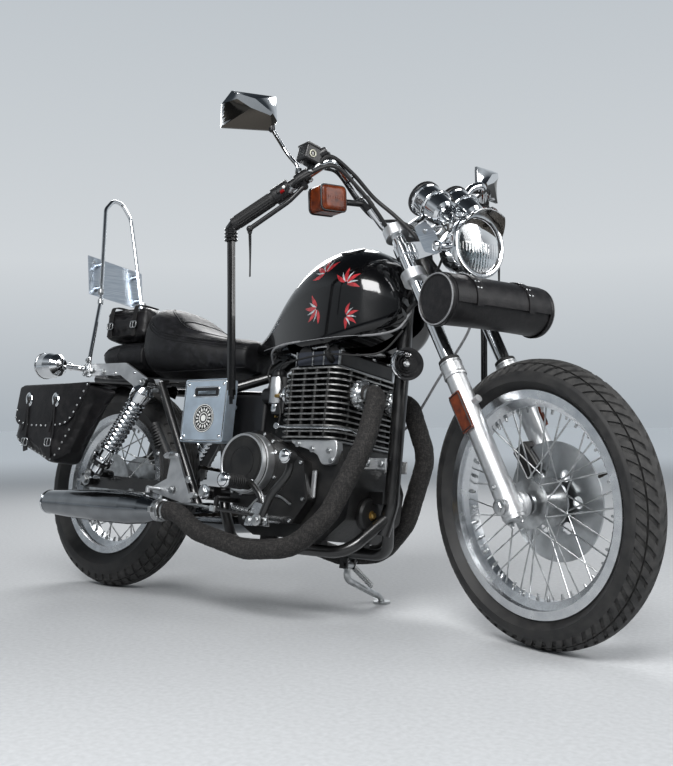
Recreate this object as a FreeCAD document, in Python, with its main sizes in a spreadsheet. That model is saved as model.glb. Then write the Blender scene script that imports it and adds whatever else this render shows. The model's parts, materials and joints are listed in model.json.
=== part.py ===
import FreeCAD, Part
import Sketcher
import math
import os
import re
from FreeCAD import Placement, Rotation, Vector

# Cruiser motorcycle leaning on its side stand, in millimetres and degrees.
# Every piece is modelled upright, with +X forward, +Y to the left, +Z up and the rear tyre's
# contact point at the origin. The steered pieces are then turned about the steering axis, and
# the whole machine is set down on its two tyres and its stand.

SIZES = (
    # chassis
    ("wheelbase", 1450),
    ("rake", 28.5),
    ("fork_offset", 37),
    ("lean", 9),
    ("steer_rest", -20),
    ("steer_lock", 35),
    ("swing_gap", 8),
    ("fit_gap", 0.3),
    # tyres and rims
    ("front_radius", 326),
    ("front_tyre_half", 51),
    ("front_rim_radius", 256),
    ("front_rim_half", 34),
    ("rear_radius", 318),
    ("rear_tyre_half", 64),
    ("rear_rim_radius", 220),
    ("rear_rim_half", 47),
    ("rim_lip", 4),
    ("rim_lip_height", 15),
    ("rim_well_depth", 18),
    ("rim_wall", 5),
    ("spoke_count", 36),
    ("spoke_radius", 1.9),
    ("front_hub_radius", 24),
    ("front_hub_half", 40),
    ("front_flange_radius", 56),
    ("rear_drum_radius", 82),
    ("rear_hub_half", 66),
    ("flange_thickness", 6),
    ("disc_radius", 138),
    ("disc_band", 34),
    ("disc_thickness", 5),
    ("disc_side", 54),
    ("disc_hole_radius", 14),
    ("disc_hole_count", 6),
    ("front_axle_radius", 9),
    ("front_axle_bore", 5.5),
    ("rear_axle_radius", 9),
    ("running_gap", 0.4),
    # fork and steering head
    ("fork_half", 92),
    ("fork_tube_radius", 18),
    ("slider_radius", 27),
    ("slider_length", 373),
    ("slider_foot", 34),
    ("yoke_low_at", 978),
    ("yoke_top_at", 1118),
    ("yoke_thickness", 28),
    ("yoke_round", 31),
    ("stem_radius", 13),
    ("head_radius", 26),
    ("head_gap", 6),
    ("reflector_length", 96),
    ("reflector_width", 34),
    ("reflector_depth", 7),
    ("reflector_at", 240),
    # handlebar and controls
    ("bar_radius", 11),
    ("bar_bend", 45),
    ("riser_height", 34),
    ("riser_half", 45),
    ("riser_radius", 13),
    ("bar_rise", 150),
    ("bar_reach_half", 225),
    ("grip_length", 128),
    ("grip_radius", 17),
    ("grip_end_half", 430),
    ("grip_end_back", 178),
    ("grip_end_drop", 130),
    ("switch_radius", 22),
    ("switch_length", 42),
    ("reservoir_length", 66),
    ("reservoir_width", 46),
    ("reservoir_height", 42),
    ("lever_radius", 6),
    ("lever_gap", 66),
    ("tassel_length", 460),
    ("tassel_radius", 13),
    ("lace_length", 120),
    ("lace_radius", 5),
    ("mirror_width", 144),
    ("mirror_height", 98),
    ("mirror_depth", 30),
    ("mirror_x", 900),
    ("mirror_half", 408),
    ("mirror_z", 1320),
    ("mirror_drop", 88),
    ("mirror_yaw", 22),
    ("mirror_stem_radius", 5),
    # lamps, gauges and roll bag
    ("headlight_radius", 80),
    ("headlight_depth", 112),
    ("headlight_ahead", 215),
    ("headlight_z", 940),
    ("lens_radius", 69),
    ("lens_bulge", 12),
    ("visor_reach", 40),
    ("sheet_metal", 3),
    ("gauge_radius", 44),
    ("gauge_depth", 104),
    ("gauge_ahead", 144),
    ("gauge_z", 1022),
    ("gauge_half", 48),
    ("gauge_tilt", 36),
    ("signal_width", 76),
    ("signal_height", 66),
    ("signal_depth", 54),
    ("signal_half", 262),
    ("roll_radius", 64),
    ("roll_half", 168),
    ("roll_ahead", 118),
    ("roll_z", 789),
    ("roll_droop", 3.5),
    ("strap_thickness", 4),
    ("strap_width", 26),
    # frame
    ("spine_radius", 22),
    ("frame_tube_radius", 15),
    ("rail_tube_radius", 13),
    ("downtube_setback", 412),
    ("downtube_foot_z", 300),
    ("mount_half", 40),
    ("mount_height", 30),
    ("cradle_z", 172),
    ("cradle_half", 92),
    ("pivot_x", 520),
    ("pivot_z", 300),
    ("pivot_half", 132),
    ("spine_drop_x", 590),
    ("spine_drop_z", 650),
    ("seat_rail_half", 108),
    ("seat_rail_z", 622),
    ("tail_x", -60),
    ("shock_half", 168),
    ("shock_top_x", 256),
    ("shock_top_z", 606),
    ("shock_foot_x", 62),
    ("shock_foot_z", 336),
    ("spring_radius", 29),
    ("spring_turns", 11),
    ("damper_radius", 20),
    ("shock_eye_radius", 16),
    ("arm_half", 118),
    ("arm_height", 42),
    ("arm_thickness", 26),
    # engine
    ("engine_behind", 182),
    ("case_behind", 63),
    ("case_half", 118),
    ("case_top", 446),
    ("case_floor", 197),
    ("notch_half", 68),
    ("case_length", 394),
    ("barrel_length", 196),
    ("barrel_half", 150),
    ("barrel_core_inset", 26),
    ("fin_count", 13),
    ("fin_pitch", 15),
    ("fin_thickness", 4),
    ("fin_corner", 44),
    ("port_half", 75),
    ("port_z", 572),
    ("collar_radius", 34),
    ("cover_height", 58),
    ("cover_half", 118),
    ("clutch_radius", 78),
    ("clutch_behind", 101),
    ("clutch_z", 380),
    ("cover_depth", 78),
    ("dynamo_radius", 79),
    ("dynamo_ahead", 53),
    ("dynamo_z", 325),
    ("carb_radius", 25),
    ("airbox_rear_x", 476),
    ("airbox_half", 98),
    ("airbox_drop", 104),
    ("airbox_floor", 452),
    # exhaust
    ("pipe_radius", 25),
    ("muffler_radius", 46),
    ("muffler_rear_x", -70),
    ("muffler_length", 500),
    ("muffler_half", 220),
    ("muffler_z", 240),
    ("muffler_tip_radius", 31),
    ("horn_radius", 42),
    ("horn_depth", 34),
    ("horn_setback", 352),
    ("horn_z", 650),
    ("horn_side", 66),
    # tank, seat and luggage
    ("tank_rear_x", 562),
    ("tank_front_setback", 376),
    ("tank_base", 686),
    ("tank_height", 288),
    ("tank_half", 150),
    ("tank_seam", 4),
    ("tunnel_half", 34),
    ("cap_radius", 34),
    ("cap_height", 8),
    ("seat_gap", 6),
    ("seat_rear_x", 132),
    ("seat_base", 640),
    ("seat_height", 230),
    ("seat_half", 156),
    ("pillion_rear_x", -92),
    ("pillion_height", 132),
    ("pillion_half", 117),
    ("pack_length", 198),
    ("pack_half", 100),
    ("pack_height", 112),
    ("pack_round", 16),
    ("fender_gap", 30),
    ("fender_half", 82),
    ("fender_skirt", 44),
    ("fender_front_angle", 20),
    ("fender_rear_angle", 62),
    ("strut_half", 131),
    ("strut_thickness", 10),
    ("strut_height", 38),
    ("strut_rear_x", -104),
    ("sissy_radius", 7),
    ("sissy_foot_x", -59),
    ("sissy_waist_z", 905),
    ("sissy_waist_half", 92),
    ("sissy_waist_x", -119),
    ("sissy_top_z", 1296),
    ("sissy_top_half", 56),
    ("sissy_top_x", -216),
    ("plate_width", 232),
    ("plate_height", 140),
    ("plate_thickness", 3),
    ("plate_z", 998),
    ("plate_standoff", 20),
    ("tail_lamp_radius", 44),
    ("tail_lamp_depth", 46),
    ("bullet_radius", 41),
    ("bullet_length", 94),
    ("bullet_half", 200),
    ("bullet_x", -172),
    ("bullet_z", 672),
    ("bag_inner_half", 202),
    ("bag_depth", 118),
    ("bag_round", 18),
    ("panel_width", 167),
    ("panel_height", 176),
    ("panel_half", 165),
    ("panel_depth", 38),
    ("panel_rear_x", 415),
    ("panel_z", 524),
    # pegs, levers, chain and stand
    ("peg_radius", 17),
    ("peg_length", 96),
    ("peg_setback", 712),
    ("peg_z", 325),
    ("peg_root_half", 212),
    ("bracket_half", 222),
    ("bracket_thickness", 8),
    ("bracket_setback", 650),
    ("bracket_z", 240),
    ("pedal_radius", 10),
    ("pedal_pad_radius", 16),
    ("pedal_pad_setback", 556),
    ("pedal_pad_z", 392),
    ("rod_radius", 4),
    ("hanger_half", 172),
    ("hanger_thickness", 8),
    ("hanger_z", 330),
    ("rear_peg_radius", 13),
    ("rear_peg_length", 100),
    ("chain_half", 88),
    ("chain_width", 14),
    ("chain_height", 11),
    ("link_count", 58),
    ("sprocket_radius", 88),
    ("sprocket_thickness", 6),
    ("sprocket_teeth", 34),
    ("drive_sprocket_radius", 36),
    ("drive_sprocket_x", 606),
    ("drive_sprocket_z", 306),
    ("stand_pivot_x", 836),
    ("stand_pivot_half", 108),
    ("stand_drop", 19),
    ("stand_radius", 9),
    ("stand_foot_x", 854),
    ("stand_foot_side", 262),
    ("stand_foot_radius", 24),
    ("stand_foot_height", 6),
)
NAMES = {name for name, _ in SIZES}

doc = FreeCAD.newDocument("Cruiser")
sheet = doc.addObject("Spreadsheet::Sheet", "Sizes")
for row, (name, number) in enumerate(SIZES, start=1):
    sheet.set("A%d" % row, name)
    sheet.set("B%d" % row, str(number))
    sheet.setAlias("B%d" % row, name)
doc.recompute()


def s(name):
    """A size from the sheet."""
    return float(sheet.get(name))


def bind(text):
    """An expression of size names, as the document's objects read it."""
    def sized(word):
        return "Sizes." + word.group() if word.group() in NAMES else word.group()
    return re.sub(r"[a-z][a-z0-9_]*", sized, text)


def value(text):
    """The number that an expression of size names stands for."""
    return float(sheet.evalExpression(bind(text)))


# Steering geometry and stance

RAKE = math.radians(s("rake"))
FRONT_X = s("wheelbase")
TRAIL = (s("front_radius") * math.sin(RAKE) - s("fork_offset")) / math.cos(RAKE)
STEER_FOOT = Vector(FRONT_X + TRAIL, 0, 0)
STEER_AXIS = Vector(-math.sin(RAKE), 0, math.cos(RAKE))
STEER_AHEAD = Vector(math.cos(RAKE), 0, math.sin(RAKE))
FRONT_AXLE = Vector(FRONT_X, 0, s("front_radius"))
REAR_AXLE = Vector(0, 0, s("rear_radius"))
SIDEWAYS = Vector(0, 1, 0)
STEER = Placement(Vector(), Rotation(STEER_AXIS, s("steer_rest")), STEER_FOOT)


def lowest(place, centre, axle, radius, crown):
    """Height of the lowest point of a tyre whose tread is an arc of radius crown."""
    middle = place.multVec(centre)
    tilt = place.Rotation.multVec(axle).z
    return middle.z - (radius - crown) * math.sqrt(1 - tilt * tilt) - crown


def stance():
    """The placement that sets both tyres on the floor at the stand's lean."""
    front_axle = STEER.multVec(FRONT_AXLE)
    front_dir = STEER.Rotation.multVec(SIDEWAYS)
    leaning = Rotation(Vector(1, 0, 0), -s("lean"))
    pitch = 0.0
    for _ in range(8):
        turn = Placement(Vector(), leaning.multiply(Rotation(Vector(0, 1, 0), math.degrees(pitch))))
        rear = lowest(turn, REAR_AXLE, SIDEWAYS, s("rear_radius"), s("rear_tyre_half"))
        front = lowest(turn, front_axle, front_dir, s("front_radius"), s("front_tyre_half"))
        pitch += (front - rear) / FRONT_X
    return Placement(Vector(0, 0, -rear), turn.Rotation)


STANCE = stance()
FORK_STANCE = STANCE.multiply(STEER)
NODES = []


def behind(setback):
    """The x of a place measured back from the front axle."""
    return FRONT_X - s(setback)


def barrel_x():
    """The barrel's middle, measured back from the downtube."""
    return behind("downtube_setback") - s("engine_behind")


def case_x():
    return barrel_x() - s("case_behind")


def clutch_x():
    return case_x() - s("clutch_behind")


def on_axis(along, ahead=0, side=0):
    """A point in the fork's own directions: up the steering axis, ahead of it and to one side."""
    return STEER_FOOT + STEER_AXIS * along + STEER_AHEAD * ahead + SIDEWAYS * side


# Shape helpers

def mirrored(shape):
    return shape.mirror(Vector(), SIDEWAYS)


def both_sides(shape):
    """A piece and its mirror image, as two solids of one node."""
    return Part.makeCompound([shape, mirrored(shape)])


def fused(shapes):
    first, rest = shapes[0], shapes[1:]
    return first.multiFuse(rest).removeSplitter() if rest else first


def rod(start, end, radius):
    return Part.makeCylinder(radius, (end - start).Length, start, end - start)


def block(low, high):
    size = high - low
    return Part.makeBox(size.x, size.y, size.z, low)


def rounded_block(low, high, radius):
    solid = block(low, high)
    return solid.makeFillet(radius, solid.Edges)


def runs(points, bend):
    """A wire of straight runs joined by tangent arcs, each as large as bend and the runs allow."""
    edges = []
    start = points[0]
    for before, corner, after in zip(points, points[1:], points[2:]):
        back = before - corner
        on = after - corner
        turn = math.pi - back.getAngle(on)
        reach = min(bend * math.tan(turn / 2), 0.45 * min(back.Length, on.Length))
        radius = reach / math.tan(turn / 2)
        back.normalize()
        on.normalize()
        first = corner + back * reach
        last = corner + on * reach
        inward = back + on
        inward.normalize()
        centre = corner + inward * (radius / math.cos(turn / 2))
        middle = centre - inward * radius
        edges.append(Part.LineSegment(start, first).toShape())
        edges.append(Part.Arc(first, middle, last).toShape())
        start = last
    edges.append(Part.LineSegment(start, points[-1]).toShape())
    return Part.Wire(edges)


def tube(points, radius, bend):
    """A round bar bent along straight runs and arcs."""
    wire = runs(points, bend)
    ring = Part.Circle(points[0], points[1] - points[0], radius).toShape()
    solid = wire.makePipeShell([Part.Wire([ring])], True, True)
    if abs(solid.Volume / (math.pi * radius ** 2 * wire.Length) - 1) > 0.02:
        raise ValueError("a bent bar lost volume")
    return solid


def section(x, low, high, half, top_round, low_round):
    """A closed outline in the plane x: flat top, sides and floor joined by quarter arcs."""
    top = min(top_round, 0.92 * half, 0.6 * (high - low))
    foot = min(low_round, 0.5 * half, 0.3 * (high - low))
    corners = (
        (half - foot, low + foot, foot, -90),
        (half - top, high - top, top, 0),
        (-half + top, high - top, top, 90),
        (-half + foot, low + foot, foot, 180),
    )
    edges = []
    last = None
    for y, z, radius, begin in corners:
        places = []
        for part_turn in (0, 45, 90):
            angle = math.radians(begin + part_turn)
            places.append(Vector(x, y + radius * math.cos(angle), z + radius * math.sin(angle)))
        if last is not None:
            edges.append(Part.LineSegment(last, places[0]).toShape())
        edges.append(Part.Arc(*places).toShape())
        last = places[2]
    edges.append(Part.LineSegment(last, edges[0].Vertexes[0].Point).toShape())
    return Part.Wire(edges)


def sketch(body, plane, outline, name):
    """A closed outline whose corners' distances from the origin are bound to the sheet."""
    drawn = body.newObject("Sketcher::SketchObject", name)
    base = [f for f in body.Origin.OriginFeatures if f.Role == plane][0]
    drawn.AttachmentSupport = [(base, "")]
    drawn.MapMode = "FlatFace"
    spots = [Vector(value(x), value(y), 0) for x, y in outline]
    count = len(spots)
    for i in range(count):
        drawn.addGeometry(Part.LineSegment(spots[i], spots[(i + 1) % count]), False)
    for i in range(count):
        drawn.addConstraint(Sketcher.Constraint("Coincident", i, 2, (i + 1) % count, 1))
    for i, (x, y) in enumerate(outline):
        for kind, text, number in (("DistanceX", x, spots[i].x), ("DistanceY", y, spots[i].y)):
            index = drawn.addConstraint(Sketcher.Constraint(kind, -1, 1, i, 1, number))
            drawn.setExpression("Constraints[%d]" % index, bind(text))
    return drawn


def turned(name, outline, angle=360):
    """A body turned about its own Y axis from an outline of (radius, along) corners."""
    body = doc.addObject("PartDesign::Body", name)
    drawn = sketch(body, "XY_Plane", outline, name + "_outline")
    turn = body.newObject("PartDesign::Revolution", name + "_turn")
    turn.Profile = drawn
    turn.ReferenceAxis = (drawn, ["V_Axis"])
    turn.Angle = angle
    drawn.Visibility = False
    doc.recompute()
    return body


def plate(name, outline, thickness, rounding=None):
    """A body cut from sheet: an (x, z) outline as thick as a size says, about the plane y = 0."""
    body = doc.addObject("PartDesign::Body", name)
    drawn = sketch(body, "XZ_Plane", outline, name + "_outline")
    pad = body.newObject("PartDesign::Pad", name + "_pad")
    pad.Profile = drawn
    pad.setExpression("Length", bind(thickness))
    pad.Midplane = True
    doc.recompute()
    if rounding:
        across = []
        for i, edge in enumerate(pad.Shape.Edges, start=1):
            if abs(edge.tangentAt(edge.FirstParameter).y) > 0.99:
                across.append("Edge%d" % i)
        fillet = body.newObject("PartDesign::Fillet", name + "_fillet")
        fillet.Base = (pad, across)
        fillet.setExpression("Radius", bind(rounding))
        doc.recompute()
    return body


def along_y(point, direction=SIDEWAYS):
    """A placement that carries a turned body's Y axis to a direction."""
    return Placement(point, Rotation(SIDEWAYS, direction))


def placed(body, place):
    """A copy of a body's shape, set down at a place in the upright frame."""
    shape = body.Shape.copy()
    shape.Placement = place.multiply(shape.Placement)
    return shape


def keep(node, made, place):
    """Names a sub-part and gives it its place; a bare shape becomes a feature first."""
    if isinstance(made, Part.Shape):
        feature = doc.addObject("Part::Feature", node)
        feature.Shape = made
        made = feature
    made.Label = node
    made.Placement = place.multiply(made.Placement)
    NODES.append((node, made))
    return made


# Wheels

def tyre(prefix):
    """A tyre: a round crown over straight sidewalls that tuck in between the rim's lips."""
    radius = prefix + "_radius"
    half = prefix + "_tyre_half"
    seat = prefix + "_rim_radius - rim_lip_height"
    bead = prefix + "_rim_half - rim_lip - fit_gap"
    belt = "%s - %s" % (radius, half)
    inner = [(seat + " + fit_gap", "-(%s)" % bead), (prefix + "_rim_radius + 3", "-(%s)" % bead)]
    crown = []
    for degrees in range(-90, 91, 18):
        share = math.radians(degrees)
        crown.append((
            "%s + %s * %.5f" % (belt, half, math.cos(share)),
            "%s * %.5f" % (half, math.sin(share)),
        ))
    outer = [(prefix + "_rim_radius + 3", bead), (seat + " + fit_gap", bead)]
    return turned(prefix + "_tyre", inner + crown + outer)


def rim(prefix):
    """An alloy rim: two lips, two bead seats and a dropped centre."""
    lip = prefix + "_rim_radius"
    half = prefix + "_rim_half"
    seat = "%s - rim_lip_height" % lip
    well = "%s - rim_well_depth" % seat
    outline = [
        (lip, "-(%s)" % half),
        (lip, "-(%s - rim_lip)" % half),
        (seat, "-(%s - rim_lip)" % half),
        (seat, "-(%s * 0.5)" % half),
        (well, "-(%s * 0.32)" % half),
        (well, "%s * 0.32" % half),
        (seat, "%s * 0.5" % half),
        (seat, "%s - rim_lip" % half),
        (lip, "%s - rim_lip" % half),
        (lip, half),
        (seat + " - rim_wall", half),
        (seat + " - rim_wall", "%s * 0.55" % half),
        (well + " - rim_wall", "%s * 0.38" % half),
        (well + " - rim_wall", "-(%s * 0.38)" % half),
        (seat + " - rim_wall", "-(%s * 0.55)" % half),
        (seat + " - rim_wall", "-(%s)" % half),
    ]
    return turned(prefix + "_rim", outline)


def spokes(rim_inner, flange_radius, flange_side):
    """Laced spokes: each leaves its flange at a slant and meets the rim a few holes on."""
    count = int(s("spoke_count"))
    step = 2 * math.pi / count
    hole_radius = flange_radius - 2 * s("spoke_radius")
    made = []
    for i in range(count):
        side = 1 if i % 2 else -1
        lean = 3.2 if (i // 2) % 2 else -3.2
        out = i * step
        root = out + lean * step
        begin = Vector(hole_radius * math.cos(root), side * flange_side, hole_radius * math.sin(root))
        end = Vector(rim_inner * math.cos(out), side * s("rim_wall"), rim_inner * math.sin(out))
        slant = (end - begin).getAngle(Vector(end.x, 0, end.z))
        reach = rim_inner - s("fit_gap") - s("spoke_radius") * math.sin(slant)
        end = Vector(reach * math.cos(out), side * s("rim_wall"), reach * math.sin(out))
        made.append(rod(begin, end, s("spoke_radius")))
    return made


def wheel_hub(prefix, core, flange, half, bore, drum=None):
    """A hub turned on its axle, with two spoke flanges, laced to the rim."""
    bored = "%s + running_gap" % bore
    outline = [(bored, "-(%s)" % half), (core, "-(%s)" % half)]
    outer = "%s - 4" % half
    inner = "%s - 4 - flange_thickness" % half
    for mark, first, second in (("-(%s)", outer, inner), ("%s", inner, outer)):
        outline.append((core, mark % first))
        outline.append((flange, mark % first))
        outline.append((flange, mark % second))
        outline.append((drum or core, mark % second))
    outline += [(core, half), (bored, half)]
    hub = turned(prefix + "_hub", outline)
    rim_inner = value("%s_rim_radius - rim_lip_height - rim_well_depth - rim_wall" % prefix)
    side = value(half) - 4 - s("flange_thickness") / 2
    return hub.Shape.multiFuse(spokes(rim_inner, value(flange), side))


def disc():
    """A drilled brake disc on its carrier."""
    body = turned("disc_blank", [
        ("front_hub_radius + 1", "-disc_thickness / 2"),
        ("disc_radius", "-disc_thickness / 2"),
        ("disc_radius", "disc_thickness / 2"),
        ("front_hub_radius + 1", "disc_thickness / 2"),
    ])
    ring = (s("front_hub_radius") + s("disc_radius") - s("disc_band")) / 2 + 4
    holes = []
    for i in range(int(s("disc_hole_count"))):
        angle = 2 * math.pi * i / s("disc_hole_count")
        spot = Vector(ring * math.cos(angle), -s("disc_thickness"), ring * math.sin(angle))
        holes.append(Part.makeCylinder(s("disc_hole_radius"), 2 * s("disc_thickness"), spot, SIDEWAYS))
    return body.Shape.cut(holes)


def sprocket():
    """A toothed sprocket blank with a round bore that seats on the hub."""
    teeth = int(s("sprocket_teeth"))
    tip = s("sprocket_radius")
    corners = []
    for i in range(2 * teeth):
        angle = math.pi * i / teeth
        radius = tip if i % 2 else tip - 6
        corners.append(Vector(radius * math.cos(angle), 0, radius * math.sin(angle)))
    face = Part.Face(Part.makePolygon(corners + corners[:1]))
    blank = face.extrude(SIDEWAYS * s("sprocket_thickness"))
    bore = Part.makeCylinder(s("rear_axle_radius") + 4, 40, Vector(0, -20, 0), SIDEWAYS)
    return blank.cut(bore)


def build_wheels():
    front = FORK_STANCE.multiply(Placement(FRONT_AXLE, Rotation()))
    rear = STANCE.multiply(Placement(REAR_AXLE, Rotation()))
    keep("front_tyre", tyre("front"), front)
    keep("front_rim", rim("front"), front)
    keep("front_hub_spokes", wheel_hub("front", "front_hub_radius", "front_flange_radius",
                                       "front_hub_half", "front_axle_radius"), front)
    plane = Placement(SIDEWAYS * s("disc_side"), Rotation())
    seat = rod(SIDEWAYS * s("front_hub_half"), SIDEWAYS * (s("disc_side") + s("disc_thickness") / 2),
               s("front_hub_radius") + 1 + s("fit_gap"))
    seat = seat.cut(rod(SIDEWAYS * 30, SIDEWAYS * 80, s("front_axle_radius") + s("running_gap")))
    blade = disc()
    blade.Placement = plane
    keep("brake_disc", blade.fuse(seat), front)
    keep("rear_tyre", tyre("rear"), rear)
    keep("rear_rim", rim("rear"), rear)
    keep("rear_hub_spokes", wheel_hub("rear", "front_hub_radius", "rear_drum_radius + 10", "rear_hub_half",
                                      "rear_axle_radius", "rear_drum_radius"), rear)
    toothed = sprocket()
    toothed.Placement = Placement(SIDEWAYS * (s("chain_half") - s("sprocket_thickness") / 2), Rotation())
    inner = SIDEWAYS * (s("rear_hub_half") + s("fit_gap"))
    spacer = rod(inner, SIDEWAYS * s("chain_half"), s("front_hub_radius"))
    spacer = spacer.cut(rod(SIDEWAYS * 30, SIDEWAYS * 120, s("rear_axle_radius") + s("running_gap")))
    keep("rear_sprocket", toothed.fuse(spacer), rear)


# Fork, steering and handlebar

def slider(side):
    """One lower leg with its seal cap, axle boss and fender lug."""
    axle = FRONT_AXLE + SIDEWAYS * side
    foot = axle - STEER_AXIS * s("slider_foot")
    top = axle + STEER_AXIS * s("slider_length")
    radius = s("slider_radius")
    pieces = [
        rod(foot, top - STEER_AXIS * 30, radius - 2),
        rod(top - STEER_AXIS * 34, top, radius),
        rod(axle - STEER_AXIS * 26, axle + STEER_AXIS * 60, radius),
        rod(axle - SIDEWAYS * (radius + 2), axle + SIDEWAYS * (radius + 2), 19),
    ]
    lug = axle + STEER_AXIS * (s("slider_length") - 120)
    pieces.append(rod(lug, lug + STEER_AHEAD * (radius + 14), 9))
    leg = fused(pieces)
    socket = rod(axle + STEER_AXIS * 60, top + STEER_AXIS * 10, s("fork_tube_radius") + s("fit_gap"))
    crossing = rod(axle - SIDEWAYS * 60, axle + SIDEWAYS * 60, s("front_axle_radius") + s("fit_gap"))
    return leg.cut([socket, crossing])


def yoke(along):
    """A fork clamp: three rounds along the axle's direction, joined by a waisted bridge."""
    depth = s("yoke_thickness")
    low = along - depth / 2
    rounds = [rod(on_axis(low, 0), on_axis(low + depth, 0), s("head_radius") + 6)]
    for side in (-s("fork_half"), s("fork_half")):
        place = on_axis(low, s("fork_offset"), side)
        rounds.append(rod(place, place + STEER_AXIS * depth, s("yoke_round")))
    corners = []
    for ahead, side in ((-14, -66), (-24, 0), (-14, 66), (44, 84), (36, 0), (44, -84)):
        corners.append(on_axis(low + 4, ahead, side))
    web = Part.Face(Part.makePolygon(corners + corners[:1])).extrude(STEER_AXIS * (depth - 8))
    return fused(rounds + [web])


def yokes():
    """Both clamps and the stem, bored for the fork tubes."""
    made = [yoke(s("yoke_low_at")), yoke(s("yoke_top_at"))]
    made.append(rod(on_axis(s("yoke_low_at")), on_axis(s("yoke_top_at") + s("yoke_thickness")), s("stem_radius")))
    for side in (-s("riser_half"), s("riser_half")):
        foot = on_axis(s("yoke_top_at"), 0, side)
        made.append(rod(foot, foot + STEER_AXIS * (s("yoke_thickness") / 2 + s("riser_height")), s("riser_radius")))
    body = fused(made)
    cuts = []
    for side in (-s("fork_half"), s("fork_half")):
        foot = on_axis(s("yoke_low_at") - 60, s("fork_offset"), side)
        cuts.append(rod(foot, foot + STEER_AXIS * 300, s("fork_tube_radius") + s("fit_gap")))
    bar = bar_points()[0]
    cuts.append(rod(bar - SIDEWAYS * 120, bar + SIDEWAYS * 120, s("bar_radius") + s("fit_gap")))
    return body.cut(cuts)


def bar_points():
    """The handlebar's centreline on the right: clamp, rise, shoulder and grip end."""
    clamp = on_axis(s("yoke_top_at") + s("yoke_thickness") / 2 + s("riser_height") - 8)
    rise = clamp + Vector(0, -82, 0)
    shoulder = clamp + Vector(0, -s("bar_reach_half"), s("bar_rise"))
    knee = shoulder + Vector(10, -34, 10)
    end = clamp + Vector(-s("grip_end_back"), -s("grip_end_half"), s("bar_rise") - s("grip_end_drop"))
    return clamp, rise, shoulder, knee, end


def handlebar():
    clamp, rise, shoulder, knee, end = bar_points()
    right = [clamp, rise, shoulder, knee, end]
    left = [Vector(p.x, -p.y, p.z) for p in reversed(right[1:])]
    return tube(left + right[1:], s("bar_radius"), s("bar_bend"))


def grip_line():
    """The grip's end and the direction from there back up the bar, on the right."""
    knee, end = bar_points()[3:]
    inward = knee - end
    inward.normalize()
    return end, inward


def grips():
    end, inward = grip_line()
    sleeve = rod(end - inward * 4, end + inward * s("grip_length"), s("grip_radius"))
    flange = rod(end + inward * (s("grip_length") - 6), end + inward * s("grip_length"), s("grip_radius") + 5)
    bore = rod(end, end + inward * 300, s("bar_radius") + s("fit_gap"))
    return both_sides(fused([sleeve, flange]).cut(bore))


def perch():
    """Where a hand control's perch clasps the bar, inboard of the switch housing, on the right."""
    end, inward = grip_line()
    return end + inward * (s("grip_length") + s("switch_length") + 34)


def lever_ends():
    """Pivot and tip of a hand lever on the right, a hand's grasp ahead of the grip."""
    end, inward = grip_line()
    ahead = Vector(1, 0, -0.42)
    ahead = ahead - inward * ahead.dot(inward)
    ahead.normalize()
    start = perch() + ahead * 38
    tip = end + inward * 34 + ahead * s("lever_gap")
    return start, tip, ahead


def hand_control(with_reservoir):
    """Switch housing, perch and hand lever; the brake side also has the fluid reservoir."""
    end, inward = grip_line()
    start, tip, ahead = lever_ends()
    near = end + inward * (s("grip_length") + s("fit_gap"))
    housing = rod(near, near + inward * s("switch_length"), s("switch_radius"))
    clasp = rod(perch() - inward * 14, perch() + inward * (24 if with_reservoir else 14), s("bar_radius") + 7)
    arm = rod(perch(), start + ahead * 6, 9)
    bend = start + (tip - start) * 0.3 + ahead * 14
    lever = tube([start, bend, tip], s("lever_radius"), 60)
    ball = Part.makeSphere(s("lever_radius") + 2.5, tip)
    link = rod(near, perch(), s("bar_radius") + 3)
    pieces = [housing, link, clasp, arm, lever, ball]
    if with_reservoir:
        middle = perch() + inward * 30 + Vector(6, 0, s("reservoir_height") / 2 + 16)
        half = Vector(s("reservoir_width") / 2, s("reservoir_length") / 2, s("reservoir_height") / 2)
        tank = rounded_block(middle - half, middle + half, 6)
        tank.rotate(middle, Vector(1, 0, 0), -18)
        pieces.append(tank)
        pieces.append(rod(middle, middle - Vector(6, 0, s("reservoir_height") / 2 + 14), 12))
    bore = rod(end, end + inward * 300, s("bar_radius") + s("fit_gap"))
    return fused(pieces).cut(bore)


MIRROR_OUTLINE = (
    # across, up: shares of the head's width and height, across towards the bike's middle
    (-0.29, 0.49),
    (0.49, 0.38),
    (0.50, -0.26),
    (0.40, -0.51),
    (-0.50, -0.48),
    (-0.47, 0.14),
)
MIRROR_RIDGE = (
    # the same corners drawn in to the head's slanting ridge
    (-0.20, 0.34),
    (0.10, 0.22),
    (0.40, -0.14),
    (0.36, -0.20),
    (0.02, -0.02),
    (-0.22, 0.20),
)


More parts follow.
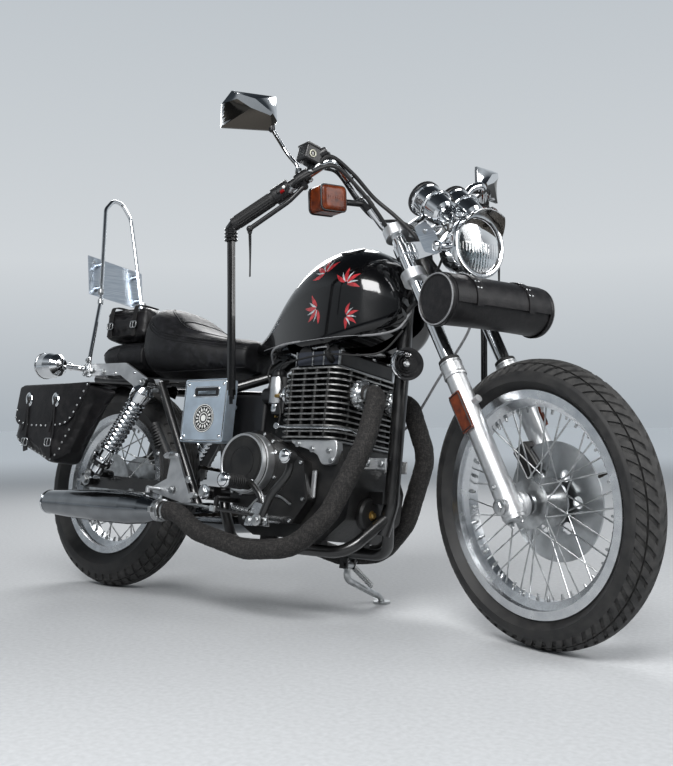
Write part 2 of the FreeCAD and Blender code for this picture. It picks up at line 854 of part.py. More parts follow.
def mirror(drop):
    """A ridged mirror head on a stem from the perch; drop lowers the head."""
    centre = Vector(s("mirror_x"), -s("mirror_half"), s("mirror_z") - drop)
    yaw = math.radians(s("mirror_yaw"))
    facing = Vector(math.cos(yaw), -math.sin(yaw), 0)
    across = Vector(math.sin(yaw), math.cos(yaw), 0)
    rings = []
    for outline, lift in ((MIRROR_OUTLINE, 0), (MIRROR_OUTLINE, 7), (MIRROR_RIDGE, s("mirror_depth"))):
        spots = []
        for side, up in outline:
            spots.append(centre + across * side * s("mirror_width") + Vector(0, 0, up * s("mirror_height"))
                         + facing * lift)
        rings.append(Part.makePolygon(spots + spots[:1]))
    head = Part.makeLoft(rings, True, True)
    inward = grip_line()[1]
    clasp = s("bar_radius") + 7
    foot = perch() - inward * 6 + Vector(-4, 0, clasp + s("fit_gap"))
    hold = centre + across * s("mirror_width") * 0.40 - Vector(0, 0, s("mirror_height") * 0.46) + facing * 6
    knee = foot + (hold - foot) * 0.42 + Vector(-10, 6, 6)
    stem = tube([foot, foot + Vector(-2, -2, 22), knee, hold], s("mirror_stem_radius"), 80)
    nut = rod(foot, foot + Vector(0, 0, 13), s("mirror_stem_radius") + 4)
    return fused([head, stem, nut]).cut(rod(perch() - inward * 40, perch() + inward * 40, clasp + 0.1))


def hanging(start, length, radius):
    """A bundle of leather strips that hangs plumb from a point on the steered bar."""
    plumb = FORK_STANCE.Rotation.inverted().multVec(Vector(0, 0, -1))
    bundle = rod(start, start + plumb * length, radius)
    return bundle.fuse(Part.makeSphere(radius, start))


def tassels():
    """The long bundles at the grip ends and the short laces at the lever tips."""
    made = []
    for side in (1, -1):
        end, inward = grip_line()
        tip = lever_ends()[1]
        out = end - inward * (4 + s("tassel_radius") + s("fit_gap"))
        low = tip - Vector(0, 0, s("lever_radius") + 2.5 + s("lace_radius") + s("fit_gap"))
        for spot, length, radius in ((out, s("tassel_length"), s("tassel_radius")),
                                     (low, s("lace_length"), s("lace_radius"))):
            made.append(hanging(Vector(spot.x, side * spot.y, spot.z), length, radius))
    return Part.makeCompound(made)


def gauge_place(side):
    """Where a gauge's closed end is, and the way its dial faces: up and back to the rider."""
    tilt = math.radians(s("gauge_tilt"))
    axis_x = STEER_FOOT.x + STEER_AXIS.x / STEER_AXIS.z * s("gauge_z")
    foot = Vector(axis_x + s("gauge_ahead") + 56, side, s("gauge_z"))
    return foot, Vector(-math.cos(tilt), 0, math.sin(tilt))


def gauges():
    """Two chrome cups with raised bezels on a bracket from the top clamp."""
    cup = turned("gauge_cup", [
        ("0", "0"),
        ("gauge_radius - 16", "0"),
        ("gauge_radius - 10", "8"),
        ("gauge_radius - 4", "gauge_depth * 0.5"),
        ("gauge_radius - 3", "gauge_depth - 18"),
        ("gauge_radius", "gauge_depth - 16"),
        ("gauge_radius", "gauge_depth"),
        ("gauge_radius - 5", "gauge_depth"),
        ("gauge_radius - 7", "gauge_depth - 5"),
        ("0", "gauge_depth - 5"),
    ])
    made = []
    for side in (-s("gauge_half"), s("gauge_half")):
        foot, facing = gauge_place(side)
        made.append(placed(cup, along_y(foot, facing)))
        middle = foot + facing * s("gauge_depth") * 0.45
        root = on_axis(s("yoke_top_at") + s("yoke_thickness") / 2 - 4, 26, side * 0.8)
        made.append(tube([root + STEER_AXIS * s("fit_gap"), root + STEER_AXIS * 20, middle], 8, 30))
    bridge = foot + facing * 20
    made.append(rod(Vector(bridge.x, -s("gauge_half"), bridge.z), Vector(bridge.x, s("gauge_half"), bridge.z), 9))
    return fused(made)


def headlight_shell():
    """The bucket, rim and peak, with two ears that reach back to the fork tubes."""
    bucket = turned("headlight_bucket", [
        ("0", "-headlight_depth"),
        ("headlight_radius * 0.36", "-headlight_depth"),
        ("headlight_radius * 0.68", "-headlight_depth * 0.76"),
        ("headlight_radius * 0.86", "-headlight_depth * 0.42"),
        ("headlight_radius - 4", "-18"),
        ("headlight_radius", "-16"),
        ("headlight_radius", "0"),
        ("lens_radius + fit_gap", "2"),
        ("lens_radius + fit_gap", "-12"),
        ("0", "-12"),
    ])
    face = headlight_face()
    made = [placed(bucket, along_y(face, Vector(1, 0, 0)))]
    reach = s("visor_reach")
    outer = s("headlight_radius")
    hood = Part.makeCone(outer, outer + 4, reach, face, Vector(1, 0, 0))
    inner = outer - s("sheet_metal")
    hood = hood.cut(Part.makeCone(inner, inner + 4, reach, face, Vector(1, 0, 0)))
    half_round = outer + 20
    peak = Part.makeBox(reach + 160, 2 * half_round, half_round, face + Vector(-30, -half_round, 22))
    peak.rotate(face + Vector(0, 0, 22), SIDEWAYS, -48)
    made.append(hood.common(peak))
    for side in (-1, 1):
        clamp = on_axis(s("yoke_low_at") + 78, s("fork_offset"), side * s("fork_half"))
        ring = rod(clamp - STEER_AXIS * 14, clamp + STEER_AXIS * 14, s("fork_tube_radius") + 5)
        pivot = Vector(face.x - 46, side * (s("headlight_radius") - 8), face.z)
        inner = side * s("headlight_radius")
        spots = [on_axis(s("yoke_top_at") - 34, s("fork_offset") + 8, inner),
                 on_axis(s("yoke_low_at") + 46, s("fork_offset") + 8, inner),
                 Vector(pivot.x, inner, pivot.z - 14), Vector(pivot.x, inner, pivot.z + 14)]
        ear = Part.Face(Part.makePolygon(spots + spots[:1])).extrude(SIDEWAYS * side * 4)
        bolt = rod(pivot - SIDEWAYS * side * 8, pivot + SIDEWAYS * side * 14, 11)
        made += [ring, ear, bolt]
    body = fused(made)
    bores = []
    for side in (-1, 1):
        foot = on_axis(s("yoke_low_at"), s("fork_offset"), side * s("fork_half"))
        bores.append(rod(foot, foot + STEER_AXIS * 150, s("fork_tube_radius") + s("fit_gap")))
    return body.cut(bores)


def headlight_face():
    """The middle of the lamp's front rim, in the fork's upright frame."""
    axis_x = STEER_FOOT.x + STEER_AXIS.x / STEER_AXIS.z * s("headlight_z")
    return Vector(axis_x + s("headlight_ahead"), 0, s("headlight_z"))


def headlight_lens():
    return turned("lens_glass", [
        ("0", "-12 + fit_gap"),
        ("lens_radius", "-12 + fit_gap"),
        ("lens_radius", "0"),
        ("lens_radius * 0.72", "lens_bulge * 0.55"),
        ("lens_radius * 0.38", "lens_bulge * 0.9"),
        ("0", "lens_bulge"),
    ])


def front_signals():
    """Box lamps on short stalks that clamp round the handlebar's rising part."""
    clamp, rise, shoulder = bar_points()[:3]
    spot = rise + (shoulder - rise) * 0.42
    along = shoulder - rise
    along.normalize()
    half = Vector(s("signal_depth") / 2, s("signal_width") / 2, s("signal_height") / 2)
    centre = Vector(spot.x - 4, -s("signal_half"), spot.z - 2)
    lamp = rounded_block(centre - half, centre + half, 12)
    stalk = rod(spot, centre, 8)
    ring = rod(spot - along * 11, spot + along * 11, s("bar_radius") + 5)
    bore = rod(spot - along * 60, spot + along * 60, s("bar_radius") + s("fit_gap"))
    return both_sides(fused([lamp, stalk, ring]).cut(bore))


def roll_place():
    axis_x = STEER_FOOT.x + STEER_AXIS.x / STEER_AXIS.z * s("roll_z")
    return Vector(axis_x + s("roll_ahead") + s("fork_offset"), 0, s("roll_z"))


def roll_bag():
    """A leather roll with proud end rings, strapped to both fork tubes."""
    roll = turned("roll_body", [
        ("0", "-roll_half"),
        ("roll_radius - 5", "-roll_half"),
        ("roll_radius", "-roll_half + 4"),
        ("roll_radius", "-roll_half + 10"),
        ("roll_radius - 2", "-roll_half + 12"),
        ("roll_radius - 2", "roll_half - 12"),
        ("roll_radius", "roll_half - 10"),
        ("roll_radius", "roll_half - 4"),
        ("roll_radius - 5", "roll_half"),
        ("0", "roll_half"),
    ])
    middle = roll_place()
    droop = math.radians(s("roll_droop"))
    made = [placed(roll, along_y(middle, Vector(0, math.cos(droop), -math.sin(droop))))]
    hold = s("yoke_low_at") - s("yoke_thickness") / 2 - 40
    bores = []
    for side in (-s("fork_half"), s("fork_half")):
        spot = on_axis(hold, s("fork_offset"), side)
        width = s("strap_width")
        ring = rod(spot - STEER_AXIS * width / 2, spot + STEER_AXIS * width / 2,
                   s("fork_tube_radius") + s("strap_thickness"))
        low = Vector(spot.x, side - s("strap_width") / 2, spot.z - 12)
        high = Vector(middle.x - 20, side + s("strap_width") / 2, spot.z - 12 + 2 * s("strap_thickness"))
        made += [ring, block(low, high)]
        bores.append(rod(spot - STEER_AXIS * 60, spot + STEER_AXIS * 60, s("fork_tube_radius") + s("fit_gap")))
    return fused(made).cut(bores)


def caliper():
    """The brake caliper behind the left leg, straddling the disc."""
    axle = FRONT_AXLE
    turn = math.radians(128)
    reach = s("disc_radius") - 16
    spot = axle + Vector(reach * math.cos(turn), s("disc_side"), reach * math.sin(turn))
    body = rounded_block(spot + Vector(-24, -17, -38), spot + Vector(24, 26, 38), 7)
    body.rotate(spot, SIDEWAYS, -38)
    slot = Part.makeCylinder(s("disc_radius") + 5, 2 * s("disc_thickness"),
                             axle + SIDEWAYS * (s("disc_side") - s("disc_thickness")), SIDEWAYS)
    leg = axle + SIDEWAYS * s("fork_half")
    arms = []
    for along in (118, 158):
        root = leg + STEER_AXIS * along
        arms.append(rod(root, Vector(spot.x + 6, spot.y + 16, root.z - 4), 9))
    sleeve = rod(leg - STEER_AXIS * 40, leg + STEER_AXIS * 300, s("slider_radius") - 2 + s("fit_gap"))
    return fused([body] + arms).cut([slot, sleeve])


def build_fork():
    legs = Part.makeCompound([slider(-s("fork_half")), slider(s("fork_half"))])
    keep("fork_sliders", legs, FORK_STANCE)
    tubes = []
    for side in (-s("fork_half"), s("fork_half")):
        foot = FRONT_AXLE + SIDEWAYS * side + STEER_AXIS * 64
        top = on_axis(s("yoke_top_at") + s("yoke_thickness") / 2 + 5, s("fork_offset"), side)
        tubes.append(rod(foot, top, s("fork_tube_radius")))
    keep("fork_tubes", Part.makeCompound(tubes), FORK_STANCE)
    keep("fork_yokes", yokes(), FORK_STANCE)
    out = s("fork_half") + s("slider_radius") + 8
    axle = rod(FRONT_AXLE - SIDEWAYS * out, FRONT_AXLE + SIDEWAYS * out, s("front_axle_radius"))
    axle = axle.cut(rod(FRONT_AXLE - SIDEWAYS * 200, FRONT_AXLE + SIDEWAYS * 200, s("front_axle_bore")))
    keep("front_axle", axle, FORK_STANCE)
    keep("handlebar", handlebar(), FORK_STANCE)
    keep("grips", grips(), FORK_STANCE)
    controls = Part.makeCompound([hand_control(True), mirrored(hand_control(False))])
    keep("hand_controls", controls, FORK_STANCE)
    keep("mirrors", Part.makeCompound([mirror(0), mirrored(mirror(s("mirror_drop")))]), FORK_STANCE)
    keep("tassels", tassels(), FORK_STANCE)
    keep("gauges", gauges(), FORK_STANCE)
    keep("headlight_shell", headlight_shell(), FORK_STANCE)
    keep("headlight_lens", headlight_lens(), FORK_STANCE.multiply(along_y(headlight_face(), Vector(1, 0, 0))))
    keep("front_signals", front_signals(), FORK_STANCE)
    keep("roll_bag", roll_bag(), FORK_STANCE)
    keep("brake_caliper", caliper(), FORK_STANCE)
    pads = []
    for side in (-1, 1):
        middle = FRONT_AXLE + STEER_AXIS * s("reflector_at") + SIDEWAYS * side * s("fork_half")
        inner = middle + SIDEWAYS * side * (s("slider_radius") - 2 + s("fit_gap"))
        corner = inner - STEER_AXIS * s("reflector_length") / 2 - STEER_AHEAD * s("reflector_width") / 2
        spots = [corner, corner + STEER_AXIS * s("reflector_length")]
        spots += [spots[1] + STEER_AHEAD * s("reflector_width"), corner + STEER_AHEAD * s("reflector_width")]
        face = Part.Face(Part.makePolygon(spots + spots[:1]))
        pads.append(face.extrude(SIDEWAYS * side * s("reflector_depth")))
    keep("reflectors", Part.makeCompound(pads), FORK_STANCE)


# Frame

def head_ends():
    low = s("yoke_low_at") + s("yoke_thickness") / 2 + s("head_gap")
    top = s("yoke_top_at") - s("yoke_thickness") / 2 - s("head_gap")
    return on_axis(low), on_axis(top)


def down_shoulder():
    """Where the downtube turns down behind the lower clamp."""
    return on_axis(s("yoke_low_at") + 38, -68)


def main_frame():
    """Steering head, spine, single downtube that parts into two rails, and the rear uprights."""
    low, top = head_ends()
    crest = on_axis(value("yoke_low_at + 72"))
    head = rod(low, top, s("head_radius"))
    drop = Vector(s("spine_drop_x"), 0, s("spine_drop_z"))
    spine = rod(crest, drop, s("spine_radius"))
    nose = Vector(behind("downtube_setback"), 0, s("downtube_foot_z"))
    shoulder = down_shoulder()
    down = tube([crest + STEER_AXIS * 12, shoulder, nose, nose + Vector(-20, 0, -75)], s("spine_radius") - 3, 70)
    spots = [crest, crest + (drop - crest) * 0.3, shoulder + (nose - shoulder) * 0.3, shoulder]
    gusset = Part.Face(Part.makePolygon(spots + spots[:1])).extrude(SIDEWAYS * 6)
    gusset.translate(SIDEWAYS * -3)
    made = [head, spine, down, gusset]
    radius = s("frame_tube_radius")
    waist = s("chain_half") - s("chain_width") / 2 - radius - 4
    for side in (-1, 1):
        half = side * s("cradle_half")
        path = [
            nose + Vector(-6, 0, -28),
            Vector(nose.x - 62, half, s("cradle_z")),
            Vector(s("pivot_x") + 70, half, s("cradle_z")),
            Vector(s("pivot_x") - 2, side * waist, s("pivot_z") - 40),
            Vector(s("pivot_x") - 20, side * waist, s("pivot_z") + 120),
            Vector(s("pivot_x") - 40, side * s("seat_rail_half"), s("seat_rail_z") - 40),
            Vector(s("spine_drop_x") + 6, side * 12, s("spine_drop_z") - 8),
        ]
        made.append(tube(path, radius, 70))
    tie = Vector(s("pivot_x") - 36, 0, s("seat_rail_z") - 66)
    reach = SIDEWAYS * (s("seat_rail_half") - 8)
    made.append(rod(tie - reach, tie + reach, radius - 3))
    for share in (0.2, 0.86):
        pad = crest + (drop - crest) * share + Vector(0, 0, 6)
        reach = s("tunnel_half") - s("fit_gap")
        made.append(rod(pad - SIDEWAYS * reach, pad + SIDEWAYS * reach, 13))
    mount_back = Vector(case_x() + s("case_length") / 2 + 5, -s("mount_half"), nose.z)
    made.append(block(mount_back, Vector(nose.x, s("mount_half"), nose.z + s("mount_height"))))
    frame = fused(made)
    bore = rod(low - STEER_AXIS * 30, top + STEER_AXIS * 30, s("stem_radius") + s("running_gap"))
    pivot = rod(Vector(s("pivot_x"), -200, s("pivot_z")), Vector(s("pivot_x"), 200, s("pivot_z")), 14.3)
    return frame.cut([bore, pivot])


def seat_subframe():
    """Seat rails with a cross tube, and a stay on each side down to the swingarm's pivot."""
    radius = s("rail_tube_radius")
    rail = s("seat_rail_half")
    made = []
    for side in (-1, 1):
        front = Vector(s("pivot_x") - 56, side * rail, s("seat_rail_z") - 10)
        made.append(tube([front, Vector(250, side * rail, s("seat_rail_z")),
                          Vector(s("tail_x"), side * rail, s("seat_rail_z") + 18)], radius, 200))
        stay_half = side * (s("pivot_half") + 12)
        top = Vector(s("shock_top_x") + 30, stay_half, s("shock_top_z") + 2)
        foot = Vector(s("pivot_x") - 24, stay_half, s("pivot_z") - 38)
        made.append(rod(top, foot, radius))
        made.append(rod(Vector(top.x, side * rail, s("seat_rail_z") - 6), top, radius - 2))
        stud = Vector(s("shock_top_x"), side * rail, s("shock_top_z"))
        made.append(rod(stud, Vector(stud.x, side * (s("shock_half") + 14), stud.z), 8))
        made.append(rod(stud, Vector(stud.x + 12, side * rail, s("seat_rail_z")), 10))
    tie = Vector(s("shock_top_x") + 64, 0, s("seat_rail_z") - 3)
    made.append(rod(tie - SIDEWAYS * rail, tie + SIDEWAYS * rail, radius - 3))
    return fused(made)


def swingarm():
    """Two flat arms on a pivot tube, with the rear axle and the shock studs."""
    inner = s("arm_half") - s("arm_thickness") / 2
    bar = plate("arm_bar", [
        ("-26", "rear_radius - arm_height / 2"),
        ("pivot_x + 18", "pivot_z - arm_height / 2 + 4"),
        ("pivot_x + 18", "pivot_z + arm_height / 2 - 4"),
        ("-26", "rear_radius + arm_height / 2"),
    ], "arm_thickness")
    arms = []
    for side in (-s("arm_half"), s("arm_half")):
        arms.append(placed(bar, Placement(SIDEWAYS * side, Rotation())))
    pivot = Vector(s("pivot_x"), 0, s("pivot_z"))
    reach = SIDEWAYS * (s("pivot_half") + 16)
    made = arms + [rod(pivot - reach, pivot + reach, 14)]
    cross = Vector(s("pivot_x") - 92, 0, s("pivot_z") + 6)
    made.append(rod(cross - SIDEWAYS * inner, cross + SIDEWAYS * (inner - 30), 16))
    out = s("arm_half") + s("arm_thickness") / 2 + 16
    made.append(rod(REAR_AXLE - SIDEWAYS * out, REAR_AXLE + SIDEWAYS * out, s("rear_axle_radius")))
    for side in (-1, 1):
        nut = REAR_AXLE + SIDEWAYS * side * (s("arm_half") + s("arm_thickness") / 2)
        made.append(rod(nut, nut + SIDEWAYS * side * 11, 16))
        stud = Vector(s("shock_foot_x"), side * s("arm_half"), s("shock_foot_z"))
        made.append(rod(stud, Vector(stud.x, side * (s("shock_half") + 14), stud.z), 8))
        made.append(rod(stud - SIDEWAYS * side * 12, stud + SIDEWAYS * side * 12, 15))
    return fused(made)


def shock():
    """A sprung damper: eyes, cover, coil ribs and body, turned about its own line."""
    length = math.hypot(s("shock_top_x") - s("shock_foot_x"), s("shock_top_z") - s("shock_foot_z"))
    spring = s("spring_radius")
    damper = s("damper_radius")
    low = 96.0
    high = length - 62
    pitch = (high - low) / s("spring_turns")
    corners = [(0, 12), (damper, 12), (damper, low - 4), (spring, low - 4), (spring, low)]
    for i in range(int(s("spring_turns"))):
        base = low + i * pitch
        corners += [(damper - 2, base + 0.15 * pitch), (spring - 2, base + 0.3 * pitch)]
        corners += [(spring, base + 0.5 * pitch), (spring - 2, base + 0.7 * pitch)]
        corners += [(damper - 2, base + 0.85 * pitch)]
    corners += [(spring, high), (spring + 2, high + 6), (spring + 2, high + 34), (spring - 9, length - 12)]
    corners += [(0, length - 12)]
    spots = [Vector(r, a, 0) for r, a in corners]
    body = Part.Face(Part.makePolygon(spots + spots[:1])).revolve(Vector(), SIDEWAYS, 360)
    foot = Vector(s("shock_foot_x"), s("shock_half"), s("shock_foot_z"))
    top = Vector(s("shock_top_x"), s("shock_half"), s("shock_top_z"))
    body.Placement = along_y(foot, top - foot)
    eyes = [rod(p - SIDEWAYS * 14, p + SIDEWAYS * 14, s("shock_eye_radius")) for p in (foot, top)]
    bores = [rod(p - SIDEWAYS * 30, p + SIDEWAYS * 30, 8 + s("fit_gap")) for p in (foot, top)]
    return fused([body] + eyes).cut(bores)


def chain():
    """The drive chain as one fixed loop, its outline scalloped link by link."""
    big = s("sprocket_radius") + 3
    small = s("drive_sprocket_radius") + 3
    start = Vector(0, 0, s("rear_radius"))
    end = Vector(s("drive_sprocket_x"), 0, s("drive_sprocket_z"))
    span = (end - start).Length
    slope = math.atan2(end.z - start.z, end.x - start.x)
    wrap = math.asin((big - small) / span)
    straight = span * math.cos(wrap)
    around_big = big * (math.pi + 2 * wrap)
    around_small = small * (math.pi - 2 * wrap)
    total = 2 * straight + around_big + around_small

    def spot(distance, lift):
        distance %= total
        if distance < around_big:
            angle = slope + math.pi / 2 - wrap + distance / big
            return start + Vector(math.cos(angle), 0, math.sin(angle)) * (big + lift)
        distance -= around_big
        normal = slope - math.pi / 2 + wrap
        if distance < straight:
            base = start + Vector(math.cos(normal), 0, math.sin(normal)) * (big + lift)
            return base + Vector(-math.sin(normal), 0, math.cos(normal)) * distance
        distance -= straight
        if distance < around_small:
            angle = normal + distance / small
            return end + Vector(math.cos(angle), 0, math.sin(angle)) * (small + lift)
        distance -= around_small
        normal = slope + math.pi / 2 - wrap
        base = end + Vector(math.cos(normal), 0, math.sin(normal)) * (small + lift)
        return base + Vector(-math.sin(normal), 0, math.cos(normal)) * distance

    links = int(s("link_count"))
    outer = []
    inner = []
    for i in range(2 * links):
        lift = s("chain_height") if i % 2 else s("chain_height") - 3
        outer.append(spot(total * i / (2 * links), lift))
        inner.append(spot(total * i / (2 * links), 0.0))
    ring = Part.Face(Part.makePolygon(outer + outer[:1])).cut(Part.Face(Part.makePolygon(inner + inner[:1])))
    loop = ring.extrude(SIDEWAYS * s("chain_width"))
    loop.translate(SIDEWAYS * (s("chain_half") - s("chain_width") / 2))
    drive = Part.makeCylinder(s("drive_sprocket_radius"), s("sprocket_thickness"),
                              end + SIDEWAYS * (s("chain_half") - s("sprocket_thickness") / 2), SIDEWAYS)
    boss = rod(end + SIDEWAYS * (s("notch_half") + s("fit_gap")), end + SIDEWAYS * (s("chain_half") + 8), 14)
    return Part.makeCompound([loop, drive.fuse(boss)])


def build_frame():
    keep("main_frame", main_frame(), STANCE)
    keep("seat_subframe", seat_subframe(), STANCE)
    keep("swingarm", swingarm(), STANCE)
    keep("shocks", both_sides(shock()), STANCE)
    keep("drive_chain", chain(), STANCE)


# Engine

def crankcase():
    """A side outline padded across, with the left rear cut back for the chain."""
    body = plate("case_block", [
        ("case_length / 2 - 2", "case_floor + 60"),
        ("case_length / 2 + 4", "case_top - 110"),
        ("case_length / 2 - 44", "case_top"),
        ("-case_length / 2 + 84", "case_top"),
        ("-case_length / 2 + 16", "case_top - 26"),
        ("-case_length / 2 + 2", "case_top - 116"),
        ("-case_length / 2 + 34", "case_floor + 28"),
        ("-case_length / 2 + 90", "case_floor"),
        ("case_length / 2 - 70", "case_floor"),
    ], "2 * case_half", "16")
    centre = case_x()
    shape = placed(body, Placement(Vector(centre, 0, 0), Rotation()))
    front = s("drive_sprocket_x") + s("drive_sprocket_radius") + 32
    notch = block(Vector(front - 200, s("notch_half"), s("case_floor") - 20),
                  Vector(front, s("case_half") + 20, s("case_top") + 20))
    shape = shape.cut(notch)
    feet = []
    for x in (centre - 80, centre + 100):
        for side in (-1, 1):
            rail_top = s("cradle_z") + s("frame_tube_radius") + s("fit_gap")
            low = Vector(x - 14, side * s("cradle_half") - 12, rail_top)
            feet.append(block(low, Vector(x + 14, low.y + 24, s("case_floor") + 8)))
    return shape.multiFuse(feet)


def slab(low_z, thickness, inset):
    """One rounded slab of the barrel, set in from the fins' outline."""
    centre = barrel_x()
    low = Vector(centre - s("barrel_length") / 2 + inset, -s("barrel_half") + inset, low_z)
    high = Vector(centre + s("barrel_length") / 2 - inset, s("barrel_half") - inset, low_z + thickness)
    solid = block(low, high)
    upright = [e for e in solid.Edges if abs(e.tangentAt(e.FirstParameter).z) > 0.99]
    return solid.makeFillet(max(s("fin_corner") - inset, 8), upright)


def cylinders():
    """Barrel and head: a core with a stack of fins, and a collar at each exhaust port."""
    count = int(s("fin_count"))
    base = s("case_top") + s("fit_gap")
    height = count * s("fin_pitch")
    made = [slab(base, height, s("barrel_core_inset"))]
    for i in range(count):
        low = base + (i + 0.5) * s("fin_pitch") - s("fin_thickness") / 2
        made.append(slab(low, s("fin_thickness"), 0 if i < count - 1 else 6))
    front = barrel_x() + s("barrel_length") / 2
    rear = barrel_x() - s("barrel_length") / 2
    for side in (-s("port_half"), s("port_half")):
        port = Vector(front, side, s("port_z"))
        made.append(rod(port - Vector(40, 0, 0), port + Vector(4, 0, 0), s("collar_radius") - 4))
        for step in (8, 15):
            made.append(rod(port + Vector(step - 2, 0, 0), port + Vector(step + 2, 0, 0), s("collar_radius")))
        made.append(rod(port, port + Vector(19, 0, 0), s("pipe_radius") - 1))
        inlet = Vector(rear, side, s("port_z") + 4)
        made.append(rod(inlet + Vector(40, 0, 0), inlet - Vector(16, 0, 0), s("carb_radius") - 3))
    return fused(made)


def cover_base():
    return s("case_top") + 2 * s("fit_gap") + s("fin_count") * s("fin_pitch")


def valve_cover():
    """The cam cover: a low box with a round housing along each shaft."""
    centre = barrel_x()
    half = s("cover_half")
    low = cover_base()
    top = low + s("cover_height") * 0.72
    box = rounded_block(Vector(centre - 74, -half, low), Vector(centre + 74, half, top), 7)
    made = [box]
    for x in (centre - 44, centre + 44):
        made.append(rod(Vector(x, -half - 5, low + 30), Vector(x, half + 5, low + 30), s("cover_height") - 34))
    made.append(rounded_block(Vector(centre - 34, -half + 24, low + 20),
                              Vector(centre + 34, half - 24, low + s("cover_height")), 5))
    return fused(made)


def engine_covers():
    """Clutch cover on the right, dynamo and sprocket covers on the left."""
    round_cover = turned("clutch_cap", [
        ("0", "0"),
        ("clutch_radius + 12", "0"),
        ("clutch_radius + 12", "cover_depth * 0.35"),
        ("clutch_radius + 2", "cover_depth * 0.5"),
        ("clutch_radius", "cover_depth * 0.86"),
        ("clutch_radius - 9", "cover_depth"),
        ("0", "cover_depth"),
    ])
    side_cap = turned("dynamo_cap", [
        ("0", "0"),
        ("dynamo_radius", "0"),
        ("dynamo_radius", "cover_depth * 0.5"),
        ("dynamo_radius - 12", "cover_depth * 0.76"),
        ("0", "cover_depth * 0.82"),
    ])
    right = s("case_half") + s("fit_gap")
    made = [placed(round_cover, along_y(Vector(clutch_x(), -right, s("clutch_z")), SIDEWAYS * -1))]
    outline = [(-84, 56), (64, 96), (170, 40), (196, -60), (150, -120), (-20, -128), (-70, -70)]
    for side in (-1, 1):
        corners = []
        for ahead, up in outline:
            if side > 0 and ahead < -10:
                ahead = -10
            corners.append(Vector(clutch_x() + ahead, side * right, s("clutch_z") - 26 + up))
        depth = side * s("cover_depth") * 0.42
        skirt = Part.Face(Part.makePolygon(corners + corners[:1])).extrude(SIDEWAYS * depth)
        across = [e for e in skirt.Edges if abs(e.tangentAt(e.FirstParameter).y) > 0.99]
        skirt = skirt.makeFillet(8, across)
        if side < 0:
            made[0] = made[0].fuse(skirt)
        else:
            cap = placed(side_cap, along_y(Vector(case_x() + s("dynamo_ahead"), right, s("dynamo_z"))))
            outer = s("chain_half") + 16
            hub = Vector(s("drive_sprocket_x"), outer, s("drive_sprocket_z"))
            guard = Part.makeCylinder(s("drive_sprocket_radius") + 18, 22, hub, SIDEWAYS)
            reach = Vector(clutch_x() + 30, right + 8, hub.z + 32)
            bridge = block(Vector(hub.x, right, hub.z - 32), reach)
            made.append(fused([cap, skirt, guard, bridge]))
    return Part.makeCompound(made)


def intake():
    """Two carburettors between the inlet ports and the air box."""
    rear = barrel_x() - s("barrel_length") / 2 - 16 - s("fit_gap")
    z = s("port_z") + 4
    made = []
    for side in (-s("port_half"), s("port_half")):
        made.append(rod(Vector(rear, side, z), Vector(rear - 66, side, z), s("carb_radius")))
        made.append(rod(Vector(rear - 33, side, z), Vector(rear - 33, side, z + 48), 22))
        made.append(rounded_block(Vector(rear - 56, side - 22, z - 56), Vector(rear - 12, side + 22, z - 14), 6))
        made.append(rod(Vector(rear - 60, side, z), Vector(rear - 96, side, z), s("carb_radius") - 3))
    made.append(rod(Vector(rear - 33, -s("port_half"), z), Vector(rear - 33, s("port_half"), z), 7))
    box = rounded_block(Vector(s("airbox_rear_x") + 40, -s("airbox_half") + 18, s("airbox_floor")),
                        Vector(rear - 92, s("airbox_half") - 18, s("tank_base") - s("airbox_drop")), 10)
    return fused(made + [box])


def header_points():
    """The right header's centreline from its port to the muffler."""
    front = barrel_x() + s("barrel_length") / 2 + 19 + s("fit_gap")
    port = s("port_half")
    outer = s("muffler_half")
    inlet = s("muffler_rear_x") + s("muffler_length") + s("fit_gap")
    return [
        Vector(front, -port, s("port_z")),
        Vector(front + 48, -port, s("port_z")),
        Vector(front + 70, -port - 66, s("port_z") - 134),
        Vector(front + 2, -outer + 48, s("muffler_z") + 22),
        Vector(front - 84, -outer + 30, s("muffler_z") - 66),
        Vector(front - 234, -outer + 20, s("muffler_z") - 82),
        Vector(front - 414, -outer + 12, s("muffler_z") - 46),
        Vector(inlet + 66, -outer, s("muffler_z")),
        Vector(inlet, -outer, s("muffler_z")),
    ]


def headers():
    return both_sides(tube(header_points(), s("pipe_radius"), 130))


def mufflers():
    """Tapered silencers with a rolled rear tip, open at the end."""
    body = turned("muffler_body", [
        ("0", "18"),
        ("muffler_tip_radius - 5", "18"),
        ("muffler_tip_radius - 5", "0"),
        ("muffler_tip_radius", "0"),
        ("muffler_tip_radius + 4", "10"),
        ("muffler_radius - 5", "muffler_length * 0.22"),
        ("muffler_radius", "muffler_length * 0.5"),
        ("muffler_radius", "muffler_length * 0.74"),
        ("muffler_radius - 6", "muffler_length * 0.88"),
        ("pipe_radius + 3", "muffler_length * 0.97"),
        ("pipe_radius + 3", "muffler_length"),
        ("0", "muffler_length"),
    ])
    place = Vector(s("muffler_rear_x"), -s("muffler_half"), s("muffler_z"))
    return both_sides(placed(body, along_y(place, Vector(1, 0, 0))))


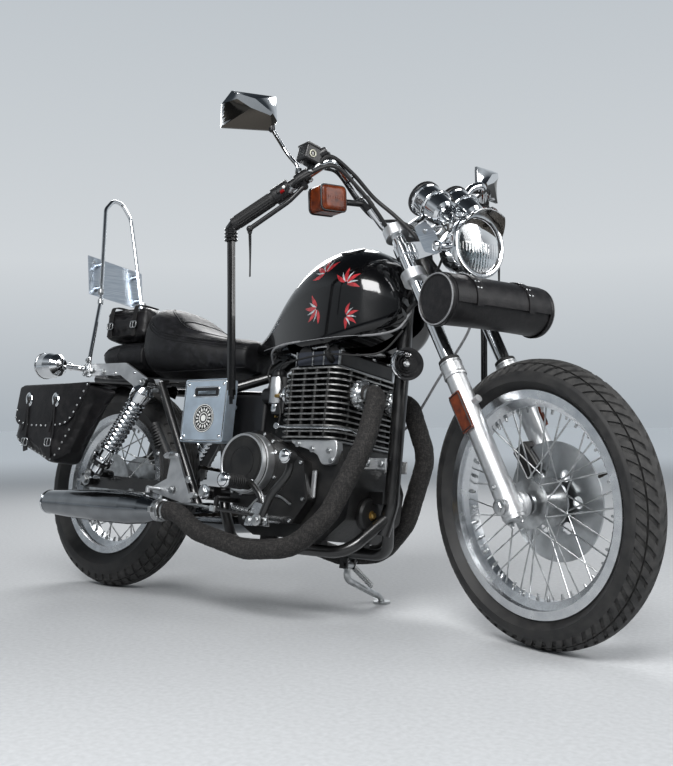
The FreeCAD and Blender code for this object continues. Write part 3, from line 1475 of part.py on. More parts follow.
def horn():
    """A round horn with a flared mouth on a strap from the downtube."""
    mouth = turned("horn_body", [
        ("0", "-horn_depth"),
        ("horn_radius - 12", "-horn_depth"),
        ("horn_radius - 6", "-horn_depth * 0.4"),
        ("horn_radius", "-6"),
        ("horn_radius", "0"),
        ("horn_radius - 6", "0"),
        ("horn_radius - 14", "-8"),
        ("0", "-4"),
    ])
    spot = Vector(behind("horn_setback"), -s("horn_side"), s("horn_z"))
    facing = Vector(0.72, -0.69, 0)
    nose = Vector(behind("downtube_setback"), 0, s("downtube_foot_z"))
    shoulder = down_shoulder()
    share = (shoulder.z - s("horn_z")) / (shoulder.z - nose.z)
    root = shoulder + (nose - shoulder) * share
    back = spot - facing * (s("horn_depth") - 2)
    strap = rod(root, back, 5)
    line = rod(shoulder, nose, s("spine_radius") - 3 + s("fit_gap"))
    strap = strap.cut(line)
    return placed(mouth, along_y(spot, facing)).fuse(strap)


def build_engine():
    keep("crankcase", crankcase(), STANCE)
    keep("cylinders", cylinders(), STANCE)
    keep("valve_cover", valve_cover(), STANCE)
    keep("engine_covers", engine_covers(), STANCE)
    keep("intake", intake(), STANCE)
    keep("exhaust_headers", headers(), STANCE)
    keep("mufflers", mufflers(), STANCE)
    keep("horn", horn(), STANCE)


# Bodywork and luggage

TANK_STATIONS = (
    # along, low, high, half: shares of the tank's length, height, height and half width
    (0.00, 0.07, 0.18, 0.28),
    (0.13, 0.02, 0.35, 0.52),
    (0.27, 0.00, 0.66, 0.72),
    (0.41, 0.00, 0.88, 0.87),
    (0.56, 0.01, 0.99, 0.97),
    (0.72, 0.05, 1.00, 1.00),
    (0.88, 0.14, 0.88, 0.86),
    (1.00, 0.30, 0.62, 0.50),
)
SEAT_STATIONS = (
    # along from the rear, low, high, half: shares of the seat's length, height, height and half width
    (0.00, 0.06, 0.92, 0.66),
    (0.14, 0.03, 1.00, 0.88),
    (0.28, 0.00, 0.92, 0.98),
    (0.42, 0.00, 0.76, 1.00),
    (0.57, 0.01, 0.62, 0.96),
    (0.76, 0.02, 0.52, 0.80),
    (1.00, 0.06, 0.49, 0.54),
)
PILLION_STATIONS = (
    # along from the rear, low, high, half: shares of the pillion pad's length, height, height and half width
    (0.00, 0.22, 0.84, 0.72),
    (0.22, 0.10, 0.97, 0.92),
    (0.66, 0.04, 0.98, 1.00),
    (1.00, 0.00, 0.98, 1.00),
)


def lofted(stations, start, length, base, height, half, top_round, low_round):
    wires = []
    for along, low, high, wide in stations:
        wires.append(section(start + along * length, base + low * height, base + high * height,
                             wide * half, top_round * wide, low_round))
    return Part.makeLoft(wires, True, False)


def tank_front_x():
    return behind("tank_front_setback")


def fork_sweep():
    """The room that the clamps and fork tubes need behind the steering axis, lock to lock."""
    gap = s("swing_gap")
    room = []
    for low in (s("yoke_low_at"), s("yoke_top_at")):
        waist = low - s("yoke_thickness") / 2 - gap
        room.append(rod(on_axis(waist), on_axis(waist + s("yoke_thickness") + 2 * gap), 68 + gap))
    for side in (-1, 1):
        for share in (0.5, 0.75, 1.0):
            foot = on_axis(s("yoke_low_at") - 100, s("fork_offset"), side * s("fork_half"))
            head = on_axis(s("yoke_top_at") + 60, s("fork_offset"), side * s("fork_half"))
            leg = rod(foot, head, s("yoke_round") + gap)
            leg.rotate(STEER_FOOT, STEER_AXIS, side * share * s("steer_lock"))
            room.append(leg)
    return room


def fuel_tank():
    """A teardrop tank with a seam lip, astride the spine, with a flush filler cap."""
    start = s("tank_rear_x")
    length = tank_front_x() - start
    shell = lofted(TANK_STATIONS, start, length, s("tank_base"), s("tank_height"), s("tank_half"), 130, 24)
    low, top = head_ends()
    drop = Vector(s("spine_drop_x"), 0, s("spine_drop_z"))
    crest = on_axis(value("yoke_low_at + 72"))
    half = s("tunnel_half")
    over = Vector(0, 0, s("spine_radius") + 9)
    reach = (crest - drop) * 0.2
    corners = [drop + over - (crest - drop) * 0.3, crest + over + reach, crest + reach - Vector(0, 0, 400),
               Vector(drop.x - 160, 0, drop.z - 300)]
    face = Part.Face(Part.makePolygon(corners + corners[:1]))
    tunnel = face.extrude(SIDEWAYS * 2 * half)
    tunnel.translate(SIDEWAYS * -half)
    neck = rod(low - STEER_AXIS * 60, top + STEER_AXIS * 60, s("head_radius") + 8)
    cap_turn = math.radians(26)
    facing = Vector(0, -math.sin(cap_turn), math.cos(cap_turn))
    round_radius = 130
    crown = s("tank_base") + s("tank_height")
    hub = Vector(start + length * 0.67, -s("tank_half") + round_radius, crown - round_radius)
    cap = rod(hub + facing * (round_radius - 16), hub + facing * (round_radius + s("cap_height") * 0.3),
              s("cap_radius"))
    mid = barrel_x()
    pocket = block(Vector(mid - 110, -s("cover_half") - 14, cover_base() - 60),
                   Vector(mid + 110, s("cover_half") + 14, cover_base() + s("cover_height") + 8))
    return shell.fuse(cap).cut([tunnel, neck, pocket] + fork_sweep())


def seat():
    """A stepped saddle: low rider's seat with a tall bolster, and the pillion pad behind."""
    start = s("seat_rear_x")
    front = s("tank_rear_x") - s("seat_gap")
    rider = lofted(SEAT_STATIONS, start, front - start, s("seat_base"), s("seat_height"), s("seat_half"), 60, 26)
    rear = s("pillion_rear_x")
    pad = lofted(PILLION_STATIONS, rear, start - rear + 12, s("seat_base") + 14, s("pillion_height") - 14,
                 s("pillion_half"), 44, 22)
    arch = rod(REAR_AXLE - SIDEWAYS * (s("fender_half") + 1), REAR_AXLE + SIDEWAYS * (s("fender_half") + 1),
               s("rear_radius") + s("fender_gap") + s("fit_gap"))
    return rider.fuse(pad).cut(arch)


def pillion_pack():
    """A flat-topped leather pack that stands on the pillion pad."""
    low_z = s("seat_base") + s("pillion_height") - 4
    high_x = s("seat_rear_x") - 6
    pack = rounded_block(Vector(high_x - s("pack_length"), -s("pack_half"), low_z),
                         Vector(high_x, s("pack_half"), low_z + s("pack_height")), s("pack_round"))
    below = seat()
    below.translate(Vector(0, 0, s("fit_gap")))
    return pack.cut(below)


def rear_fender():
    """A channel of sheet metal swept round the rear tyre."""
    radius = s("rear_radius") + s("fender_gap")
    half = s("fender_half")
    metal = s("sheet_metal")
    skirt = s("fender_skirt")
    corners = [
        (radius - skirt, -half), (radius - 14, -half), (radius, -half + 20), (radius, half - 20),
        (radius - 14, half), (radius - skirt, half), (radius - skirt, half - metal),
        (radius - 15, half - metal), (radius - metal, half - 21), (radius - metal, -half + 21),
        (radius - 15, -half + metal), (radius - skirt, -half + metal),
    ]
    spots = [REAR_AXLE + Vector(0, y, r) for r, y in corners]
    face = Part.Face(Part.makePolygon(spots + spots[:1]))
    face.rotate(REAR_AXLE, SIDEWAYS, s("fender_front_angle"))
    sweep = s("fender_front_angle") + s("fender_rear_angle")
    shell = face.revolve(REAR_AXLE, SIDEWAYS, -sweep)
    reach = s("seat_rail_half") - s("rail_tube_radius") - s("fit_gap")
    lugs = []
    for x, up in ((0, 15), (-50, 17)):
        for side in (-1, 1):
            spot = Vector(x, side * (half - metal + 1), s("seat_rail_z") + up)
            lugs.append(rod(spot, Vector(x, side * reach, spot.z), 7))
    return shell.multiFuse(lugs)


def fender_struts():
    """Cranked flat bars outside the fender, from the tail to the shock's top."""
    bar = plate("strut_bar", [
        ("strut_rear_x", "seat_rail_z + 26"),
        ("84", "seat_rail_z + 22"),
        ("160", "shock_top_z - 2"),
        ("shock_top_x - 20", "shock_top_z - strut_height / 2"),
        ("shock_top_x + 14", "shock_top_z - strut_height / 2"),
        ("shock_top_x + 14", "shock_top_z + strut_height / 2"),
        ("shock_top_x - 36", "shock_top_z + strut_height / 2"),
        ("104", "seat_rail_z + 22 + strut_height"),
        ("strut_rear_x", "seat_rail_z + 26 + strut_height"),
    ], "strut_thickness", "6")
    shape = placed(bar, Placement(SIDEWAYS * s("strut_half"), Rotation()))
    stud = Vector(s("shock_top_x"), 0, s("shock_top_z"))
    shape = shape.cut(rod(stud, stud + SIDEWAYS * 300, 8 + s("fit_gap")))
    inner = s("seat_rail_half") + s("rail_tube_radius") + s("fit_gap")
    spacer_x = s("tail_x") + 60
    spacer_z = s("seat_rail_z") + 34
    spacer = rod(Vector(spacer_x, s("seat_rail_half") - 4, spacer_z), Vector(spacer_x, s("strut_half"), spacer_z), 8)
    rail = rod(Vector(-200, s("seat_rail_half"), s("seat_rail_z") + 26.1),
               Vector(240, s("seat_rail_half"), s("seat_rail_z") + 0.6), s("rail_tube_radius") + s("fit_gap"))
    return both_sides(shape.fuse(spacer).cut(rail))


def sissy_points():
    """The hoop's centreline on the right, from its foot to the crown."""
    foot_half = s("strut_half") + s("strut_thickness") / 2 + s("fit_gap") + s("sissy_radius")
    return [
        Vector(s("sissy_foot_x") - 4, -foot_half, s("seat_rail_z") + 20),
        Vector(s("sissy_foot_x") - 10, -foot_half, s("seat_rail_z") + 78),
        Vector(s("sissy_waist_x"), -s("sissy_waist_half"), s("sissy_waist_z")),
        Vector(s("sissy_top_x") + 11, -s("sissy_top_half"), s("sissy_top_z") - 46),
        Vector(s("sissy_top_x"), -s("sissy_top_half") + 36, s("sissy_top_z")),
    ]


def sissy_bar():
    """A tall chrome hoop that rises from the fender struts."""
    right = sissy_points()
    left = [Vector(p.x, -p.y, p.z) for p in reversed(right)]
    return tube(right + left, s("sissy_radius"), 48)


def sissy_at(z):
    """The hoop's x and half width at a height between its waist and its shoulder."""
    waist, shoulder = sissy_points()[2:4]
    share = (z - waist.z) / (shoulder.z - waist.z)
    spot = waist + (shoulder - waist) * share
    return spot.x, -spot.y


def number_plate():
    """A blank plate on a folded holder, clipped to the hoop's two legs."""
    body = plate("plate_sheet", [
        ("-plate_thickness / 2", "-plate_height / 2"),
        ("plate_thickness / 2", "-plate_height / 2"),
        ("plate_thickness / 2", "plate_height / 2"),
        ("-plate_thickness / 2", "plate_height / 2"),
    ], "plate_width")
    low_x = sissy_at(s("plate_z") - 40)[0]
    high_x = sissy_at(s("plate_z") + 40)[0]
    tilt = math.degrees(math.atan2(high_x - low_x, 80))
    x = sissy_at(s("plate_z"))[0] - s("sissy_radius") - s("plate_standoff")
    shape = placed(body, Placement(Vector(x, 0, s("plate_z")), Rotation(SIDEWAYS, tilt)))
    made = [shape]
    bores = []
    for z in (s("plate_z") - 42, s("plate_z") + 42):
        leg_x, half = sissy_at(z)
        for side in (-1, 1):
            spot = Vector(leg_x, side * half, z)
            back_x = leg_x - s("plate_standoff") - s("sissy_radius") + 1
            made.append(rod(Vector(back_x, side * half, z), spot, 8))
    waist, shoulder = sissy_points()[2:4]
    for side in (-1, 1):
        low = Vector(waist.x, -side * waist.y, waist.z)
        high = Vector(shoulder.x, -side * shoulder.y, shoulder.z)
        bores.append(rod(low, high, s("sissy_radius") + s("fit_gap")))
    return fused(made).cut(bores)


def tail_lamp():
    """A round lamp on the fender's tail."""
    body = turned("tail_lamp_body", [
        ("0", "0"),
        ("tail_lamp_radius - 8", "0"),
        ("tail_lamp_radius", "12"),
        ("tail_lamp_radius", "tail_lamp_depth - 12"),
        ("tail_lamp_radius - 6", "tail_lamp_depth - 3"),
        ("0", "tail_lamp_depth"),
    ])
    angle = math.radians(s("fender_rear_angle") - 10)
    out = s("rear_radius") + s("fender_gap") + s("fit_gap")
    spot = REAR_AXLE + Vector(-math.sin(angle), 0, math.cos(angle)) * out
    facing = Vector(-math.sin(angle), 0, math.cos(angle))
    return placed(body, along_y(spot, facing))


def rear_signals():
    """Chrome bullet lamps on stalks from the struts' tails."""
    bullet = turned("bullet_body", [
        ("0", "-bullet_length / 2"),
        ("bullet_radius - 7", "-bullet_length / 2"),
        ("bullet_radius", "-bullet_length / 2 + 8"),
        ("bullet_radius", "-bullet_length / 2 + 40"),
        ("bullet_radius * 0.86", "bullet_length / 2 - 24"),
        ("bullet_radius * 0.5", "bullet_length / 2 - 5"),
        ("0", "bullet_length / 2"),
    ])
    spot = Vector(s("bullet_x"), s("bullet_half"), s("bullet_z"))
    root = Vector(s("strut_rear_x") + 16, s("strut_half") + s("strut_thickness") / 2 + s("fit_gap"),
                  s("seat_rail_z") + 26 + s("strut_height") / 2)
    stalk = tube([root, root + Vector(0, 18, 0), spot + Vector(10, -4, 0)], 8, 14)
    return both_sides(placed(bullet, along_y(spot, Vector(1, 0, 0))).fuse(stalk))


def saddlebag(side):
    """A slanted throw-over bag with a proud flap and two straps up to the strut."""
    name = "right" if side < 0 else "left"
    body = plate("bag_" + name, [
        ("-168", "412"),
        ("44", "336"),
        ("206", "584"),
        ("-150", "576"),
    ], "bag_depth", "26")
    flap = plate("flap_" + name, [
        ("-158", "490"),
        ("128", "478"),
        ("202", "582"),
        ("-148", "574"),
    ], "5", "18")
    middle = s("bag_inner_half") + s("bag_depth") / 2
    shape = placed(body, Placement(SIDEWAYS * side * middle, Rotation()))
    face = middle + s("bag_depth") / 2 + 1.5
    shape = shape.fuse(placed(flap, Placement(SIDEWAYS * side * face, Rotation())))
    inner = s("strut_half") + s("strut_thickness") / 2 + s("fit_gap")
    strut_low = s("seat_rail_z") + 30
    flap_z = strut_low - 92
    outer = s("bag_inner_half") + 12
    for x in (-20, 50):
        pieces = [
            block(Vector(x - 13, inner, strut_low), Vector(x + 13, outer, strut_low + 5)),
            block(Vector(x - 13, outer - 6, flap_z), Vector(x + 13, outer, strut_low + 5)),
        ]
        strap = fused(pieces)
        shape = shape.fuse(mirrored(strap) if side < 0 else strap)
    return shape


def side_covers():
    """Box covers under the seat with a flat outer plate and a shallow window."""
    cover = plate("cover_box", [
        ("panel_rear_x", "panel_z - panel_height / 2"),
        ("panel_rear_x + panel_width", "panel_z - panel_height / 2"),
        ("panel_rear_x + panel_width", "panel_z + panel_height / 2"),
        ("panel_rear_x", "panel_z + panel_height / 2"),
    ], "panel_depth", "6")
    shape = placed(cover, Placement(SIDEWAYS * (s("panel_half") - s("panel_depth") / 2), Rotation()))
    low = Vector(s("panel_rear_x") + 42, s("panel_half") - 3, s("panel_z") + 40)
    window = block(low, low + Vector(92, 10, 24))
    shape = shape.cut(window)
    inner = s("airbox_half") - 18 + s("fit_gap")
    post = rod(Vector(s("airbox_rear_x") + 58, inner, s("panel_z") + 20),
               Vector(s("airbox_rear_x") + 58, s("panel_half") - s("panel_depth") / 2, s("panel_z") + 20), 8)
    return both_sides(shape.fuse(post))


def build_bodywork():
    keep("fuel_tank", fuel_tank(), STANCE)
    keep("seat", seat(), STANCE)
    keep("pillion_pack", pillion_pack(), STANCE)
    keep("rear_fender", rear_fender(), STANCE)
    keep("fender_struts", fender_struts(), STANCE)
    keep("sissy_bar", sissy_bar(), STANCE)
    keep("number_plate", number_plate(), STANCE)
    keep("tail_lamp", tail_lamp(), STANCE)
    keep("rear_signals", rear_signals(), STANCE)
    keep("saddlebag_right", saddlebag(-1), STANCE)
    keep("saddlebag_left", saddlebag(1), STANCE)
    keep("side_covers", side_covers(), STANCE)


# Pegs, levers and stand

def rider_peg():
    """A rubber peg on a curved arm from a three-cornered bracket, on the right."""
    x = behind("bracket_setback")
    z = s("bracket_z")
    half = s("bracket_half")
    corners = [Vector(x - 38, -half, z - 20), Vector(x + 26, -half, z - 20), Vector(x + 8, -half, z + 32),
               Vector(x - 14, -half, z + 32)]
    bracket = Part.Face(Part.makePolygon(corners + corners[:1])).extrude(SIDEWAYS * s("bracket_thickness"))
    root = Vector(behind("peg_setback"), -s("peg_root_half"), s("peg_z"))
    tip = root - SIDEWAYS * s("peg_length")
    arm = tube([
        Vector(x - 2, -half + 4, z + 12),
        Vector(x - 6, -half + 4, z + 52),
        Vector(x - 40, -half + 2, z + 84),
        root + Vector(0, -2, 0),
    ], 9, 40)
    peg = rod(root, tip, s("peg_radius"))
    skirt = s("case_half") + 2 * s("fit_gap") + s("cover_depth") * 0.42
    stay = rod(Vector(x, -half + 4, z), Vector(x, -skirt, z), 11)
    return fused([bracket, arm, peg, stay])


def passenger_peg():
    """A folded passenger peg on its three-cornered hanger plate, on the right."""
    half = -s("hanger_half")
    stay_x = s("pivot_x") - 40
    z = s("hanger_z")
    # corner columns: behind the stay's line, above the hanger's middle
    outline = ((4, -68), (-14, -58), (60, 72), (84, 66), (92, 0), (146, -24), (144, -40))
    corners = [Vector(stay_x - back, half, z + up) for back, up in outline]
    hanger = Part.Face(Part.makePolygon(corners + corners[:1])).extrude(SIDEWAYS * s("hanger_thickness"))
    knuckle = Vector(stay_x - 76, half, z + 66)
    clevis = rod(knuckle + Vector(0, 6, 0), knuckle - Vector(0, 26, 0), 12)
    root = knuckle - Vector(0, 22, 0)
    peg = rod(root, root + Vector(-0.55, -0.12, 0.84) * s("rear_peg_length"), s("rear_peg_radius"))
    rail = s("pivot_half") + 12
    groove = s("rail_tube_radius") + s("fit_gap")
    foot = Vector(stay_x + 12, 0, z - 42)
    spacer = rod(foot - SIDEWAYS * (rail + groove - 3), foot + SIDEWAYS * half, 8)
    stay = rod(Vector(s("shock_top_x") + 30, -rail, s("shock_top_z") + 2),
               Vector(s("pivot_x") - 24, -rail, s("pivot_z") - 38), groove)
    bend = Vector(stay_x - 120, -s("muffler_half") + 8, z - 30)
    hook = rod(Vector(bend.x, half + 4, bend.z), bend - Vector(0, 2, 0), 6)
    drop = rod(bend, Vector(bend.x, bend.y, s("muffler_z") + s("muffler_radius") + 0.6), 6)
    return fused([hanger, clevis, peg, spacer, hook, drop]).cut(stay)


def foot_controls():
    """Brake pedal with its rod on the right, gear lever on the left."""
    x = behind("bracket_setback")
    z = s("bracket_z")
    half = s("bracket_half") + s("fit_gap") + 5
    pivot = Vector(x + 10, -half - 6, z - 6)
    pad = Vector(behind("pedal_pad_setback"), -half - 16, s("pedal_pad_z"))
    arm = tube([
        pivot,
        pivot + Vector(26, 0, 62),
        pad + Vector(-4, 8, -42),
        pad + Vector(0, 8, 0),
    ], s("pedal_radius"), 70)
    boss = rod(pivot - Vector(0, 8, 0), pivot + Vector(0, 10.5, 0), 14)
    cap = rod(pad + Vector(0, 10, 0), pad - Vector(0, 20, 0), s("pedal_pad_radius"))
    rear = Vector(clutch_x() - 42, -half - 6, z + 14)
    link = rod(pivot + Vector(0, 0, 10), rear, s("rod_radius"))
    crank = rod(rear + Vector(0, 3, -10), rear + Vector(0, 3, 30), 7)
    stay_z = rear.z + 27
    skirt = s("case_half") + 2 * s("fit_gap") + s("cover_depth") * 0.42
    mount = rod(Vector(rear.x, rear.y + 3, stay_z), Vector(rear.x, -skirt, stay_z), 7)
    brake = fused([arm, boss, cap, link, crank, mount])
    lever = tube([Vector(pivot.x, half + 8, pivot.z + 4), Vector(pivot.x + 60, half + 10, pivot.z + 30),
                  Vector(pivot.x + 128, half + 12, pivot.z + 48)], s("pedal_radius") - 3, 40)
    toe = rod(Vector(pivot.x + 128, half + 4, pivot.z + 48), Vector(pivot.x + 128, half + 44, pivot.z + 48), 9)
    knob = rod(Vector(pivot.x, half - 4.9, pivot.z + 4), Vector(pivot.x, half + 16, pivot.z + 4), 12)
    return Part.makeCompound([brake, fused([lever, toe, knob])])


def side_stand():
    """The stand's leg from its pivot under the left rail to a flat foot on the floor."""
    pivot = STANCE.multVec(Vector(s("stand_pivot_x"), s("stand_pivot_half"),
                                  s("cradle_z") - s("frame_tube_radius") - s("stand_drop")))
    foot = Vector(s("stand_foot_x"), s("stand_foot_side"), s("stand_foot_height"))
    down = STANCE.Rotation.multVec(Vector(0, 0, -1))
    leg = tube([pivot, pivot + down * 38, foot + Vector(0, -12, 14), foot], s("stand_radius"), 30)
    pad = Part.makeCylinder(s("stand_foot_radius"), s("stand_foot_height"), Vector(foot.x, foot.y, 0))
    axis = STANCE.Rotation.multVec(SIDEWAYS)
    eye = rod(pivot - axis * 12, pivot + axis * 12, 12)
    bore = rod(pivot - axis * 30, pivot + axis * 30, 6.3)
    return fused([leg, pad, eye]).cut(bore)


def stand_bracket():
    """Two ears and a pin that carry the side stand under the left rail."""
    centre = Vector(s("stand_pivot_x"), s("stand_pivot_half"),
                    s("cradle_z") - s("frame_tube_radius") - s("stand_drop"))
    made = []
    for side in (-1, 1):
        y = centre.y + side * 16.5
        low = Vector(centre.x - 13, y - 3, centre.z - 10)
        high = Vector(centre.x + 13, y + 3, s("cradle_z") - s("frame_tube_radius") + 10)
        made.append(block(low, high))
    made.append(rod(centre - SIDEWAYS * 24, centre + SIDEWAYS * 24, 6))
    cap_low = Vector(centre.x - 13, centre.y - 19.5, s("cradle_z") - s("frame_tube_radius") + 4)
    made.append(block(cap_low, cap_low + Vector(26, 39, 6)))
    rail_low = Vector(centre.x - 60, s("cradle_half"), s("cradle_z"))
    rail = rod(rail_low, rail_low + Vector(120, 0, 0), s("frame_tube_radius") + s("fit_gap"))
    return fused(made).cut(rail)


def build_controls():
    keep("rider_pegs", both_sides(rider_peg()), STANCE)
    keep("passenger_pegs", both_sides(passenger_peg()), STANCE)
    keep("foot_controls", foot_controls(), STANCE)
    keep("stand_bracket", stand_bracket(), STANCE)
    keep("side_stand", side_stand(), Placement())


def centre_on_footprint():
    """Moves every sub-part alike, so that the origin is under the middle of the whole."""
    whole = FreeCAD.BoundBox()
    for _, made in NODES:
        whole.add(made.Shape.optimalBoundingBox(False))
    middle = Placement(Vector(-whole.Center.x, -whole.Center.y, 0), Rotation())
    for _, made in NODES:
        made.Placement = middle.multiply(made.Placement)
    return middle.Base


def check_and_write():
    """Stops on a failed object or a bad shape, then writes one file for each sub-part."""
    doc.recompute()
    for thing in doc.Objects:
        if "Invalid" in thing.State or "Error" in thing.State:
            raise ValueError("%s failed" % thing.Name)
    os.makedirs("parts", exist_ok=True)
    for node, made in NODES:
        shape = made.Shape
        if shape.isNull() or not shape.isValid() or not shape.Solids:
            raise ValueError("%s has a bad shape" % node)
        shape.exportStep("parts/%s.step" % node)


build_wheels()
build_fork()
build_frame()
build_engine()
build_bodywork()
build_controls()
MIDDLE = centre_on_footprint()
check_and_write()
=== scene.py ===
"""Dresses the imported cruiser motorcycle: finishes, soft goods, tread, cables, fasteners and the stage."""

import json
import math
import random

import bpy
from mathutils import Matrix, Vector
from mathutils.bvhtree import BVHTree


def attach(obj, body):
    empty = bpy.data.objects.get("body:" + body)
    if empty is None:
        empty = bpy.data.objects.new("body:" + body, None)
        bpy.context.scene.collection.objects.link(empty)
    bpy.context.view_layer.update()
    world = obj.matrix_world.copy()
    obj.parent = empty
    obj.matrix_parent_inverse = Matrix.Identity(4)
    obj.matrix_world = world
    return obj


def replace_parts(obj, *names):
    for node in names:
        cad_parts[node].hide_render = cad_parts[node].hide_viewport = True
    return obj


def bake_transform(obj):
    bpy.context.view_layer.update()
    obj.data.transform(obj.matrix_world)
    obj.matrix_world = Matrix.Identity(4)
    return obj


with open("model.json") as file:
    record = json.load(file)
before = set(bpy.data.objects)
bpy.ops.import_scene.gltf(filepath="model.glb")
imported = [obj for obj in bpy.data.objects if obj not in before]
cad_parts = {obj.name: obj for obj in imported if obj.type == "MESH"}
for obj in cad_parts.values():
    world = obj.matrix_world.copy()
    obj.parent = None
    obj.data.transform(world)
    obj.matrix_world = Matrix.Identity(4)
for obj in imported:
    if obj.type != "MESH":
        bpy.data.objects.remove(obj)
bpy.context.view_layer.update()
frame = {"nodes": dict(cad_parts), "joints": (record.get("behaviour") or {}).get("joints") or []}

bl_info = {
    "name": "Cruiser motorcycle dressing",
    "version": (1, 0, 0),
    "blender": (4, 5, 0),
    "location": "3D View > Sidebar > Cruiser",
    "description": "Adds the finishes, soft goods, tread and fittings of a cruiser motorcycle",
    "category": "Object",
}

MM = 0.001
RAKE = math.radians(28.5)
STEER_REST = math.radians(-20)
WHEELBASE = 1450
FRONT_RADIUS = 326
REAR_RADIUS = 318
FORK_OFFSET = 37
JOINTS = {joint["name"]: joint for joint in frame["joints"]}


# Places

def upright_frame():
    """The matrix that carries upright millimetres, from the rear tyre's contact, to the leaning machine."""
    side = Vector(JOINTS["rear_wheel_spin"]["axis"])
    axis = Vector(JOINTS["steering"]["axis"])
    ahead = side.cross(axis)
    forward = ahead * math.cos(RAKE) - axis * math.sin(RAKE)
    up = ahead * math.sin(RAKE) + axis * math.cos(RAKE)
    turn = Matrix((forward, side, up)).transposed().to_4x4()
    axle = Vector(JOINTS["rear_wheel_spin"]["pos_m"])
    foot = axle - up * REAR_RADIUS * MM
    return Matrix.Translation(foot) @ turn @ Matrix.Scale(MM, 4)


BIKE = upright_frame()
STEER_POS = Vector(JOINTS["steering"]["pos_m"])
STEER_TURN = Matrix.Rotation(STEER_REST, 4, Vector(JOINTS["steering"]["axis"]))
FORK = Matrix.Translation(STEER_POS) @ STEER_TURN @ Matrix.Translation(-STEER_POS) @ BIKE
FRONT_WHEEL = FORK @ Matrix.Translation((WHEELBASE, 0, FRONT_RADIUS))
REAR_WHEEL = BIKE @ Matrix.Translation((0, 0, REAR_RADIUS))


# Materials

def linear(code):
    """An sRGB hex colour as the linear colour that shaders take."""
    parts = [int(code[i:i + 2], 16) / 255 for i in (1, 3, 5)]
    return tuple(c / 12.92 if c <= 0.04045 else ((c + 0.055) / 1.055) ** 2.4 for c in parts) + (1.0,)


def shade(colour, share):
    """A linear colour made darker or lighter by a share."""
    return tuple(min(1.0, part * share) for part in colour[:3]) + (1.0,)


def colour_of(value, base=None):
    """A linear colour from sRGB hex, from the name of a user's colour, or from a share of the base."""
    if not isinstance(value, str):
        return shade(base, value)
    return linear(value) if value.startswith("#") else tuple(getattr(colours(), value))


def add(tree, kind, settings=None, links=None):
    """Adds a node; settings name its properties or sockets, links its sockets and what feeds them."""
    made = tree.nodes.new("ShaderNode" + kind)
    for key, value in (settings or {}).items():
        if isinstance(key, str) and hasattr(made, key):
            setattr(made, key, value)
        else:
            made.inputs[key].default_value = value
    for key, source in (links or {}).items():
        tree.links.new(made.inputs[key], source)
    return made


def grain(tree, where, size_mm, detail=3.0, stretch=(1, 1, 1)):
    """Noise whose features are size_mm across."""
    mapped = add(tree, "Mapping", {"Scale": stretch}, {"Vector": where})
    noise = add(tree, "TexNoise", {"Scale": 1 / (size_mm * MM), "Detail": detail}, {"Vector": mapped.outputs[0]})
    return noise.outputs["Fac"]


def pebble(tree, where):
    """The pebbles of hide, coarser than real, to show."""
    return add(tree, "TexVoronoi", {"Scale": 1 / (4.5 * MM)}, {"Vector": where}).outputs["Distance"]


def weave(tree, where):
    """The crossing threads of fibre tape, broken up by soot."""
    cells = add(tree, "TexVoronoi", {"Scale": 1 / (4.2 * MM), "Randomness": 0.55}, {"Vector": where})
    links = {0: cells.outputs["Distance"], 1: grain(tree, where, 9, 4)}
    return add(tree, "Math", {"operation": "MULTIPLY"}, links).outputs[0]


def ribs(tree, where):
    """The moulded ribs of a lens."""
    return add(tree, "TexWave", {"Scale": 1 / (16 * MM)}, {"Vector": where}).outputs["Fac"]


def surface(name, base, metallic=0.0, roughness=0.5, tint=None, rough=None, bumps=(), **extra):
    """A material whose tint, roughness and bumps follow textures.

    A texture is (size in mm, detail) for noise, which may end with a stretch, or one of the functions above. tint
    is (texture, low colour, high colour) and may end with where the blend starts and stops, rough is (texture,
    low, high), and each bump is (texture, depth in mm, strength). extra holds other inputs of the shader.
    """
    made = bpy.data.materials.new(name)
    made.use_nodes = True
    base = colour_of(base)
    made.diffuse_color = base
    tree = made.node_tree
    shader = tree.nodes["Principled BSDF"]
    values = {"base_color": base, "metallic": metallic, "roughness": roughness, **extra}
    for key, value in values.items():
        shader.inputs[key.replace("_", " ").title().replace("Ior", "IOR")].default_value = value
    where = add(tree, "TexCoord").outputs["Object"]

    def drawn(texture):
        return texture(tree, where) if callable(texture) else grain(tree, where, *texture)

    if tint:
        texture, low, high, spread = (*tint, (0.3, 0.7))[:4]
        ramp = add(tree, "ValToRGB", None, {"Fac": drawn(texture)})
        for stop, position, colour in zip(ramp.color_ramp.elements, spread, (low, high)):
            stop.position = position
            stop.color = colour_of(colour, base)
        tree.links.new(shader.inputs["Base Color"], ramp.outputs["Color"])
    if rough:
        texture, low, high = rough
        spread = add(tree, "MapRange", {"To Min": low, "To Max": high}, {"Value": drawn(texture)})
        tree.links.new(shader.inputs["Roughness"], spread.outputs["Result"])
    under = None
    for texture, depth, strength in bumps:
        links = {"Height": drawn(texture)}
        if under:
            links["Normal"] = under
        under = add(tree, "Bump", {"Distance": depth * MM, "Strength": strength}, links).outputs["Normal"]
    if under:
        tree.links.new(shader.inputs["Normal"], under)
    return made, tree, shader, where


def hide(name, base, worn, shine):
    """Waxed black hide: pebble grain with rubbed high spots."""
    crease = (22, 6)
    return dict(name=name, base=base, roughness=shine, tint=(crease, base, worn, (0.45, 0.85)),
                rough=(crease, shine - 0.1, shine + 0.16), bumps=((pebble, 0.5, 0.35), (crease, 1.6, 0.45)),
                specular_ior_level=0.32)


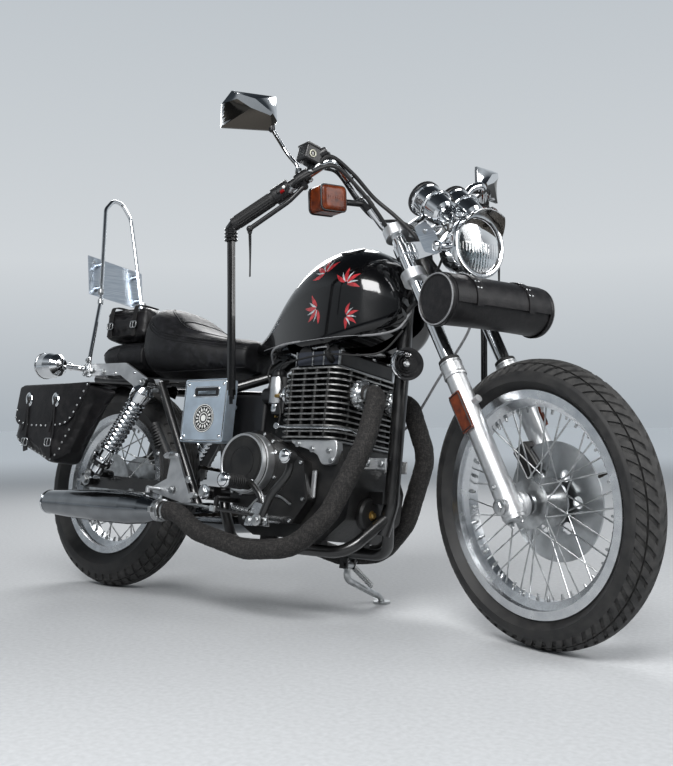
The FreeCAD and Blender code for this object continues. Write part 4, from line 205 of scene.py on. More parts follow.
SURFACES = {
    # Chromium plate on polished steel: a mirror, a little hazed by handling and fine pits.
    "chrome": dict(name="chrome plate", base="#E4E6E8", metallic=1.0, roughness=0.08,
                   rough=((60, 4), 0.04, 0.16), bumps=(((25, 2), 0.15, 0.25),)),
    # Chrome plate made dark on the downward faces under the lamp's visor and the mirrors' lower facets: a painted
    # dark reflection of the shaded ground below.
    "chrome_painted_dark_below": dict(name="smoked chrome plate", base="#4C4843", metallic=1.0, roughness=0.1,
                        rough=((50, 3), 0.06, 0.16)),
    # Chrome plate on the silencers, darkened all over as a painted reflection of the dark road, still a mirror;
    # its tone varies a little at random.
    "chrome_dimmed_as_reflection": dict(name="road-worn chrome plate", base="#85888B", metallic=1.0, roughness=0.12,
                        tint=((55, 5), "#7C7F82", "#8C8F92"), rough=((55, 5), 0.09, 0.14)),
    # Aluminium rims and covers buffed bright: softer than chrome, with a fine buffing haze.
    "polished": dict(name="polished aluminium", base="#D6D8DB", metallic=1.0, roughness=0.24,
                     tint=((30, 5), "#C6C9CC", "#E2E4E6"), rough=((30, 5), 0.16, 0.34)),
    # Sand-cast aluminium under clear lacquer: a fine pebbled skin that scatters light.
    "cast": dict(name="cast aluminium", base="#CDCFD1", metallic=1.0, roughness=0.42,
                 tint=((40, 5), "#BBBDBF", "#DADBDC"), rough=((5, 4), 0.34, 0.52), bumps=(((5, 4), 0.5, 0.35),)),
    # Rolled aluminium sheet brushed along its length: streaks drawn coarser than real, to show.
    "sheet": dict(name="brushed aluminium sheet", base="#C3CBD4", metallic=1.0, roughness=0.3,
                  tint=((90, 3, (1, 1, 30)), "#AEB8C4", "#D5DBE1"), rough=((90, 3, (1, 1, 30)), 0.22, 0.42)),
    # Bare aluminium sheet over the side covers, rubbed in fine circles; its blue tint is a painted reflection of
    # the sky.
    "cover_sheet": dict(name="rubbed aluminium sheet", base="cover_sheet", metallic=0.8, roughness=0.4,
                        tint=((45, 4), 0.86, 1.12), rough=((20, 3), 0.34, 0.48)),
    # Glossy black vinyl of the straps that hang from the grips.
    "vinyl": dict(name="glossy black vinyl", base="#0B0B0C", roughness=0.2,
                  rough=((18, 3), 0.15, 0.3), coat_weight=0.5),
    # Black stove enamel under clear coat: deep gloss with a faint orange-peel wave.
    "tank": dict(name="black stove enamel", base="#060607", roughness=0.16,
                 rough=((50, 4), 0.1, 0.24), bumps=(((18, 1), 0.05, 0.3),),
                 coat_weight=0.75, coat_roughness=0.03, specular_ior_level=0.2),
    # Black enamel brushed and baked on tube: glossy, slightly dulled by road dust.
    "frame": dict(name="black frame enamel", base="#0D0D0F", roughness=0.28,
                  tint=((45, 5), "#0A0A0B", "#1B1A19", (0.4, 0.8)), rough=((45, 5), 0.2, 0.45),
                  coat_weight=0.5, coat_roughness=0.1),
    # Heat-cured satin black on cast metal: the casting's skin shows through, and it is greyer in random patches.
    "engine": dict(name="satin heat-cured enamel", base="#131314", metallic=0.1, roughness=0.4,
                   tint=((35, 5), "#0D0D0E", "#232221", (0.35, 0.75)), rough=((6, 4), 0.3, 0.52),
                   bumps=(((6, 4), 0.4, 0.35),)),
    # The barrel's cast fins: sooted satin metal between machined bright edges.
    "fins": dict(name="sooted cast fins", base="#3A3A3B", metallic=0.7, roughness=0.45,
                 tint=((14, 4), "#232324", "#4F4E4D"), bumps=(((4, 3), 0.4, 0.4),)),
    # Machined fin edges: a bright band turned on the casting.
    "fin_edges": dict(name="machined fin edges", base="#9C9D9C", metallic=1.0, roughness=0.38,
                      tint=((12, 4), "#7C7C7B", "#B9B9B7"), rough=((12, 3), 0.3, 0.5)),
    # Zinc-plated steel fasteners and spokes: bright grey with a milky bloom.
    "zinc": dict(name="zinc-plated steel", base="#B5B7B8", metallic=1.0, roughness=0.3,
                 tint=((20, 4), "#9B9D9E", "#C8CACB")),
    # Oiled chain and lever steel: dark, with a wet sheen and brown grime in places.
    "oiled": dict(name="oiled steel", base="#3B3835", metallic=0.9, roughness=0.38,
                  tint=((16, 4), "#211D19", "#5A5651"), rough=((16, 4), 0.26, 0.6)),
    # Ground stainless brake disc, dulled a little and scored by the pads.
    "disc": dict(name="ground stainless steel", base="#B0B3B5", metallic=1.0, roughness=0.3,
                 tint=((30, 2), "#A6A9AB", "#B9BCBE"), rough=((14, 3), 0.26, 0.36)),
    # Glass-fibre exhaust tape, smoked dark: a fine weave whose raised threads catch small grey specks.
    "wrap": dict(name="smoked fibre tape", base="#171615", roughness=0.85,
                 tint=(weave, "#100F0F", "#3A3735", (0.16, 0.55)), bumps=((weave, 1.6, 0.8),)),
    # Carbon-black tyre rubber, lightly dusted: dark, dull, paler where it rolls.
    "tyre": dict(name="dusty tyre rubber", base="#1B1B1C", roughness=0.62,
                 tint=((28, 5), "#131314", "#2E2D2C", (0.35, 0.8)), rough=((28, 5), 0.5, 0.75),
                 bumps=(((3, 3), 0.3, 0.3),)),
    # The rolled face of the tread: scuffed grey rubber between its grooves.
    "tread": dict(name="scuffed tread rubber", base="#2B2A2A", roughness=0.78,
                  tint=((16, 5), "#1F1F1F", "#3B3A39"), bumps=(((3, 3), 0.3, 0.3),)),
    # Smooth hide on the seats, waxed hide on the bags, plaited hide in the laces.
    "seat": hide("smooth seat hide", "#0C0C0E", "#202024", 0.5),
    "bag": hide("waxed bag hide", "#0D0C0E", "#252324", 0.4),
    "lace": hide("braided lace hide", "#100F0F", "#2A2726", 0.5),
    # Grey coated cord sewn in as piping: dull and smooth.
    "piping": dict(name="grey piping cord", base="#77787A", roughness=0.5,
                   tint=((8, 3), "#6A6B6D", "#858688")),
    # Moulded grip rubber: dull black with a faint bloom.
    "grip": dict(name="moulded grip rubber", base="#111112", roughness=0.58,
                 rough=((9, 3), 0.48, 0.7)),
    # Injection-moulded black nylon: an even satin with fine spark-eroded grain.
    "plastic": dict(name="moulded black nylon", base="#101012", roughness=0.4,
                    rough=((3, 2), 0.34, 0.5), bumps=(((3, 2), 0.2, 0.3),)),
    # Moulded amber acrylic, darkened by years of sun: deep brown-orange over its black inside.
    "amber": dict(name="moulded amber acrylic", base="#5A220E", roughness=0.3,
                  tint=((18, 3), "#3E170A", "#70300F"),
                  transmission_weight=0.1, specular_ior_level=0.3, ior=1.49),
    # Moulded red acrylic over a ribbed diffuser.
    "red": dict(name="moulded red acrylic", base="#8E1010", roughness=0.12,
                tint=((20, 3), "#6E0A0C", "#A81818"), bumps=((ribs, 0.6, 0.35),),
                transmission_weight=0.2, coat_weight=0.6, ior=1.49),
    # Dark blue-black enamel baked on the cam cover's flat panels.
    "panel": dict(name="blue-black panel enamel", base="#20232B", roughness=0.38,
                  tint=((30, 4), "#1B1E25", "#2A2E38"), coat_weight=0.3),
    # Turned brass jets and plugs, browned by heat.
    "brass": dict(name="heat-browned brass", base="#A98A4E", metallic=1.0, roughness=0.32,
                  tint=((10, 3), "#8A6C38", "#BFA266")),
    # Sign-writer's red enamel under the tank's clear coat, thinner and darker in small random patches.
    "red_paint": dict(name="red art enamel", base="leaf_red", roughness=0.24,
                      tint=((9, 3), 0.42, 1.15), coat_weight=1.0, coat_roughness=0.04),
    # Pale grey enamel beside the red, under the same clear coat.
    "grey_paint": dict(name="pale grey art enamel", base="leaf_grey", roughness=0.26,
                       tint=((8, 3), 0.45, 1.3), coat_weight=1.0, coat_roughness=0.04),
    # Matt black screen-printed dial plate, with white ticks that the switches share.
    "dial": dict(name="matt dial plate", base="#0F1012", roughness=0.7,
                 tint=((12, 2), "#0D0E10", "#141517")),
    "dial_mark": dict(name="white printed mark", base="#D8D9D6", roughness=0.6),
    # Fluorescent orange needle paint.
    "needle": dict(name="orange needle paint", base="#D2461C", roughness=0.5),
    # Small moulded green telltale.
    "green_lens": dict(name="moulded green acrylic", base="#1C5A34", roughness=0.15,
                       transmission_weight=0.2),
    # Pale nylon ring round the fluid window, and the clear window with dark fluid behind it.
    "pale_ring": dict(name="pale nylon", base="#B9B8A8", roughness=0.45),
    "dark_glass": dict(name="window over dark fluid", base="#1A1712", roughness=0.05,
                       coat_weight=1.0),
    # Pressed soda glass: clear, with moulded flutes that bend what lies behind.
    "glass": dict(name="pressed lamp glass", base="#DDE4E6", roughness=0.06,
                  rough=((30, 3), 0.03, 0.12), transmission_weight=1.0, ior=1.5),
    # Vapour-plated steel dish behind the lamp's glass, its silver dulled to grey.
    "dish": dict(name="dulled reflector plate", base="#6A7074", metallic=1.0, roughness=0.36,
                 rough=((25, 3), 0.3, 0.42)),
    # Silvered glass behind a thin clear face.
    "mirror": dict(name="silvered glass", base="#F4F6F7", metallic=1.0, roughness=0.01,
                   rough=((50, 3), 0.0, 0.03)),
}
FINISHES = {}


def finish(key):
    """The material of a finish, made the first time it is asked for."""
    if key not in FINISHES:
        FINISHES[key] = surface(**SURFACES[key])[0]
    return FINISHES[key]


# The finish of each node that stays as it was built

NODE_FINISHES = {
    "amber": "front_signals reflectors",
    # the silencers' chrome is darkened as a painted reflection of the dark road
    "chrome_dimmed_as_reflection": "mufflers",
    "bag": "saddlebag_right saddlebag_left roll_bag",
    "cast": "fender_struts passenger_pegs fork_yokes fork_sliders",
    "chrome": "sissy_bar rear_signals shocks fork_tubes handlebar mirrors gauges headlight_shell",
    "cover_sheet": "side_covers",
    "disc": "brake_disc",
    "engine": "crankcase valve_cover engine_covers brake_caliper",
    "fins": "cylinders",
    "frame": "main_frame seat_subframe stand_bracket rider_pegs foot_controls swingarm",
    "glass": "headlight_lens",
    "grip": "grips",
    "lace": "tassels",
    "oiled": "drive_chain",
    "plastic": "intake horn hand_controls",
    "polished": "front_rim rear_rim",
    "red": "tail_lamp",
    "seat": "seat pillion_pack",
    "sheet": "number_plate",
    "tank": "fuel_tank rear_fender",
    "tyre": "front_tyre rear_tyre",
    "wrap": "exhaust_headers",
    "zinc": "front_axle front_hub_spokes rear_hub_spokes rear_sprocket side_stand",
}


class CRUISER_OT_finishes(bpy.types.Operator):
    """Gives each node the finish of the real piece"""
    bl_idname = "cruiser.finishes"
    bl_label = "Node finishes"

    def execute(self, context):
        for key, nodes in NODE_FINISHES.items():
            for node in nodes.split():
                mesh = frame["nodes"][node].data
                mesh.materials.clear()
                mesh.materials.append(finish(key))
        return {"FINISHED"}


# User sizes and colours

class CruiserSizes(bpy.types.PropertyGroup):
    """Sizes that a user may want to change before the operators run"""
    leaf_length: bpy.props.FloatProperty(
        name="Leaf length", description="Length of the longest painted leaf on the tank",
        default=0.046, min=0.01, max=0.08, unit="LENGTH")
    hose_radius: bpy.props.FloatProperty(
        name="Hose radius", description="Radius of the front brake hose and the thick cables beside it",
        default=0.0052, min=0.002, max=0.01, unit="LENGTH")
    bolt_radius: bpy.props.FloatProperty(
        name="Body bolt radius", description="Radius across the corners of the bolts on the struts and hangers",
        default=0.0075, min=0.003, max=0.012, unit="LENGTH")
    key_power: bpy.props.FloatProperty(
        name="Key light", description="Power of the large soft light over the camera's shoulder",
        default=230.0, min=0.0, max=2000.0, unit="POWER")


class CruiserColours(bpy.types.PropertyGroup):
    """Colours that a user may want to change before the operators run"""
    leaf_red: bpy.props.FloatVectorProperty(
        name="Leaf red", description="Red of the painted leaves on the tank",
        default=linear("#A6242A"), min=0.0, max=1.0, size=4, subtype="COLOR")
    leaf_grey: bpy.props.FloatVectorProperty(
        name="Leaf grey", description="Grey of the thin leaves between the red ones",
        default=linear("#A0A5A8"), min=0.0, max=1.0, size=4, subtype="COLOR")
    # the blue of this tint is a painted reflection of the sky
    cover_sheet: bpy.props.FloatVectorProperty(
        name="Cover sheet", description="Tint of the bare sheet over the side covers",
        default=linear("#C4D2DF"), min=0.0, max=1.0, size=4, subtype="COLOR")
    floor: bpy.props.FloatVectorProperty(
        name="Floor", description="Colour of the studio floor",
        default=linear("#B9BBBD"), min=0.0, max=1.0, size=4, subtype="COLOR")


def sizes():
    return bpy.context.scene.cruiser_sizes


def colours():
    return bpy.context.scene.cruiser_colours

# Shaping

UP = Vector((0, 0, 1))
SIDE = Vector((0, 1, 0))
AHEAD = Vector((1, 0, 0))


def facing(direction, near=UP):
    """A turn whose z points along direction and whose x lies as close as it can to near."""
    z = Vector(direction).normalized()
    x = Vector(near) - z * z.dot(Vector(near))
    x = x.normalized() if x.length > 1e-3 else z.orthogonal().normalized()
    return Matrix((x, z.cross(x), z)).transposed().to_4x4()


def at(point, direction=UP, near=AHEAD):
    return Matrix.Translation(Vector(point)) @ facing(direction, near)


def circle(radius, count, start=0.0):
    """Evenly spaced points round z."""
    turns = [start + 2 * math.pi * i / count for i in range(count)]
    return [Vector((radius * math.cos(a), radius * math.sin(a), 0)) for a in turns]


def smooth_between(values, per):
    """Numbers or vectors on a smooth curve through the values, per steps to a span."""
    spots = [values[0] * 2 - values[1]] + list(values) + [values[-1] * 2 - values[-2]]
    made = []
    for a, b, c, d in zip(spots, spots[1:], spots[2:], spots[3:]):
        for j in range(per):
            t = j / per
            made.append(0.5 * (2 * b + (c - a) * t + (2 * a - 5 * b + 4 * c - d) * t * t
                               + (3 * b - a - 3 * c + d) * t ** 3))
    return made + [values[-1]]


def curve_through(points, per=8):
    return smooth_between([Vector(p) for p in points], per)


def squircle(half_wide, half_high, count, power=3.0):
    """A rounded rectangle about z, of a superellipse."""
    made = []
    for i in range(count):
        a = 2 * math.pi * i / count
        c, v = math.cos(a), math.sin(a)
        made.append(Vector((half_wide * math.copysign(abs(c) ** (2 / power), c),
                            half_high * math.copysign(abs(v) ** (2 / power), v), 0)))
    return made


def flat(outline, y=0.0):
    """Points of an (x, z) outline at one y."""
    return [Vector((x, y, z)) for x, z in outline]


class Form:
    """Points and faces in the millimetres of one place, with a finish number for each face."""

    def __init__(self):
        self.points = []
        self.faces = []
        self.slots = []

    def add(self, points, faces, place=None, slot=0):
        start = len(self.points)
        self.points += [place @ Vector(p) for p in points] if place else [Vector(p) for p in points]
        self.faces += [tuple(start + i for i in face) for face in faces]
        self.slots += [slot] * len(faces)
        return self

    def rings(self, rings, place=None, slot=0, closed=True, ends=True, loop=False):
        """Skins equal rings of points; ends caps the first and last, loop joins them."""
        count = len(rings[0])
        faces = []
        for i in range(len(rings) if loop else len(rings) - 1):
            a, b = i * count, (i + 1) % len(rings) * count
            for j in range(count if closed else count - 1):
                k = (j + 1) % count
                faces.append((a + j, a + k, b + k, b + j))
        if ends and not loop:
            faces.append(tuple(reversed(range(count))))
            faces.append(tuple(range((len(rings) - 1) * count, len(rings) * count)))
        return self.add([p for ring in rings for p in ring], faces, place, slot)

    def lathe(self, profile, place=None, count=32, slot=0, ends=True):
        """Turns (radius, height) pairs, from low to high outside, about z."""
        rings = [[Vector((r * math.cos(2 * math.pi * j / count), r * math.sin(2 * math.pi * j / count), z))
                  for j in range(count)] for r, z in profile]
        return self.rings(rings, place, slot, ends=ends)

    def sweep(self, path, section, place=None, slot=0, loop=False, near=UP):
        """Carries a section of (across, up) points, or a radius, along a path without twist."""
        path = [Vector(p) for p in path]
        if not isinstance(section, (list, tuple)) and not callable(section):
            section = circle(section, 10)
        up = Vector(near)
        rings = []
        for i, spot in enumerate(path):
            before = path[i - 1] if i or loop else spot
            after = path[(i + 1) % len(path)] if i + 1 < len(path) or loop else spot
            turn = facing(after - before, up)
            up = turn.col[0].xyz
            here = section(i / (len(path) - 1)) if callable(section) else section
            rings.append([spot + turn @ Vector(p) for p in here])
        return self.rings(rings, place, slot, loop=loop)

    def block(self, low, high, edge=1.0, place=None, slot=0):
        """A box whose edges are all bevelled."""
        low, high = Vector(low), Vector(high)
        middle = (low + high) / 2
        half = (high - low) / 2
        rings = []
        for z, inset in ((-half.z, edge), (-half.z + edge, 0), (half.z - edge, 0), (half.z, edge)):
            x, y = half.x - inset, half.y - inset
            ring = [(x, -y + edge), (x, y - edge), (x - edge, y), (-x + edge, y),
                    (-x, y - edge), (-x, -y + edge), (-x + edge, -y), (x - edge, -y)]
            rings.append([middle + Vector((a, b, z)) for a, b in ring])
        return self.rings(rings, place, slot)

    def hexagon(self, place, radius=6.0, height=5.0, slot=0, washer=True):
        """A hexagon bolt head on its washer, standing on the place's origin."""
        base = 0.0
        if washer:
            self.lathe([(radius * 1.35, 0), (radius * 1.4, 0.4), (radius * 1.4, 1.2), (radius * 1.3, 1.5)],
                       place, 20, slot)
            base = 1.5
        tip = base + height
        return self.lathe([(radius, base), (radius, base + height * 0.8), (radius * 0.86, tip), (0.01, tip)],
                          place, 6, slot)

    def dome(self, place, radius=5.0, height=4.0, slot=0, count=14):
        """A rounded head, a stud or a cap nut."""
        profile = [(radius, 0), (radius, height * 0.25)]
        profile += [(radius * math.cos(a), height * (0.25 + 0.75 * math.sin(a))) for a in (0.5, 1.0, 1.35)]
        return self.lathe(profile + [(0.01, height)], place, count, slot)

    def socket(self, place, radius=5.0, height=5.0, slot=0):
        """A socket-head screw: a short cylinder with a sunk hexagon."""
        profile = [(radius, 0), (radius, height - 0.8), (radius - 0.8, height), (radius * 0.55, height),
                   (radius * 0.5, height - 2.5), (0.01, height - 2.5)]
        return self.lathe(profile, place, 18, slot)

    def make(self, name, body, finishes, place=None, angle=35, leather=False):
        """The object: its points go through place to the row's metres, and it rides on the body that is named."""
        place = place or BIKE
        mesh = bpy.data.meshes.new(name)
        mesh.from_pydata([place @ p for p in self.points], [], self.faces)
        for key in [finishes] if isinstance(finishes, str) else finishes:
            mesh.materials.append(finish(key))
        mesh.polygons.foreach_set("material_index", self.slots)
        mesh.validate()
        mesh.shade_smooth()
        mesh.set_sharp_from_angle(angle=math.radians(angle))
        made = bpy.data.objects.new(name, mesh)
        link(made)
        if body:
            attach(made, body)
        return made


def link(made):
    bpy.context.scene.collection.objects.link(made)


TRAIL = (FRONT_RADIUS * math.sin(RAKE) - FORK_OFFSET) / math.cos(RAKE)
STEER_FOOT = Vector((WHEELBASE + TRAIL, 0, 0))
STEER_LINE = Vector((-math.sin(RAKE), 0, math.cos(RAKE)))
STEER_AHEAD = Vector((math.cos(RAKE), 0, math.sin(RAKE)))


def on_axis(along, ahead=0.0, side=0.0):
    """A point in the upright fork: along the steering axis from the floor, ahead of it and to one side."""
    return STEER_FOOT + STEER_LINE * along + STEER_AHEAD * ahead + SIDE * side


def surface_of(made):
    """The surface of a node or a finished piece, for laying trim on it."""
    return BVHTree.FromPolygons([v.co for v in made.data.vertices], [p.vertices for p in made.data.polygons])

# Tyres, spoke nipples and hub fittings

TYRES = {
    # radius, half width, rim radius, bead half width, pitches round the tread, groove slant in pitches
    "front": {"radius": FRONT_RADIUS, "half": 51, "rim": 256, "bead": 29.6, "pitches": 64, "slant": 1.6},
    "rear": {"radius": REAR_RADIUS, "half": 64, "rim": 220, "bead": 42.6, "pitches": 52, "slant": 0.9},
}
GROOVE_DEPTH = 4.5
GROOVE_STEPS = 5
# degrees across the crown where the scuffed face ends, and how far the bead is sunk in the rim
CROWN_EDGE = 63
BEAD_TOP, BEAD_SUNK = 3, 12
# across the crown in degrees: where slanted grooves run, and the ring grooves between them
GROOVE_BANDS = {"front": ((9, 34), (40, 62)), "rear": ((14, 33), (40, 60))}
RING_GROOVES = {"front": (36.5, 38.0), "rear": (0, 10.5, 36.5)}
# shares of a pitch where the tread has a column of points, and whether the column is in the groove
GROOVE_COLUMNS = ((0.00, False), (0.56, False), (0.63, True), (0.93, True))
SPOKES, DISC_BOLTS = 36, 6


def tread_rows(kind):
    """Angles across the crown, each with whether its slanted grooves and its ring groove are cut there."""
    rows = {}
    for low, high in GROOVE_BANDS[kind]:
        for side in (-1, 1):
            rows[side * (low - 0.8)] = (False, False)
            rows[side * (high + 0.8)] = (False, False)
            for i in range(GROOVE_STEPS + 1):
                rows[side * (low + (high - low) * i / GROOVE_STEPS)] = (True, False)
    for ring in RING_GROOVES[kind]:
        for side in ((-1, 1) if ring else (1,)):
            for offset, deep in ((-1.5, False), (-0.9, True), (0.9, True), (1.5, False)):
                rows[side * ring + offset] = (False, deep)
    for a in (66, 70, 74, 78, 82, 86, 90):
        rows[a] = (False, False)
        rows[-a] = (False, False)
    return sorted(rows.items())


def tyre_form(kind):
    size = TYRES[kind]
    belt = size["radius"] - size["half"]
    pitch = 2 * math.pi / size["pitches"]
    rings = []

    def ring_at(radius, across, shift=0.0, cut=None, depth=(1, 0)):
        made = []
        for k in range(size["pitches"]):
            for share, sunk in GROOVE_COLUMNS:
                a = (k + share + shift) * pitch
                r, y = radius, across
                if cut and sunk:
                    r -= GROOVE_DEPTH * depth[0]
                    y -= GROOVE_DEPTH * depth[1]
                made.append(Vector((r * math.cos(a), y, r * math.sin(a))))
        return made

    rows = tread_rows(kind)
    sunk, top = size["rim"] - BEAD_SUNK, size["rim"] + BEAD_TOP
    rings += [ring_at(sunk, -size["bead"]), ring_at(top, -size["bead"])]
    for degrees, (cut, deep) in rows:
        a = math.radians(degrees)
        out = (math.cos(a), math.sin(a))
        proud = 1.0 if 68 < abs(degrees) < 76 else 0.0
        reach = size["half"] + proud - (GROOVE_DEPTH if deep else 0)
        lean = size["slant"] * min(abs(degrees), 62) / 62
        phase = 0.5 * min(1.0, max(0.0, (degrees + 8) / 16))
        rings.append(ring_at(belt + reach * out[0], reach * out[1], lean + phase, cut, out))
    lean = size["slant"] + 0.5
    rings += [ring_at(top, size["bead"], lean), ring_at(sunk, size["bead"], lean)]
    form = Form()
    form.rings(rings, ends=False)
    form.slots = []
    for i in range(len(rings) - 1):
        crown = 2 <= i < len(rings) - 3 and abs(rows[i - 2][0]) < CROWN_EDGE
        form.slots += [1 if crown else 0] * len(rings[0])
    form.faces = [tuple(reversed(face)) for face in form.faces]
    return form


def wheel_fittings(kind, rim, body, place):
    """Spoke nipples in the rim, and a valve."""
    form = Form()
    for i in range(SPOKES):
        a = 2 * math.pi * (i + 0.5) / SPOKES
        side = -1 if i % 2 else 1
        out = Vector((math.cos(a), 0, math.sin(a)))
        spot = out * (rim - 51) + SIDE * side * 4
        turn = at(spot, out + SIDE * side * -0.12, SIDE)
        form.lathe([(2.4, 0), (3.2, 1), (3.4, 8), (4.6, 9), (4.6, 13)], turn, 10)
    valve = Vector((math.cos(0.35), 0, math.sin(0.35)))
    base = at(valve * (rim - 39), -valve, SIDE)
    form.lathe([(5, 0), (5, 3), (3, 4), (3, 22), (3.8, 23), (3.8, 32), (2.8, 34)], base, 12, 1)
    form.make(kind + "_spoke_nipples", body, ("zinc", "oiled"), place)


class CRUISER_OT_wheels(bpy.types.Operator):
    """Moulds the treaded tyres and adds spoke nipples, valves and disc bolts"""
    bl_idname = "cruiser.wheels"
    bl_label = "Tyres and wheel fittings"

    def execute(self, context):
        for kind, place in (("front", FRONT_WHEEL), ("rear", REAR_WHEEL)):
            body = kind + "_wheel"
            made = tyre_form(kind).make(kind + "_treaded_tyre", body, ("tyre", "tread"), place, 28)
            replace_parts(made, kind + "_tyre")
            wheel_fittings(kind, TYRES[kind]["rim"], body, place)
        disc = Form()
        for i in range(DISC_BOLTS):
            a = 2 * math.pi * (i + 0.5) / DISC_BOLTS
            out = Vector((math.cos(a), 0, math.sin(a)))
            disc.hexagon(at(out * 72 + SIDE * 58, SIDE, out), 6.5, 6)
        disc.make("disc_bolts", "front_wheel", "zinc", FRONT_WHEEL)
        return {"FINISHED"}


# Soft goods

CLOTH_FRAMES = 20
VOXEL = 5.0
CLOTH = {
    "quality": 5, "mass": 0.4, "tension_stiffness": 20, "compression_stiffness": 20, "bending_stiffness": 2,
    "use_pressure": True, "uniform_pressure_force": 4.0,
}
SOFT_PIECES = []


CAST_FROM = 600  # mm


def drape(tree, points, direction, lift=0.4):
    """Millimetre points cast along a direction on to a surface, lifted off it by a little."""
    way = (BIKE.to_3x3() @ Vector(direction)).normalized()
    made = []
    for p in points:
        start = BIKE @ Vector(p) - way * CAST_FROM * MM
        hit, normal, _, _ = tree.ray_cast(start, way)
        if hit is not None:
            if normal.dot(way) > 0:
                normal = -normal
            made.append(BIKE.inverted() @ (hit + normal * lift * MM))
    return made


def swell(form, name, body, key, inset, cap, place=None):
    """Starts a padded piece: a slightly smaller shape, remeshed for the cloth that will puff it up to the cap."""
    made = form.make(name, body, key, place)
    mesh = made.data
    normals = [v.normal.copy() for v in mesh.vertices]
    for v, n in zip(mesh.vertices, normals):
        v.co -= n * inset * MM
    remesh = made.modifiers.new("remesh", "REMESH")
    remesh.mode = "VOXEL"
    remesh.voxel_size = VOXEL * MM
    remesh.use_smooth_shade = True
    smooth = made.modifiers.new("smooth", "SMOOTH")
    smooth.factor = 0.5
    smooth.iterations = 6
    settle(made)
    SOFT_PIECES.append((made, cap))
    return made


def settle(made):
    """Applies a piece's modifiers by taking its evaluated mesh."""
    graph = bpy.context.evaluated_depsgraph_get()
    mesh = bpy.data.meshes.new_from_object(made.evaluated_get(graph))
    old = made.data
    made.modifiers.clear()
    made.data = mesh
    for material in old.materials:
        if material.name not in [m.name for m in mesh.materials if m]:
            mesh.materials.append(material)
    mesh.shade_smooth()


def puff():
    """Runs the cloth of every padded piece together, caps how far its points move and keeps the result."""
    rests = []
    for made, _ in SOFT_PIECES:
        rests.append([v.co.copy() for v in made.data.vertices])
        cloth = made.modifiers.new("cloth", "CLOTH")
        for key, value in CLOTH.items():
            setattr(cloth.settings, key, value)
        cloth.settings.effector_weights.gravity = 0
        cloth.point_cache.frame_start = 1
        cloth.point_cache.frame_end = CLOTH_FRAMES
    scene = bpy.context.scene
    for step in range(1, CLOTH_FRAMES + 1):
        scene.frame_set(step)
    graph = bpy.context.evaluated_depsgraph_get()
    moved = [[v.co.copy() for v in made.evaluated_get(graph).data.vertices] for made, _ in SOFT_PIECES]
    scene.frame_set(1)
    for (made, cap), before, after in zip(SOFT_PIECES, rests, moved):
        made.modifiers.clear()
        for v, a, b in zip(made.data.vertices, before, after):
            shift = b - a
            if shift.length > cap * MM:
                shift *= cap * MM / shift.length
            v.co = a + shift
    for made, _ in SOFT_PIECES:
        made.modifiers.new("finer", "SUBSURF").levels = 1
        settle(made)


def slab(outline, thickness, edge=6.0):
    """Rings of a flat padded shape: an outline in (x, z), swept across y with rounded edges."""
    outline = flat(outline)
    middle = sum(outline, Vector()) / len(outline)
    rings = []
    for a in (0, math.pi / 6, math.pi / 3, math.pi / 2):
        rings.append((edge * (1 - math.cos(a)) - thickness / 2, edge * (1 - math.sin(a))))
    made = []
    for y, inset in rings + [(-y, inset) for y, inset in reversed(rings)]:
        made.append([p - (p - middle).normalized() * inset + SIDE * y for p in outline])
    return made


def rounded(corners, radius, per=5):
    """An outline whose corners are arcs; corners are (x, z) and radius one number or one each."""
    made = []
    count = len(corners)
    for i in range(count):
        p = Vector(corners[i])
        a, b = Vector(corners[i - 1]) - p, Vector(corners[(i + 1) % count]) - p
        r = radius[i] if isinstance(radius, (list, tuple)) else radius
        cut = min(r, a.length * 0.45, b.length * 0.45)
        start, end = p + a.normalized() * cut, p + b.normalized() * cut
        for j in range(per + 1):
            t = j / per
            made.append(tuple((1 - t) ** 2 * start + 2 * t * (1 - t) * p + t * t * end))
    return made


def strap_form(form, path, width, thickness, across):
    """A flat strap along a path; across is the way its width lies."""
    section = [Vector((width / 2 - 0.5, -thickness / 2, 0)), Vector((width / 2, 0, 0)),
               Vector((width / 2 - 0.5, thickness / 2, 0)), Vector((-width / 2 + 0.5, thickness / 2, 0)),
               Vector((-width / 2, 0, 0)), Vector((-width / 2 + 0.5, -thickness / 2, 0))]
    form.sweep(path, section, near=across)


def buckle(form, place, width=30.0, height=24.0, slot=0):
    """A wire buckle frame with its tongue; the place's z stands off the strap, its x runs across it."""
    frame_path = [Vector((x, y, 2)) for x, y in rounded([(-width / 2, -height / 2), (width / 2, -height / 2),
                                                         (width / 2, height / 2), (-width / 2, height / 2)], 5)]
    form.sweep(frame_path, 1.6, place, slot, loop=True)
    form.sweep([(0, height / 2, 2), (0, 0, 4), (0, -height / 2 - 2, 3)], 1.3, place, slot)


def swept_stations(stations, rear, length, base, height, half):
    """Rings of a loft along x from shares of its length, height and half width."""
    rings = []
    for along, low, high, wide in stations:
        middle = base + height * (low + high) / 2
        ring = squircle(half * wide, height * (high - low) / 2, 28, 2.6)
        rings.append([Vector((rear + length * along, p.x, middle + p.y)) for p in ring])
    return rings


def between(stations):
    """Smooth in-between stations."""
    return list(zip(*[smooth_between([s[i] for s in stations], 4) for i in range(4)]))


# The saddle: shares of its length, low, high and half width, from the rear
SEAT_STATIONS = (
    (0.00, 0.10, 0.86, 0.62),
    (0.07, 0.05, 0.98, 0.82),
    (0.16, 0.03, 1.00, 0.92),
    (0.29, 0.00, 0.91, 0.98),
    (0.42, 0.00, 0.74, 1.00),
    (0.57, 0.01, 0.60, 0.95),
    (0.76, 0.02, 0.51, 0.79),
    (0.97, 0.05, 0.49, 0.56),
    (1.00, 0.12, 0.43, 0.48),
)
PILLION_STATIONS = (
    (0.00, 0.40, 0.74, 0.60),
    (0.08, 0.24, 0.86, 0.76),
    (0.26, 0.12, 0.97, 0.93),
    (0.66, 0.05, 0.98, 1.00),
    (1.00, 0.05, 0.96, 1.00),
)


